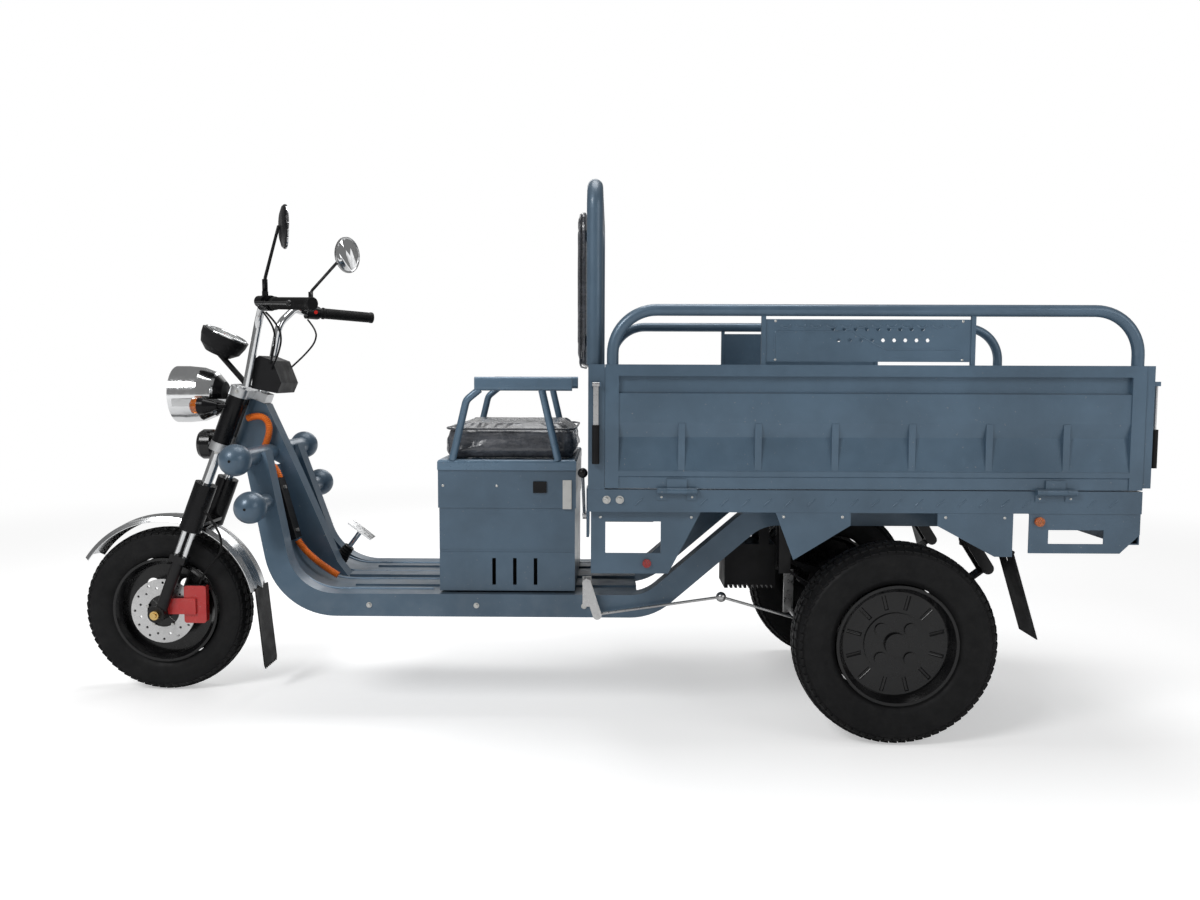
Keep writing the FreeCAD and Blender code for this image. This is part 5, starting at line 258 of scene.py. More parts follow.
def lens(name, tone, rough=0.12, ribs=300.0, weight=0.55):
    """A moulded lamp lens or reflector with fine prisms behind a glossy skin, with painted highlight in the prisms'
    middles and painted shade at their raised edges.
    """
    n = Nodes(name)
    prisms = n.add("ShaderNodeTexVoronoi", feature="F1", distance="CHEBYCHEV")
    prisms.inputs["Scale"].default_value = ribs
    n.put(prisms.inputs["Vector"], n.place)
    cell = prisms.outputs["Distance"]
    # painted highlight and painted shade on the prisms: lighter in each prism's middle, darker at its raised edges
    base = n.mix(n.ramp(cell, 0.1, 0.6), shade(tone, 1.15), shade(tone, 0.55))
    grime = n.ramp(n.noise(30.0, 5.0, 0.7), 0.5, 0.75, 0.0, 0.25)
    base = n.mix(grime, base, tuple(colours().dust))
    gloss = n.math("ADD", n.ramp(n.noise(20.0, 4.0, 0.6), 0.3, 0.7, rough - 0.04, rough + 0.06), grime)
    return n.finish(base, gloss, n.bump(cell, 0.0006, 0.5), Transmission_Weight=weight, IOR=1.49,
                    Coat_Weight=0.6, Coat_Roughness=0.08)


def clear_glass(name, flutes=0.5):
    """Clear lamp or dial glass, with moulded flutes where they have a strength."""
    n = Nodes(name)
    flute = n.add("ShaderNodeTexWave", wave_type="BANDS", bands_direction="Y", wave_profile="SIN")
    flute.inputs["Scale"].default_value = 24.0
    n.put(flute.inputs["Vector"], n.place)
    grime = n.ramp(n.noise(24.0, 5.0, 0.7), 0.45, 0.8, 0.02, 0.16)
    return n.finish((0.96, 0.98, 0.98), grime, n.bump(flute.outputs["Fac"], 0.0012, flutes), Transmission_Weight=0.92,
                    IOR=1.45)


def tyre_rubber(name):
    """Tyre rubber with fine grain and dusty tread."""
    n = Nodes(name)
    base = n.mix(n.ramp(n.noise(9.0, 5.0, 0.65), 0.3, 0.7), (0.0040, 0.0042, 0.0048), (0.0085, 0.0086, 0.0092))
    dust = n.ramp(n.noise(45.0, 5.0, 0.7), 0.45, 0.75, 0.0, 0.035)
    dust = n.math("MULTIPLY", dust, n.ramp(n.noise(6.0, 3.0, 0.5), 0.35, 0.65, 0.3, 1.0))
    base = n.mix(dust, base, shade(tuple(colours().dust), 0.4))
    gloss = n.ramp(n.noise(30.0, 5.0, 0.6), 0.3, 0.7, 0.48, 0.7)
    return n.finish(base, gloss, n.bump(n.noise(520.0, 3.0, 0.6), 0.0004, 0.7), Specular_IOR_Level=0.22)


MATERIALS = {}


def make_materials():
    tones = colours()
    paint = tuple(tones.paint)
    MATERIALS.update({
        "body_paint": painted("slate_body_paint", paint),
        # painted light: the gates get a lit copy of the body paint, 1.12 times lighter
        "gate_paint": painted("slate_gate_paint_lit", shade(paint, 1.12), rough=0.34, dust=0.14),
        # painted shade and real wear: the floor pan gets a shaded copy of the body paint, 0.92 times darker, with more
        # dust and chips
        "floor_paint_shaded_worn": painted("slate_floor_paint_shaded_worn", shade(paint, 0.92), rough=0.42, dust=0.3, chips=0.6),
        # painted highlight: the thin seat rails and the shield's ridges get a lit copy of the body paint, 1.4 times
        # lighter
        "seat_rail_paint": painted("seat_rail_paint", shade(paint, 1.4), rough=0.3, dust=0.12),
        "black_paint": painted("gloss_black_paint", (0.0035, 0.0036, 0.0042), rough=0.22, dust=0.01, chips=0.0,
                               metallic=0.0, coat=0.3, specular=0.3),
        "axle_paint": painted("axle_black_paint", (0.006, 0.006, 0.007), rough=0.36, dust=0.06, chips=0.05,
                              metallic=0.0, coat=0.1, specular=0.3),
        "motor_paint": painted("motor_black_paint", (0.009, 0.009, 0.010), rough=0.4, dust=0.08, chips=0.05,
                               metallic=0.0, coat=0.0, specular=0.3),
        "caliper_paint": painted("caliper_red_paint", tuple(tones.caliper), rough=0.25, dust=0.15, metallic=0.0),
        "chrome": metal("bar_chrome", (0.78, 0.79, 0.8), rough=0.1, stain=0.2, depth=0.00006),
        "clamp_metal": metal("clamp_alloy", (0.62, 0.63, 0.64), rough=0.32, stain=0.35),
        "fender_steel": metal("fender_steel", (0.72, 0.73, 0.74), rough=0.2, brush=(0.2, 6.0, 0.2), stain=0.25),
        "disc_steel": metal("disc_steel", (0.66, 0.66, 0.66), rough=0.3, brush=(3.0, 0.2, 3.0), stain=0.3),
        "zinc": metal("zinc_bolts", (0.62, 0.62, 0.6), rough=0.35, stain=0.5),
        "rod_steel": metal("rod_steel", (0.6, 0.6, 0.6), rough=0.3, stain=0.5),
        "gold_nut": metal("axle_nut_plating", (0.75, 0.52, 0.2), rough=0.3, stain=0.3),
        "black_plastic": moulded("black_moulded_plastic", (0.006, 0.006, 0.007)),
        "smooth_black": moulded("smooth_black_plastic", (0.005, 0.005, 0.006), rough=0.25, grain=300.0, depth=0.0001),
        "grip_rubber": moulded("grip_rubber", (0.006, 0.006, 0.0065), rough=0.55, scuffs=0.1),
        "flap_rubber": moulded("flap_rubber", (0.008, 0.008, 0.009), rough=0.5, dust=0.04),
        "battery_case": moulded("battery_case", (0.010, 0.010, 0.011), rough=0.45),
        "hose_plastic": moulded("orange_hose_plastic", tuple(tones.hose), rough=0.4, scuffs=0.05, dust=0.15),
        "red_plastic": moulded("red_button_plastic", (0.6, 0.015, 0.01), rough=0.3, scuffs=0.05, dust=0.05),
        "cover": creased_cover("seat_cover", tuple(tones.cover)),
        "amber_lens": lens("amber_lens", tuple(tones.amber)),
        "red_lens": lens("red_reflector", (0.6, 0.01, 0.01)),
        "glass": clear_glass("lamp_glass"),
        "dial_glass": clear_glass("dial_glass", flutes=0.0),
        "reflector": metal("lamp_bowl", (0.85, 0.86, 0.87), rough=0.12, stain=0.08, depth=0.00005),
        "mirror_glass": metal("mirror_glass", (0.9, 0.91, 0.92), rough=0.03, stain=0.05, depth=0.00002, dark=0.8),
        "tyre": tyre_rubber("tyre_rubber"),
    })


# Modelling helpers

def deselect():
    if bpy.context.object and bpy.context.object.mode != "OBJECT":
        bpy.ops.object.mode_set(mode="OBJECT")
    bpy.ops.object.select_all(action="DESELECT")


def pick(piece):
    deselect()
    piece.select_set(True)
    bpy.context.view_layer.objects.active = piece
    return piece


def apply_place(piece):
    pick(piece)
    bpy.ops.object.transform_apply(location=True, rotation=True, scale=True)
    return piece


def settle(piece, name, material, body, angle=35.0, replaces=()):
    """Names a finished piece, puts its place in its mesh, shades it and lets it ride on its body."""
    piece.name = name
    piece.data.name = name
    apply_place(piece)
    bpy.ops.object.shade_smooth_by_angle(angle=math.radians(angle))
    piece.data.materials.clear()
    for entry in material if isinstance(material, (list, tuple)) else [material]:
        piece.data.materials.append(MATERIALS[entry])
    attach(piece, body)
    if replaces:
        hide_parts(*replaces)
    return piece


def join(pieces):
    deselect()
    for piece in pieces:
        piece.select_set(True)
    bpy.context.view_layer.objects.active = pieces[0]
    bpy.ops.object.join()
    return bpy.context.object


def block(centre, size, bevel=0.001, segments=2):
    """A block with its edges eased."""
    deselect()
    bpy.ops.mesh.primitive_cube_add(size=1.0, location=centre, scale=size)
    made = bpy.context.object
    bpy.ops.object.transform_apply(location=False, rotation=False, scale=True)
    if bevel:
        modifier(made, "BEVEL", width=bevel, segments=segments)
    return made


def disc(centre, axis, radius, depth, vertices=32, bevel=0.0, segments=2):
    """A short round bar along an axis, its rims eased."""
    deselect()
    turn = Vector((0, 0, 1)).rotation_difference(Vector(axis).normalized()).to_euler()
    bpy.ops.mesh.primitive_cylinder_add(vertices=vertices, radius=radius, depth=depth, location=centre, rotation=turn)
    made = bpy.context.object
    if bevel:
        modifier(made, "BEVEL", width=bevel, segments=segments, limit_method="ANGLE", angle_limit=math.radians(50))
    return made


def modifier(piece, kind, **settings):
    pick(piece)
    made = piece.modifiers.new(kind.title(), kind)
    for key, setting in settings.items():
        setattr(made, key, setting)
    bpy.ops.object.modifier_apply(modifier=made.name)
    return piece


def spun(profile, axis_point, axis, steps=64, close=False):
    """A turned form: a profile of (distance from the axis, place along it), spun round the axis."""
    mesh = bpy.data.meshes.new("profile")
    count = len(profile)
    edges = [(i, i + 1) for i in range(count - 1)] + ([(count - 1, 0)] if close else [])
    mesh.from_pydata([(radius, 0.0, along) for radius, along in profile], edges, [])
    made = bpy.data.objects.new("turned", mesh)
    bpy.context.scene.collection.objects.link(made)
    pick(made)
    bpy.ops.object.mode_set(mode="EDIT")
    bpy.ops.mesh.select_all(action="SELECT")
    bpy.ops.mesh.spin(steps=steps, angle=2 * math.pi, center=(0, 0, 0), axis=(0, 0, 1))
    bpy.ops.mesh.select_all(action="SELECT")
    bpy.ops.mesh.remove_doubles(threshold=0.00001)
    bpy.ops.mesh.normals_make_consistent(inside=False)
    bpy.ops.object.mode_set(mode="OBJECT")
    turn = Vector((0, 0, 1)).rotation_difference(Vector(axis).normalized()).to_matrix().to_4x4()
    made.matrix_world = Matrix.Translation(Vector(axis_point)) @ turn
    apply_place(made)
    return made


def copied(piece, matrix):
    """A copy with its own mesh, moved by a matrix."""
    made = piece.copy()
    made.data = piece.data.copy()
    bpy.context.scene.collection.objects.link(made)
    made.data.transform(matrix)
    if matrix.determinant() < 0:
        made.data.flip_normals()
    return made


def about(centre, angle, axis):
    """A turn about an axis through a point."""
    here = Vector(centre)
    return Matrix.Translation(here) @ Matrix.Rotation(angle, 4, Vector(axis)) @ Matrix.Translation(-here)



def smooth_line(points):
    """Points read along the smooth spline that has these points as its control points."""
    made = spline_curve("route", points, 0.0)
    mesh = bpy.data.meshes.new_from_object(made)
    line = [vertex.co.copy() for vertex in mesh.vertices]
    bpy.data.objects.remove(made)
    return line


def spline_curve(name, points, radius):
    curve = bpy.data.curves.new(name, "CURVE")
    curve.dimensions = "3D"
    curve.resolution_u = 12
    curve.bevel_depth = radius
    curve.bevel_resolution = 4
    curve.use_fill_caps = radius > 0
    spline = curve.splines.new("NURBS")
    spline.points.add(len(points) - 1)
    for spot, place in zip(spline.points, points):
        spot.co = (*place, 1.0)
    spline.order_u = 3
    spline.use_endpoint_u = True
    made = bpy.data.objects.new(name, curve)
    bpy.context.scene.collection.objects.link(made)
    bpy.context.view_layer.update()
    return made


def tube_along(line, radius_at, sides=20):
    """A closed tube whose radius follows the distance along a line of points."""
    verts, faces, travelled = [], [], 0.0
    side = (line[1] - line[0]).orthogonal().normalized()
    for i, spot in enumerate(line):
        ahead = (line[min(i + 1, len(line) - 1)] - line[max(i - 1, 0)]).normalized()
        side = (side - ahead * side.dot(ahead)).normalized()
        up = ahead.cross(side)
        if i:
            travelled += (spot - line[i - 1]).length
        radius = radius_at(travelled)
        for k in range(sides):
            angle = 2 * math.pi * k / sides
            verts.append(spot + (side * math.cos(angle) + up * math.sin(angle)) * radius)
    for i in range(len(line) - 1):
        for k in range(sides):
            a, b = i * sides + k, i * sides + (k + 1) % sides
            faces.append((a, b, b + sides, a + sides))
    faces.append(tuple(reversed(range(sides))))
    faces.append(tuple((len(line) - 1) * sides + k for k in range(sides)))
    mesh = bpy.data.meshes.new("tube")
    mesh.from_pydata(verts, [], faces)
    made = bpy.data.objects.new("tube", mesh)
    bpy.context.scene.collection.objects.link(made)
    return made


def evenly(line, step):
    """The same line with evenly spaced points."""
    places, travelled = [line[0].copy()], 0.0
    for first, second in zip(line, line[1:]):
        run = (second - first).length
        while run > 0 and travelled + run >= step:
            first = first + (second - first) * ((step - travelled) / run)
            places.append(first.copy())
            run = (second - first).length
            travelled = 0.0
        travelled += run
    if (places[-1] - line[-1]).length > step * 0.3:
        places.append(line[-1].copy())
    return places


# Stage

class TRICYCLE_OT_stage(bpy.types.Operator):
    """Adds the floor, the soft studio lamps, the world and the camera"""
    bl_idname = "tricycle.stage"
    bl_label = "Stage"

    def execute(self, context):
        scene = context.scene
        scene.view_settings.view_transform = "Standard"
        deselect()
        bpy.ops.mesh.primitive_plane_add(size=60.0, location=(0, 0, -0.0005))
        floor = context.object
        floor.name = "studio_floor"
        floor.data.materials.append(self.floor_material())
        world = bpy.data.worlds.new("studio")
        scene.world = world
        world.use_nodes = True
        tree = world.node_tree
        sky = tree.nodes["Background"]
        sky.inputs["Color"].default_value = (1.0, 1.0, 1.0, 1.0)
        path = tree.nodes.new("ShaderNodeLightPath")
        seen = tree.nodes.new("ShaderNodeMath")
        seen.operation = "MAXIMUM"
        tree.links.new(path.outputs["Is Camera Ray"], seen.inputs[0])
        tree.links.new(path.outputs["Is Transmission Ray"], seen.inputs[1])
        level = tree.nodes.new("ShaderNodeMapRange")
        level.inputs["To Min"].default_value = 0.2
        level.inputs["To Max"].default_value = 1.0
        tree.links.new(seen.outputs[0], level.inputs["Value"])
        tree.links.new(level.outputs["Result"], sky.inputs["Strength"])
        self.lamp("key_lamp", (-3.2, -4.2, 4.6), (0.0, 0.0, 0.7), 2.2, 175.0)
        self.lamp("fill_lamp", (4.2, -3.6, 3.0), (0.3, 0.0, 0.7), 3.0, 48.0)
        self.lamp("top_lamp", (0.2, 0.6, 5.2), (0.0, 0.0, 0.5), 3.2, 125.0)
        self.lamp("back_lamp", (-0.5, 4.6, 3.4), (0.0, 0.0, 0.8), 3.0, 50.0)
        self.camera(scene)
        return {"FINISHED"}

    def floor_material(self):
        n = Nodes("pale_floor")
        where = n.add("ShaderNodeVectorMath", operation="LENGTH")
        n.put(where.inputs[0], n.place)
        far = n.ramp(where.outputs["Value"], 2.6, 6.5)
        n.put(n.shader.inputs["Base Color"], (0.86, 0.86, 0.86))
        n.put(n.shader.inputs["Roughness"], 0.85)
        lift = n.add("ShaderNodeEmission")
        seen = n.add("ShaderNodeLightPath").outputs["Is Camera Ray"]
        n.put(lift.inputs["Strength"], n.math("MULTIPLY", seen, 0.42))
        lit = n.add("ShaderNodeAddShader")
        n.tree.links.new(n.shader.outputs[0], lit.inputs[0])
        n.tree.links.new(lift.outputs[0], lit.inputs[1])
        white = n.add("ShaderNodeEmission")
        mixed = n.add("ShaderNodeMixShader")
        n.put(mixed.inputs[0], far)
        n.tree.links.new(lit.outputs[0], mixed.inputs[1])
        n.tree.links.new(white.outputs[0], mixed.inputs[2])
        n.tree.links.new(mixed.outputs[0], n.tree.nodes["Material Output"].inputs["Surface"])
        return n.material

    def lamp(self, name, place, target, size, power):
        light = bpy.data.lights.new(name, "AREA")
        light.shape = "DISK"
        light.size = size
        light.energy = power
        made = bpy.data.objects.new(name, light)
        made.location = place
        made.rotation_euler = (Vector(target) - Vector(place)).to_track_quat("-Z", "Y").to_euler()
        bpy.context.scene.collection.objects.link(made)

    def camera(self, scene):
        lens = bpy.data.cameras.new("photo_camera")
        lens.sensor_width = 36.0
        lens.lens = 36.0 * 986.136 / 1200.0
        lens.clip_end = 100.0
        pitch, yaw, roll = 0.076, -0.0109, 0.0034
        across = Vector((math.cos(yaw), -math.sin(yaw), 0.0))
        ahead = Vector((math.sin(yaw) * math.cos(pitch), math.cos(yaw) * math.cos(pitch), -math.sin(pitch)))
        above = Vector((math.sin(yaw) * math.sin(pitch), math.cos(yaw) * math.sin(pitch), math.cos(pitch)))
        right = across * math.cos(roll) + above * math.sin(roll)
        up = above * math.cos(roll) - across * math.sin(roll)
        made = bpy.data.objects.new("photo_camera", lens)
        axes = Matrix((right, up, -ahead)).transposed().to_4x4()
        made.matrix_world = Matrix.Translation((0.09765, -3.17083, 1.02927)) @ axes
        scene.collection.objects.link(made)
        scene.camera = made


# Finishes of the frame's own nodes

FINISHES = {
    "body_paint": ["chassis_frame", "spine_and_head", "ball_bars", "bed_front_wall", "backrest_frame", "bed_guards",
                   "rear_bumper", "bed_base", "seat_box"],
    "gate_paint": ["side_gate_left", "side_gate_right", "tailgate"],
    "floor_paint_shaded_worn": ["floor_pan"],
    "seat_rail_paint": ["seat_frame"],
    "black_paint": ["front_rim", "rear_rim_left", "rear_rim_right", "horn", "brake_lever_left", "brake_lever_right"],
    "axle_paint": ["rear_axle", "leaf_springs", "spring_brackets", "fork_legs"],
    "motor_paint": ["drive_motor"],
    "caliper_paint": ["brake_caliper"],
    "chrome": ["handlebar", "brake_pedal"],
    "clamp_metal": ["fork_upper"],
    "fender_steel": ["front_fender"],
    "disc_steel": ["brake_disc"],
    "rod_steel": ["brake_linkage", "bed_lock_lever", "latch_front_left", "latch_front_right", "latch_rear_left",
                  "latch_rear_right"],
    "black_plastic": ["cable_cover", "controller_box", "gauge_pod", "steering_shroud", "mirror_left", "mirror_right"],
    "smooth_black": ["fork_covers", "control_housings", "turn_signals"],
    "grip_rubber": ["throttle_grip"],
    "flap_rubber": ["rear_mudflaps"],
    "battery_case": ["battery_pack"],
    "hose_plastic": ["orange_conduit"],
    "reflector": ["headlight_shell"],
    "glass": ["headlight_lens"],
    "red_plastic": ["horn_button"],
    "cover": ["seat_cushion", "back_cushion"],
    "tyre": ["front_tyre", "rear_tyre_left", "rear_tyre_right"],
}


LEAN = Vector((0.35837, 0.0, 0.93358))
HEAD = Vector((-1.019, 0.0, 0.985))


def up_fork(spot):
    """Height along the raked steering axis from its datum."""
    return (spot - HEAD).dot(LEAN)


# Parts of a node that have their own finish: the test takes the middle of a face.
PART_FINISHES = {
    "fork_legs": [("smooth_black", lambda p: up_fork(p) > -0.4975),
                  ("chrome", lambda p: -0.5846 < up_fork(p) <= -0.4975),
                  ("gold_nut", lambda p: abs(p.y) > 0.1115 and p.z < 0.30)],
    "fork_upper": [("chrome", lambda p: up_fork(p) < -0.24)],
    "headlight_shell": [("smooth_black", lambda p: p.x > -1.165)],
    "turn_signals": [("amber_lens", lambda p: p.x < -1.1802)],
    "brake_caliper": [("grip_rubber", lambda p: p.z > 0.3505)],
    "mirror_left": [("mirror_glass", lambda p: p.x > -0.8306 and p.z > 1.385)],
    "mirror_right": [("mirror_glass", lambda p: p.x > -0.8306 and p.z > 1.385)],
    "bed_guards": [("red_lens", lambda p: abs(p.y) > 0.4811 and 0.18 < p.x < 0.215)],
    "rear_bumper": [("amber_lens", lambda p: abs(p.y) > 0.4972)],
    "seat_box": [("smooth_black", lambda p: p.y < -0.2651 and p.x < -0.09),
                 ("zinc", lambda p: p.y < -0.2651 and p.x > -0.05)],
    "cable_cover": [("zinc", lambda p: p.x > -0.8885 and p.z > 0.53),
                    ("zinc", lambda p: -0.9245 < p.x < -0.9145 and p.z > 0.669)],
    "gauge_pod": [("zinc", lambda p: up_fork(p) > 0.17 and p.x > -1.21)],
    "bed_lock_lever": [("smooth_black", lambda p: p.z > 0.746)],
    "throttle_grip": [("smooth_black", lambda p: p.y < 0.226)],
    "front_fender": [("flap_rubber", lambda p: p.x > -1.0462 and p.z < 0.34)],
    "front_rim": [("zinc", lambda p: abs(p.x + 1.342) < 0.02 and abs(p.z - 0.266) < 0.02)],
}
for latch in ("latch_front_left", "latch_front_right", "latch_rear_left", "latch_rear_right"):
    PART_FINISHES[latch] = [("grip_rubber", lambda p: p.z < 0.897)]


class TRICYCLE_OT_finishes(bpy.types.Operator):
    """Gives every node of the frame its detailed finish"""
    bl_idname = "tricycle.finishes"
    bl_label = "Finishes"

    def execute(self, context):
        make_materials()
        for finish, names in FINISHES.items():
            for name in names:
                mesh = NODES[name].data
                mesh.materials.clear()
                mesh.materials.append(MATERIALS[finish])
        for name, parts in PART_FINISHES.items():
            mesh = NODES[name].data
            for number, (finish, inside) in enumerate(parts, start=1):
                mesh.materials.append(MATERIALS[finish])
                for face in mesh.polygons:
                    if inside(face.center):
                        face.material_index = number
        return {"FINISHED"}


# Tyres

def tyre_line(radius, half, rim):
    """Half section of a tyre's outside: pairs of distance from the axle and place across."""
    middle = rim + 0.42 * (radius - rim)
    line = [(rim, -0.70 * half), (rim + 0.009, -0.76 * half), (rim + 0.014, -0.84 * half), (rim + 0.020, -0.865 * half)]
    steps = 22
    for i in range(steps + 1):
        turn = math.pi * i / steps
        across = math.cos(turn)
        line.append((middle + (radius - middle) * math.sin(turn) ** 0.62,
                     -half * math.copysign(abs(across) ** 0.72, across)))
        if i in (2, 3, steps - 3, steps - 2):
            line.append((line[-1][0] + 0.0022, line[-1][1] * 1.004))
    line += [(rim + 0.020, 0.865 * half), (rim + 0.014, 0.84 * half), (rim + 0.009, 0.76 * half), (rim, 0.70 * half)]
    return line


def tyre(name, node, body, rim, blocks, rows):
    """A carcass spun round the axle with rows of tread blocks."""
    low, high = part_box(node)
    centre = (low + high) / 2
    radius = (high.z - low.z) / 2
    half = (high.y - low.y) / 2 - 0.001
    deep = sizes().tread_deep
    line = tyre_line(radius - deep, half, rim)
    pieces = [spun(line, centre, (0, 1, 0), steps=144, close=True)]
    for across, long_, wide, skew, shift, drop in rows:
        lean = math.atan2(drop, abs(across) * half) * 1.6 if across else 0.0
        for side in (LEFT, RIGHT) if across else (1,):
            first = block((0, 0, 0), (long_, wide, deep + 0.006), bevel=0.0012, segments=1)
            first.data.transform(Matrix.Rotation(side * skew, 4, "Z"))
            first.data.transform(Matrix.Rotation(-side * lean, 4, "X"))
            spot = Vector((0, side * across * half, radius - drop - deep / 2 - 0.0034))
            first.data.transform(Matrix.Translation(centre + spot))
            first.location = (0, 0, 0)
            for i in range(blocks):
                turn = 2 * math.pi * (i + (shift if side > 0 else 0)) / blocks
                pieces.append(copied(first, about(centre, turn, (0, 1, 0))))
            bpy.data.objects.remove(first)
    whole = join(pieces)
    return settle(whole, name, "tyre", body, angle=40, replaces=[node])


class TRICYCLE_OT_tyres(bpy.types.Operator):
    """Spins the three tyres and sets their tread blocks"""
    bl_idname = "tricycle.tyres"
    bl_label = "Tyres"

    def execute(self, context):
        count = sizes().tread_blocks
        front_rows = [
            (0.0, 0.0215, 0.017, 0.3, 0.0, 0.0), (0.42, 0.0215, 0.016, 0.35, 0.5, 0.002),
            (0.76, 0.0205, 0.0125, 0.2, 0.5, 0.0115),
        ]
        rear_rows = [
            (0.16, 0.0215, 0.0165, 0.3, 0.5, 0.0), (0.48, 0.0215, 0.0165, -0.3, 0.5, 0.0025),
            (0.78, 0.0205, 0.015, 0.15, 0.5, 0.0135),
        ]
        tyre("front_tyre_tread", "front_tyre", "front_wheel", 0.172, count - 6, front_rows)
        for name in ("left", "right"):
            tyre("rear_tyre_tread_" + name, "rear_tyre_" + name, "rear_wheel_" + name, 0.172, count, rear_rows)
        return {"FINISHED"}


# Cushions

def node_copy(node):
    """A free, merged copy of a node's mesh."""
    made = bpy.data.objects.new(node + "_copy", NODES[node].data.copy())
    bpy.context.scene.collection.objects.link(made)
    pick(made)
    bpy.ops.object.mode_set(mode="EDIT")
    bpy.ops.mesh.select_all(action="SELECT")
    bpy.ops.mesh.remove_doubles(threshold=0.00002)
    bpy.ops.object.mode_set(mode="OBJECT")
    return made


def padded_block(node, voxel, cap, held):
    """Swells a slightly smaller copy of a cushion's solid under pressure, with each move capped."""
    low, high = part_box(node)
    centre, span = (low + high) / 2, high - low
    made = node_copy(node)
    shrink = Matrix.Diagonal(tuple(1 - 0.004 / length for length in span) + (1.0,))
    made.data.transform(Matrix.Translation(centre) @ shrink @ Matrix.Translation(-centre))
    modifier(made, "REMESH", mode="VOXEL", voxel_size=voxel)
    group = made.vertex_groups.new(name="held")
    group.add([v.index for v in made.data.vertices if held(v.co, low, high)], 1.0, "REPLACE")
    rest = [v.co.copy() for v in made.data.vertices]
    cloth = made.modifiers.new("Cloth", "CLOTH")
    cloth.settings.quality = 4
    cloth.settings.mass = 0.3
    cloth.settings.use_pressure = True
    cloth.settings.uniform_pressure_force = 4.0
    cloth.settings.tension_stiffness = 12.0
    cloth.settings.compression_stiffness = 12.0
    cloth.settings.bending_stiffness = 0.4
    cloth.settings.effector_weights.gravity = 0.0
    cloth.settings.vertex_group_mass = "held"
    cloth.collision_settings.use_collision = False
    scene = bpy.context.scene
    for step in range(1, 21):
        scene.frame_set(step)
    ready = made.evaluated_get(bpy.context.evaluated_depsgraph_get())
    swollen = [v.co.copy() for v in ready.data.vertices]
    made.modifiers.clear()
    scene.frame_set(1)
    capped = []
    for before, after in zip(rest, swollen):
        move = after - before
        if move.length > cap:
            move *= cap / move.length
        capped += list(before + move)
    made.data.vertices.foreach_set("co", capped)
    made.data.update()
    return made


def ridged(place, scale):
    """Sharp folds between rounded swells, from 0 to 1."""
    warp = noise.noise_vector(place * scale * 0.6) * 0.45
    return (1.0 - abs(noise.noise(place * scale + warp))) ** 5


def wrinkled(made, node, keep_flat, squeeze, height):
    """Moves the cover's points along their normals in long creases, and keeps them in the solid's box."""
    low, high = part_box(node)
    centre = (low + high) / 2
    half = (high - low) / 2
    modifier(made, "SUBSURF", levels=1, render_levels=1)
    spots = [(v.co.copy(), v.normal.copy()) for v in made.data.vertices]
    moved = []
    for spot, normal in spots:
        side = Vector((abs(spot[i] - centre[i]) / half[i] for i in range(3)))
        corner = min(1.0, side.x * side.y) ** 2
        stretched = Vector((spot.x * squeeze[0], spot.y * squeeze[1], spot.z * squeeze[2]))
        fold = ridged(stretched, 9.0) * 0.8 + ridged(stretched.yzx, 21.0) * 0.35
        lift = (fold - 0.55) * height * (0.55 + 0.9 * corner) * keep_flat(spot, low, high)
        spot = spot + normal * lift
        moved += [min(max(spot[i], low[i] + 0.0004), high[i] - 0.0004) for i in range(3)]
    made.data.vertices.foreach_set("co", moved)
    made.data.update()
    modifier(made, "DECIMATE", ratio=0.7)
    return made


class TRICYCLE_OT_cushions(bpy.types.Operator):
    """Swells and creases the seat cushion and the back pad, with welts along their edges"""
    bl_idname = "tricycle.cushions"
    bl_label = "Cushions"

    def execute(self, context):
        height = sizes().wrinkle
        seat = padded_block("seat_cushion", 0.006, 0.008, lambda p, low, high: p.z < low.z + 0.02)
        seat = wrinkled(seat, "seat_cushion", lambda p, low, high: min(1.0, max(0.0, (p.z - low.z - 0.004) / 0.02)),
                        (1.0, 0.55, 1.7), height * 1.25)
        seat = join([seat, self.welt("seat_cushion", 2, 0.83, 0.0035)])
        settle(seat, "seat_cushion_cover", "cover", "seat", angle=60, replaces=["seat_cushion"])
        back = padded_block("back_cushion", 0.006, 0.005, lambda p, low, high: p.x > high.x - 0.006)
        back = wrinkled(back, "back_cushion", lambda p, low, high: min(1.0, max(0.0, (high.x - 0.004 - p.x) / 0.008)),
                        (1.0, 0.7, 0.7), height)
        back = join([back, self.welt("back_cushion", 0, 0.28, 0.003)])
        settle(back, "back_cushion_cover", "cover", "bed", angle=60, replaces=["back_cushion"])
        return {"FINISHED"}

    def welt(self, node, up, share, radius):
        """A sewn welt round a cushion at a share of its height along one axis."""
        low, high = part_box(node)
        a, b = [i for i in range(3) if i != up]
        level = low[up] + (high[up] - low[up]) * share
        centre = (low + high) / 2
        reach = [(high[i] - low[i]) / 2 - 0.006 for i in (a, b)]
        line = []
        count = 160
        for i in range(count):
            turn = 2 * math.pi * i / count
            spot = Vector((0, 0, 0))
            spot[up] = level + 0.0012 * noise.noise(Vector((turn * 3.0, share, 0)))
            for k, part in ((0, math.cos(turn)), (1, math.sin(turn))):
                spot[(a, b)[k]] = centre[(a, b)[k]] + reach[k] * math.copysign(abs(part) ** 0.22, part)
            line.append(spot)
        line.append(line[0].copy())
        return tube_along(line, lambda travelled: radius, sides=8)


# Cables, hoses and bellows

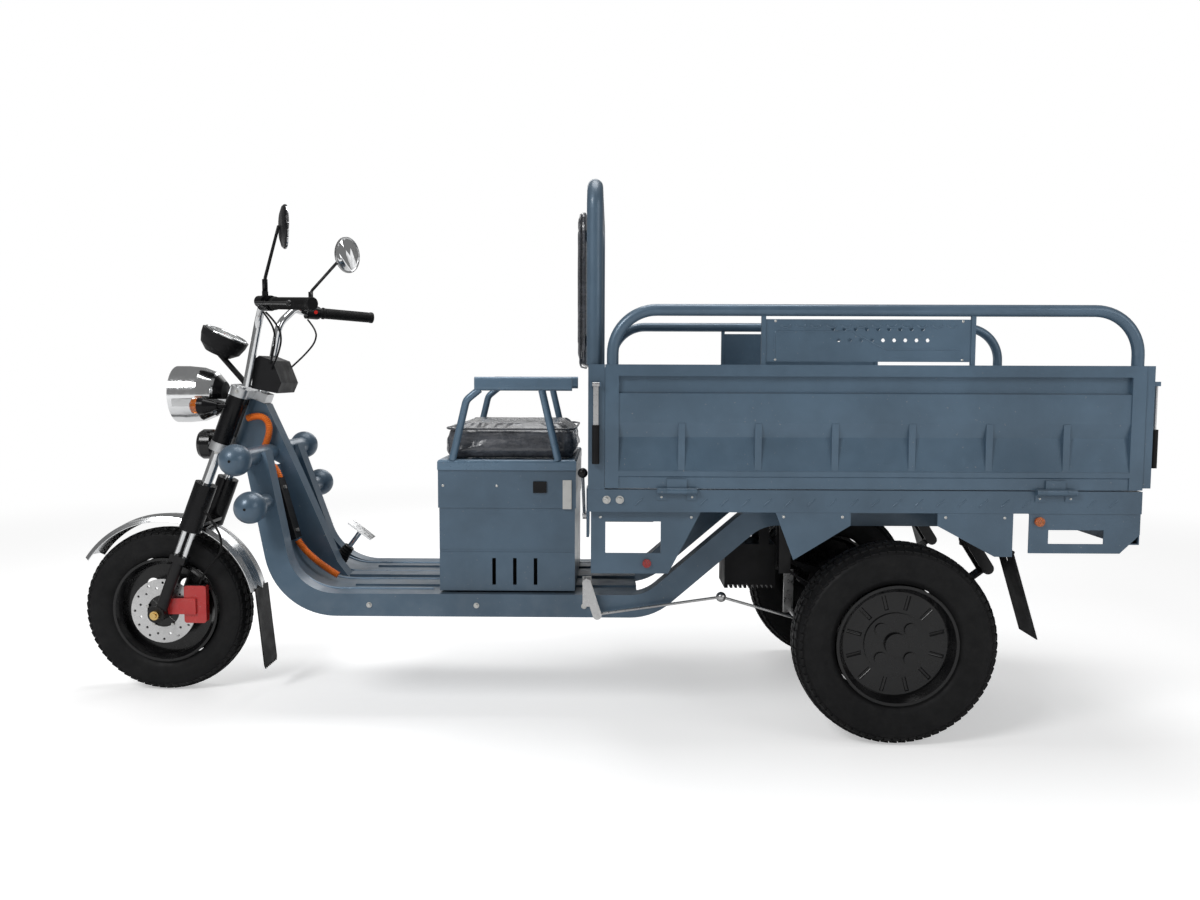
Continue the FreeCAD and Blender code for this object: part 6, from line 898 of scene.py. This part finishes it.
CABLES = {
    "control_cable_outer": (LEFT, [(-0.938, 0.205, 1.214), (-0.905, 0.196, 1.178), (-0.902, 0.172, 1.138),
                                   (-0.922, 0.138, 1.100), (-0.950, 0.100, 1.062), (-0.968, 0.078, 1.040)]),
    "control_cable_inner": (LEFT, [(-0.950, 0.196, 1.216), (-0.930, 0.184, 1.186), (-0.926, 0.160, 1.150),
                                   (-0.938, 0.130, 1.120), (-0.958, 0.098, 1.082), (-0.972, 0.078, 1.056)]),
    "throttle_cable": (RIGHT, [(-0.938, 0.205, 1.214), (-0.905, 0.196, 1.178), (-0.902, 0.172, 1.138),
                               (-0.922, 0.138, 1.100), (-0.950, 0.100, 1.062), (-0.968, 0.078, 1.040)]),
}
HOSES = {
    "conduit_loop": [(-1.058, -0.052, 0.888), (-1.006, -0.052, 0.906), (-0.979, -0.052, 0.848), (-1.008, -0.052, 0.790)],
    "conduit_upper": [(-0.984, -0.115, 0.760), (-0.946, -0.115, 0.745), (-0.937, -0.115, 0.705)],
    "conduit_lower": [(-0.883, -0.115, 0.509), (-0.854, -0.115, 0.456), (-0.758, -0.115, 0.398)],
}


class TRICYCLE_OT_cables(bpy.types.Operator):
    """Lays the control cables, the ribbed orange conduit and the pedal's bellows"""
    bl_idname = "tricycle.cables"
    bl_label = "Cables and hoses"

    def execute(self, context):
        for name, (side, route) in CABLES.items():
            points = [Vector((x, side * y, z)) for x, y, z in route]
            line = smooth_line(points)
            made = spline_curve(name, points, 0.003)
            made.data.materials.append(MATERIALS["smooth_black"])
            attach(made, "steering")
            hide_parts("control_cables")
        for name, route in HOSES.items():
            line = evenly(smooth_line([Vector(spot) for spot in route]), 0.0009)
            made = tube_along(line, self.rib, sides=28)
            settle(made, name, "hose_plastic", "chassis", angle=50, replaces=["orange_conduit"])
        self.bellows()
        return {"FINISHED"}

    def rib(self, travelled):
        """Radius of the conduit along its length: flat ribs and narrow valleys."""
        wave = math.sin(2 * math.pi * travelled / 0.0055)
        return 0.0100 + 0.00095 * max(-1.0, min(1.0, wave * 2.2))

    def bellows(self):
        base = Vector((-0.812, 0.09, 0.406))
        lean = Vector((0.6, 0.0, 0.8))
        profile = [(0.0088, 0.0), (0.0262, 0.0), (0.0268, 0.0012), (0.0262, 0.0026)]
        steps = 72
        for i in range(steps + 1):
            share = i / steps
            wide = 0.0262 - 0.0080 * share
            profile.append((wide - 0.0028 * (0.5 - 0.5 * math.cos(2 * math.pi * 6 * share)) - 0.0004,
                            0.0032 + share * 0.0535))
        profile += [(0.0178, 0.0578), (0.0174, 0.0596), (0.0088, 0.0598)]
        made = spun(profile, base, lean, steps=48, close=True)
        settle(made, "pedal_bellows", "grip_rubber", "chassis", angle=70, replaces=["pedal_boot"])
        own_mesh(made)


# Small pieces set on the frame

def surface(node, start, direction):
    """Where a line from a point first meets a node, and the face's normal there."""
    body = NODES[node]
    hit, place, normal, _ = body.ray_cast(Vector(start), Vector(direction).normalized())
    if not hit:
        raise RuntimeError("the line from %s along %s misses %s" % (tuple(start), tuple(direction), node))
    return place, normal


def bolt(place, axis, radius, washer=True):
    """A chamfered hexagon head on its washer."""
    axis = Vector(axis).normalized()
    place = Vector(place)
    head = disc(place + axis * radius * 0.62, axis, radius, radius * 0.85, vertices=6, bevel=radius * 0.12)
    parts = [head, disc(place + axis * radius * 1.06, axis, radius * 0.62, radius * 0.12, vertices=20,
                        bevel=radius * 0.04, segments=1)]
    if washer:
        parts.append(disc(place + axis * radius * 0.1, axis, radius * 1.4, radius * 0.24, vertices=28,
                          bevel=radius * 0.06, segments=1))
    return parts


def screw(place, axis, radius):
    """A domed screw head with a cross recess."""
    axis = Vector(axis).normalized()
    profile = [(0.0, radius * 0.5), (radius * 0.35, radius * 0.47), (radius * 0.75, radius * 0.3),
               (radius, radius * 0.08), (radius, 0.0), (0.0, 0.0)]
    made = spun(profile, place, axis, steps=20)
    slots = []
    for turn in (0.0, math.pi / 2):
        slot = block((0, 0, 0), (radius * 1.1, radius * 0.2, radius * 0.3), bevel=0)
        slot.data.transform(Matrix.Rotation(turn, 4, "Z"))
        lie = Vector((0, 0, 1)).rotation_difference(axis).to_matrix().to_4x4()
        slot.data.transform(Matrix.Translation(Vector(place) + axis * radius * 0.5) @ lie)
        slots.append(slot)
    for slot in slots:
        cutter = pick(made).modifiers.new("Slot", "BOOLEAN")
        cutter.operation = "DIFFERENCE"
        cutter.object = slot
        bpy.ops.object.modifier_apply(modifier=cutter.name)
        bpy.data.objects.remove(slot)
    return [made]


class TRICYCLE_OT_fasteners(bpy.types.Operator):
    """Sets bolts and screws on the bed, the gates, the clamps and the wheels"""
    bl_idname = "tricycle.fasteners"
    bl_label = "Bolts and screws"

    def execute(self, context):
        radius = sizes().bolt
        self.bed(radius)
        self.gates(radius)
        self.chassis(radius)
        self.steering(radius)
        self.wheels(radius)
        return {"FINISHED"}

    def on_sides(self, node, places, radius, make=bolt):
        parts = []
        for x, z in places:
            for side in (LEFT, RIGHT):
                place, normal = surface(node, (x, side * 0.62, z), (0, -side, 0))
                parts += make(place, normal, radius)
        return parts

    def bed(self, radius):
        parts = self.on_sides("bed_base", [(0.087, 0.690), (0.123, 0.690)], radius)
        for x in (0.278, 1.303):
            parts += self.on_sides("bed_base", [(x + 0.016 * k, 0.6985) for k in (-2.6, 2.6)], radius * 0.4, screw)
        parts += self.on_sides("bed_guards", [(0.07, 0.64), (0.32, 0.64), (0.57, 0.645), (0.73, 0.645), (1.01, 0.645),
                                              (1.17, 0.645)], radius * 0.5, screw)
        settle(join(parts), "bed_bolts", "zinc", "bed")
        rear = []
        for y in (-0.46, -0.2, 0.2, 0.46):
            place, normal = surface("bed_base", (1.60, y, 0.668), (-1, 0, 0))
            rear += bolt(place, normal, radius * 0.8)
        settle(join(rear), "bed_rear_bolts", "zinc", "bed")

    def gates(self, radius):
        for side, word in ((LEFT, "left"), (RIGHT, "right")):
            parts = []
            for x, z in ((0.541, 1.176), (1.045, 1.176), (0.541, 1.072), (1.045, 1.072)):
                place, normal = surface("side_gate_" + word, (x, side * 0.62, z), (0, -side, 0))
                parts += screw(place, normal, radius * 0.45)
            settle(join(parts), "gate_screws_" + word, "zinc", "gate_" + word)

    def chassis(self, radius):
        parts = []
        for side in (LEFT, RIGHT):
            for x in (-0.40, -0.24, -0.08):
                place, normal = surface("seat_box", (x, side * 0.62, 0.70), (0, -side, 0))
                if x != -0.08 or side > 0:
                    parts += screw(place, normal, radius * 0.5)
            for x in (-0.62, -0.30, 0.02):
                place, normal = surface("chassis_frame", (x, side * 0.62, 0.344), (0, -side, 0))
                parts += bolt(place, normal, radius * 0.75)
        settle(join(parts), "chassis_bolts", "zinc", "chassis")
        # painted shade: thin black discs sit where the balls' small end holes are dark
        hole_shades = []
        for side in (LEFT, RIGHT):
            for x, y, z in ((-0.995, 0.371, 0.778), (-0.947, 0.390, 0.642)):
                hole_shades.append(disc((x, side * (y + 0.0001), z), (0, side, 0), 0.004, 0.0016, vertices=20, bevel=0.0004))
        settle(join(hole_shades), "ball_hole_shade_discs", "smooth_black", "chassis")

    def steering(self, radius):
        parts = []
        for side in (LEFT, RIGHT):
            for height in (-0.012, -0.215):
                middle = HEAD + LEAN * height + Vector((-0.04, side * 0.20, 0))
                try:
                    place, normal = surface("fork_upper", middle, (0, -side, 0))
                except RuntimeError:
                    continue
                parts += bolt(place, normal, radius * 0.6)
        if parts:
            settle(join(parts), "clamp_bolts", "zinc", "steering")

    def wheels(self, radius):
        parts = []
        for k in range(5):
            turn = 2 * math.pi * (k + 0.25) / 5
            spot = Vector((-1.342 + 0.052 * math.cos(turn), -0.2, 0.266 + 0.052 * math.sin(turn)))
            try:
                place, normal = surface("brake_disc", spot, (0, 1, 0))
            except RuntimeError:
                continue
            parts += bolt(place, (0, -1, 0), radius * 0.7, washer=False)
        if parts:
            settle(join(parts), "disc_bolts", "zinc", "front_wheel")


class TRICYCLE_OT_pressings(bpy.types.Operator):
    """Adds the embossed arcs and outlines of the arch plates and the dashes of the base rails"""
    bl_idname = "tricycle.pressings"
    bl_label = "Pressings"

    def execute(self, context):
        for side, word in ((LEFT, "left"), (RIGHT, "right")):
            skin = surface("side_gate_" + word, (0.60, side * 0.62, 1.12), (0, -side, 0))[0].y
            parts = []
            for i in range(12):
                parts.append(self.arc(Vector((0.5684 + 0.0407 * i, skin, 1.1700)), side))
            outline = [(0.5398, 1.0720), (0.5398, 1.1488), (0.7453, 1.1488), (0.8370, 1.0999), (1.0384, 1.0999)]
            parts.append(self.bead(outline, skin, side, 0.0022))
            parts.append(self.bead([(0.5160, 1.0700), (0.5160, 1.1780)], skin, side, 0.0016))
            parts.append(self.bead([(1.0660, 1.0700), (1.0660, 1.1780)], skin, side, 0.0016))
            settle(join(parts), "plate_pressings_" + word, "gate_paint", "gate_" + word, angle=60)
        dashes = []
        for side in (LEFT, RIGHT):
            skin = surface("bed_base", (0.60, side * 0.62, 0.69), (0, -side, 0))[0].y
            for i in range(23):
                x = 0.175 + 0.0585 * i
                if abs(x - 0.278) < 0.065 or abs(x - 1.303) < 0.065:
                    continue
                dash = block((0, 0, 0), (0.030, 0.0024, 0.0046), bevel=0.0011, segments=2)
                dash.data.transform(Matrix.Rotation(math.radians(-42), 4, "Y"))
                dash.data.transform(Matrix.Translation((x, skin, 0.6845)))
                dashes.append(dash)
        settle(join(dashes), "rail_dashes", "body_paint", "bed", angle=60)
        return {"FINISHED"}

    def arc(self, centre, side):
        line = []
        for k in range(13):
            turn = math.pi * (1.12 + 0.76 * k / 12)
            line.append(centre + Vector((0.0145 * math.cos(turn), 0.0, 0.011 * math.sin(turn))))
        made = tube_along(line, lambda travelled: 0.0026, sides=10)
        return self.flat(made, centre.y)

    def bead(self, corners, skin, side, radius):
        line = [Vector((x, skin, z)) for x, z in corners]
        made = tube_along(self.rounded(line), lambda travelled: radius, sides=10)
        return self.flat(made, skin)

    def rounded(self, line):
        """The same outline with its corners cut by short steps."""
        made = [line[0]]
        for before, corner, after in zip(line, line[1:], line[2:]):
            back = (before - corner).normalized() * 0.007
            on = (after - corner).normalized() * 0.007
            for share in (0.0, 0.25, 0.5, 0.75, 1.0):
                made.append(corner + back * (1 - share) ** 2 + on * share ** 2)
        return made + [line[-1]]

    def flat(self, made, skin):
        """Half as proud as wide, so that it reads as a pressing."""
        made.data.transform(Matrix.Translation((0, skin, 0)) @ Matrix.Diagonal((1, 0.55, 1, 1)) @
                            Matrix.Translation((0, -skin, 0)))
        return made


class TRICYCLE_OT_instruments(bpy.types.Operator):
    """Adds the gauge's dial, the lamp's bulb, the turned mirrors, the grips' ribs and the ridges"""
    bl_idname = "tricycle.instruments"
    bl_label = "Instruments, grips and ridges"

    def execute(self, context):
        self.gauge()
        self.lamp()
        self.mirrors()
        self.grips()
        self.ridges()
        return {"FINISHED"}

    def gauge(self):
        axis = Vector((0.43, 0.0, 0.90)).normalized()
        middle = Vector((-1.139, 0.0, 1.153))
        place = surface("gauge_pod", middle + axis * 0.12, -axis)[0]
        dial = [disc(place + axis * 0.0008, axis, 0.059, 0.0016, vertices=64, bevel=0.0004)]
        settle(join(dial), "gauge_dial", "smooth_black", "steering")
        lie = Vector((0, 0, 1)).rotation_difference(axis).to_matrix().to_4x4()
        ticks = []
        for i in range(25):
            turn = math.radians(-30 + 10 * i)
            long_ = 0.010 if i % 4 == 0 else 0.006
            tick = block((0.052 - long_ / 2, 0, 0.0019), (long_, 0.0012, 0.0006), bevel=0.0002, segments=1)
            tick.data.transform(tick.matrix_world)
            tick.matrix_world = Matrix.Identity(4)
            tick.data.transform(Matrix.Translation(place) @ lie @ Matrix.Rotation(turn, 4, "Z"))
            ticks.append(tick)
        needle = block((0.018, 0, 0.0032), (0.044, 0.0016, 0.0008), bevel=0.0003, segments=1)
        needle.data.transform(needle.matrix_world)
        needle.matrix_world = Matrix.Identity(4)
        needle.data.transform(Matrix.Translation(place) @ lie @ Matrix.Rotation(math.radians(205), 4, "Z"))
        settle(join(ticks), "gauge_ticks", "reflector", "steering")
        hub = disc(place + axis * 0.003, axis, 0.006, 0.003, vertices=24, bevel=0.0008)
        settle(join([needle, hub]), "gauge_needle", "red_plastic", "steering")
        bezel = spun([(0.0595, 0.0), (0.066, 0.0), (0.0672, 0.002), (0.0668, 0.0052), (0.0648, 0.0068), (0.0615, 0.0062),
                      (0.0598, 0.0045)], place, axis, steps=72, close=True)
        settle(bezel, "gauge_bezel", "chrome", "steering", angle=60)
        dome = spun([(0.0, 0.0082), (0.020, 0.0078), (0.040, 0.0066), (0.0585, 0.0046), (0.0595, 0.0038),
                     (0.040, 0.0054), (0.020, 0.0066), (0.0, 0.007)], place, axis, steps=64)
        settle(dome, "gauge_glass", "dial_glass", "steering", angle=60)

    def lamp(self):
        low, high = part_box("headlight_lens")
        centre = (low + high) / 2
        back = high.x
        bowl = spun([(0.078, -0.002), (0.070, -0.022), (0.052, -0.045), (0.026, -0.060), (0.012, -0.063), (0.012, -0.064),
                     (0.027, -0.0612), (0.0535, -0.046), (0.0715, -0.023), (0.0795, -0.002)],
                    (back, centre.y, centre.z), (-1, 0, 0), steps=64, close=True)
        settle(bowl, "lamp_bowl", "reflector", "steering", angle=60)
        bulb = spun([(0.0, -0.026), (0.004, -0.0275), (0.0065, -0.033), (0.0065, -0.048), (0.0085, -0.052), (0.0085, -0.062),
                     (0.0, -0.062)], (back, centre.y, centre.z), (-1, 0, 0), steps=28)
        settle(bulb, "lamp_bulb", "glass", "steering", angle=60)

    def mirrors(self):
        """The mirrors with their heads turned in towards the rider."""
        back, lowest = -0.8484, 1.384
        for side, word in ((LEFT, "left"), (RIGHT, "right")):
            made = node_copy("mirror_" + word)
            turn = about((-0.846, side * 0.34, 1.447), -side * math.radians(26), (0, 0, 1))
            glass = [face.center.x > -0.8306 and face.center.z > lowest for face in made.data.polygons]
            for vertex in made.data.vertices:
                if vertex.co.x > back and vertex.co.z > lowest:
                    vertex.co = turn @ vertex.co
            settle(made, "mirror_turned_" + word, ["smooth_black", "mirror_glass"], "mirror_arm_" + word,
                   replaces=["mirror_" + word])
            for face, shiny in zip(made.data.polygons, glass):
                face.material_index = 1 if shiny else 0

    def grips(self):
        along = Vector((0.8009, 0.5968, -0.0471)).normalized()
        for side, word, body in ((LEFT, "left", "steering"), (RIGHT, "right", "throttle")):
            start = Vector((-0.911, side * 0.232, 1.238))
            axis = Vector((along.x, side * along.y, along.z))
            profile = [(0.0168, 0.016), (0.0198, 0.016), (0.0202, 0.019), (0.0198, 0.022)]
            for i in range(46):
                here = 0.025 + i * 0.0034
                profile += [(0.0173, here), (0.0173, here + 0.0012), (0.0181, here + 0.0019), (0.0181, here + 0.0029)]
            profile += [(0.0176, 0.186), (0.0192, 0.190), (0.0194, 0.196), (0.0184, 0.1985), (0.0, 0.1988), (0.0, 0.196),
                        (0.0168, 0.195)]
            made = spun(profile, start, axis, steps=40, close=True)
            settle(made, "ribbed_grip_" + word, "grip_rubber", body, angle=30)

    def ridges(self):
        """Rounded ridges beside the rails, down the shield and along the floor."""
        fall = (0.988 - 0.868) / (0.785 - 0.344)
        parts = []
        for side in (LEFT, RIGHT):
            for top_y, low_y, size in ((0.112, 0.208, 0.0048), (0.060, 0.060, 0.0040)):
                line = []
                for z in (0.735, 0.66, 0.58, 0.515):
                    share = (0.735 - z) / (0.735 - 0.376)
                    line.append(Vector((0.0145 - 0.988 + (0.785 - z) * fall, side * (top_y + (low_y - top_y) * share), z)))
                turn_low, turn_high = math.radians(-90), math.radians(-90 - 74.8)
                for k in range(1, 14):
                    turn = turn_high + (turn_low - turn_high) * k / 14
                    spot = Vector((-0.7246 + 0.180 * math.cos(turn), 0, 0.556 + 0.180 * math.sin(turn)))
                    share = (0.735 - spot.z) / (0.735 - 0.376)
                    spot.y = side * (top_y + (low_y - top_y) * share)
                    line.append(spot)
                line += [Vector((x, side * low_y, 0.376)) for x in (-0.72, -0.60, -0.44)]
                parts.append(tube_along(evenly(line, 0.012), lambda travelled: size, sides=12))
        # painted highlight: the ridges take the lighter rail paint
        settle(join(parts), "shield_ridges", "seat_rail_paint", "chassis", angle=60)


# Panel and registration

OPERATORS = [
    TRICYCLE_OT_stage,
    TRICYCLE_OT_finishes,
    TRICYCLE_OT_tyres,
    TRICYCLE_OT_cushions,
    TRICYCLE_OT_cables,
    TRICYCLE_OT_fasteners,
    TRICYCLE_OT_pressings,
    TRICYCLE_OT_instruments,
]


class TRICYCLE_PT_sidebar(bpy.types.Panel):
    """Lists the tricycle's operators, sizes and colours"""
    bl_idname = "TRICYCLE_PT_sidebar"
    bl_label = "Tricycle"
    bl_space_type = "VIEW_3D"
    bl_region_type = "UI"
    bl_category = "Tricycle"

    def draw(self, context):
        layout = self.layout
        for operator in OPERATORS:
            layout.operator(operator.bl_idname)
        for group in (context.scene.tricycle_sizes, context.scene.tricycle_colours):
            for name in group.__annotations__:
                layout.prop(group, name)


CLASSES = [TricycleColours, TricycleSizes, *OPERATORS, TRICYCLE_PT_sidebar]


def register():
    for entry in CLASSES:
        bpy.utils.register_class(entry)
    bpy.types.Scene.tricycle_colours = PointerProperty(type=TricycleColours)
    bpy.types.Scene.tricycle_sizes = PointerProperty(type=TricycleSizes)


def unregister():
    del bpy.types.Scene.tricycle_sizes
    del bpy.types.Scene.tricycle_colours
    for entry in reversed(CLASSES):
        bpy.utils.unregister_class(entry)


def main():
    register()
    for operator in OPERATORS:
        group, name = operator.bl_idname.split(".")
        getattr(getattr(bpy.ops, group), name)()


if __name__ == "__main__":
    main()
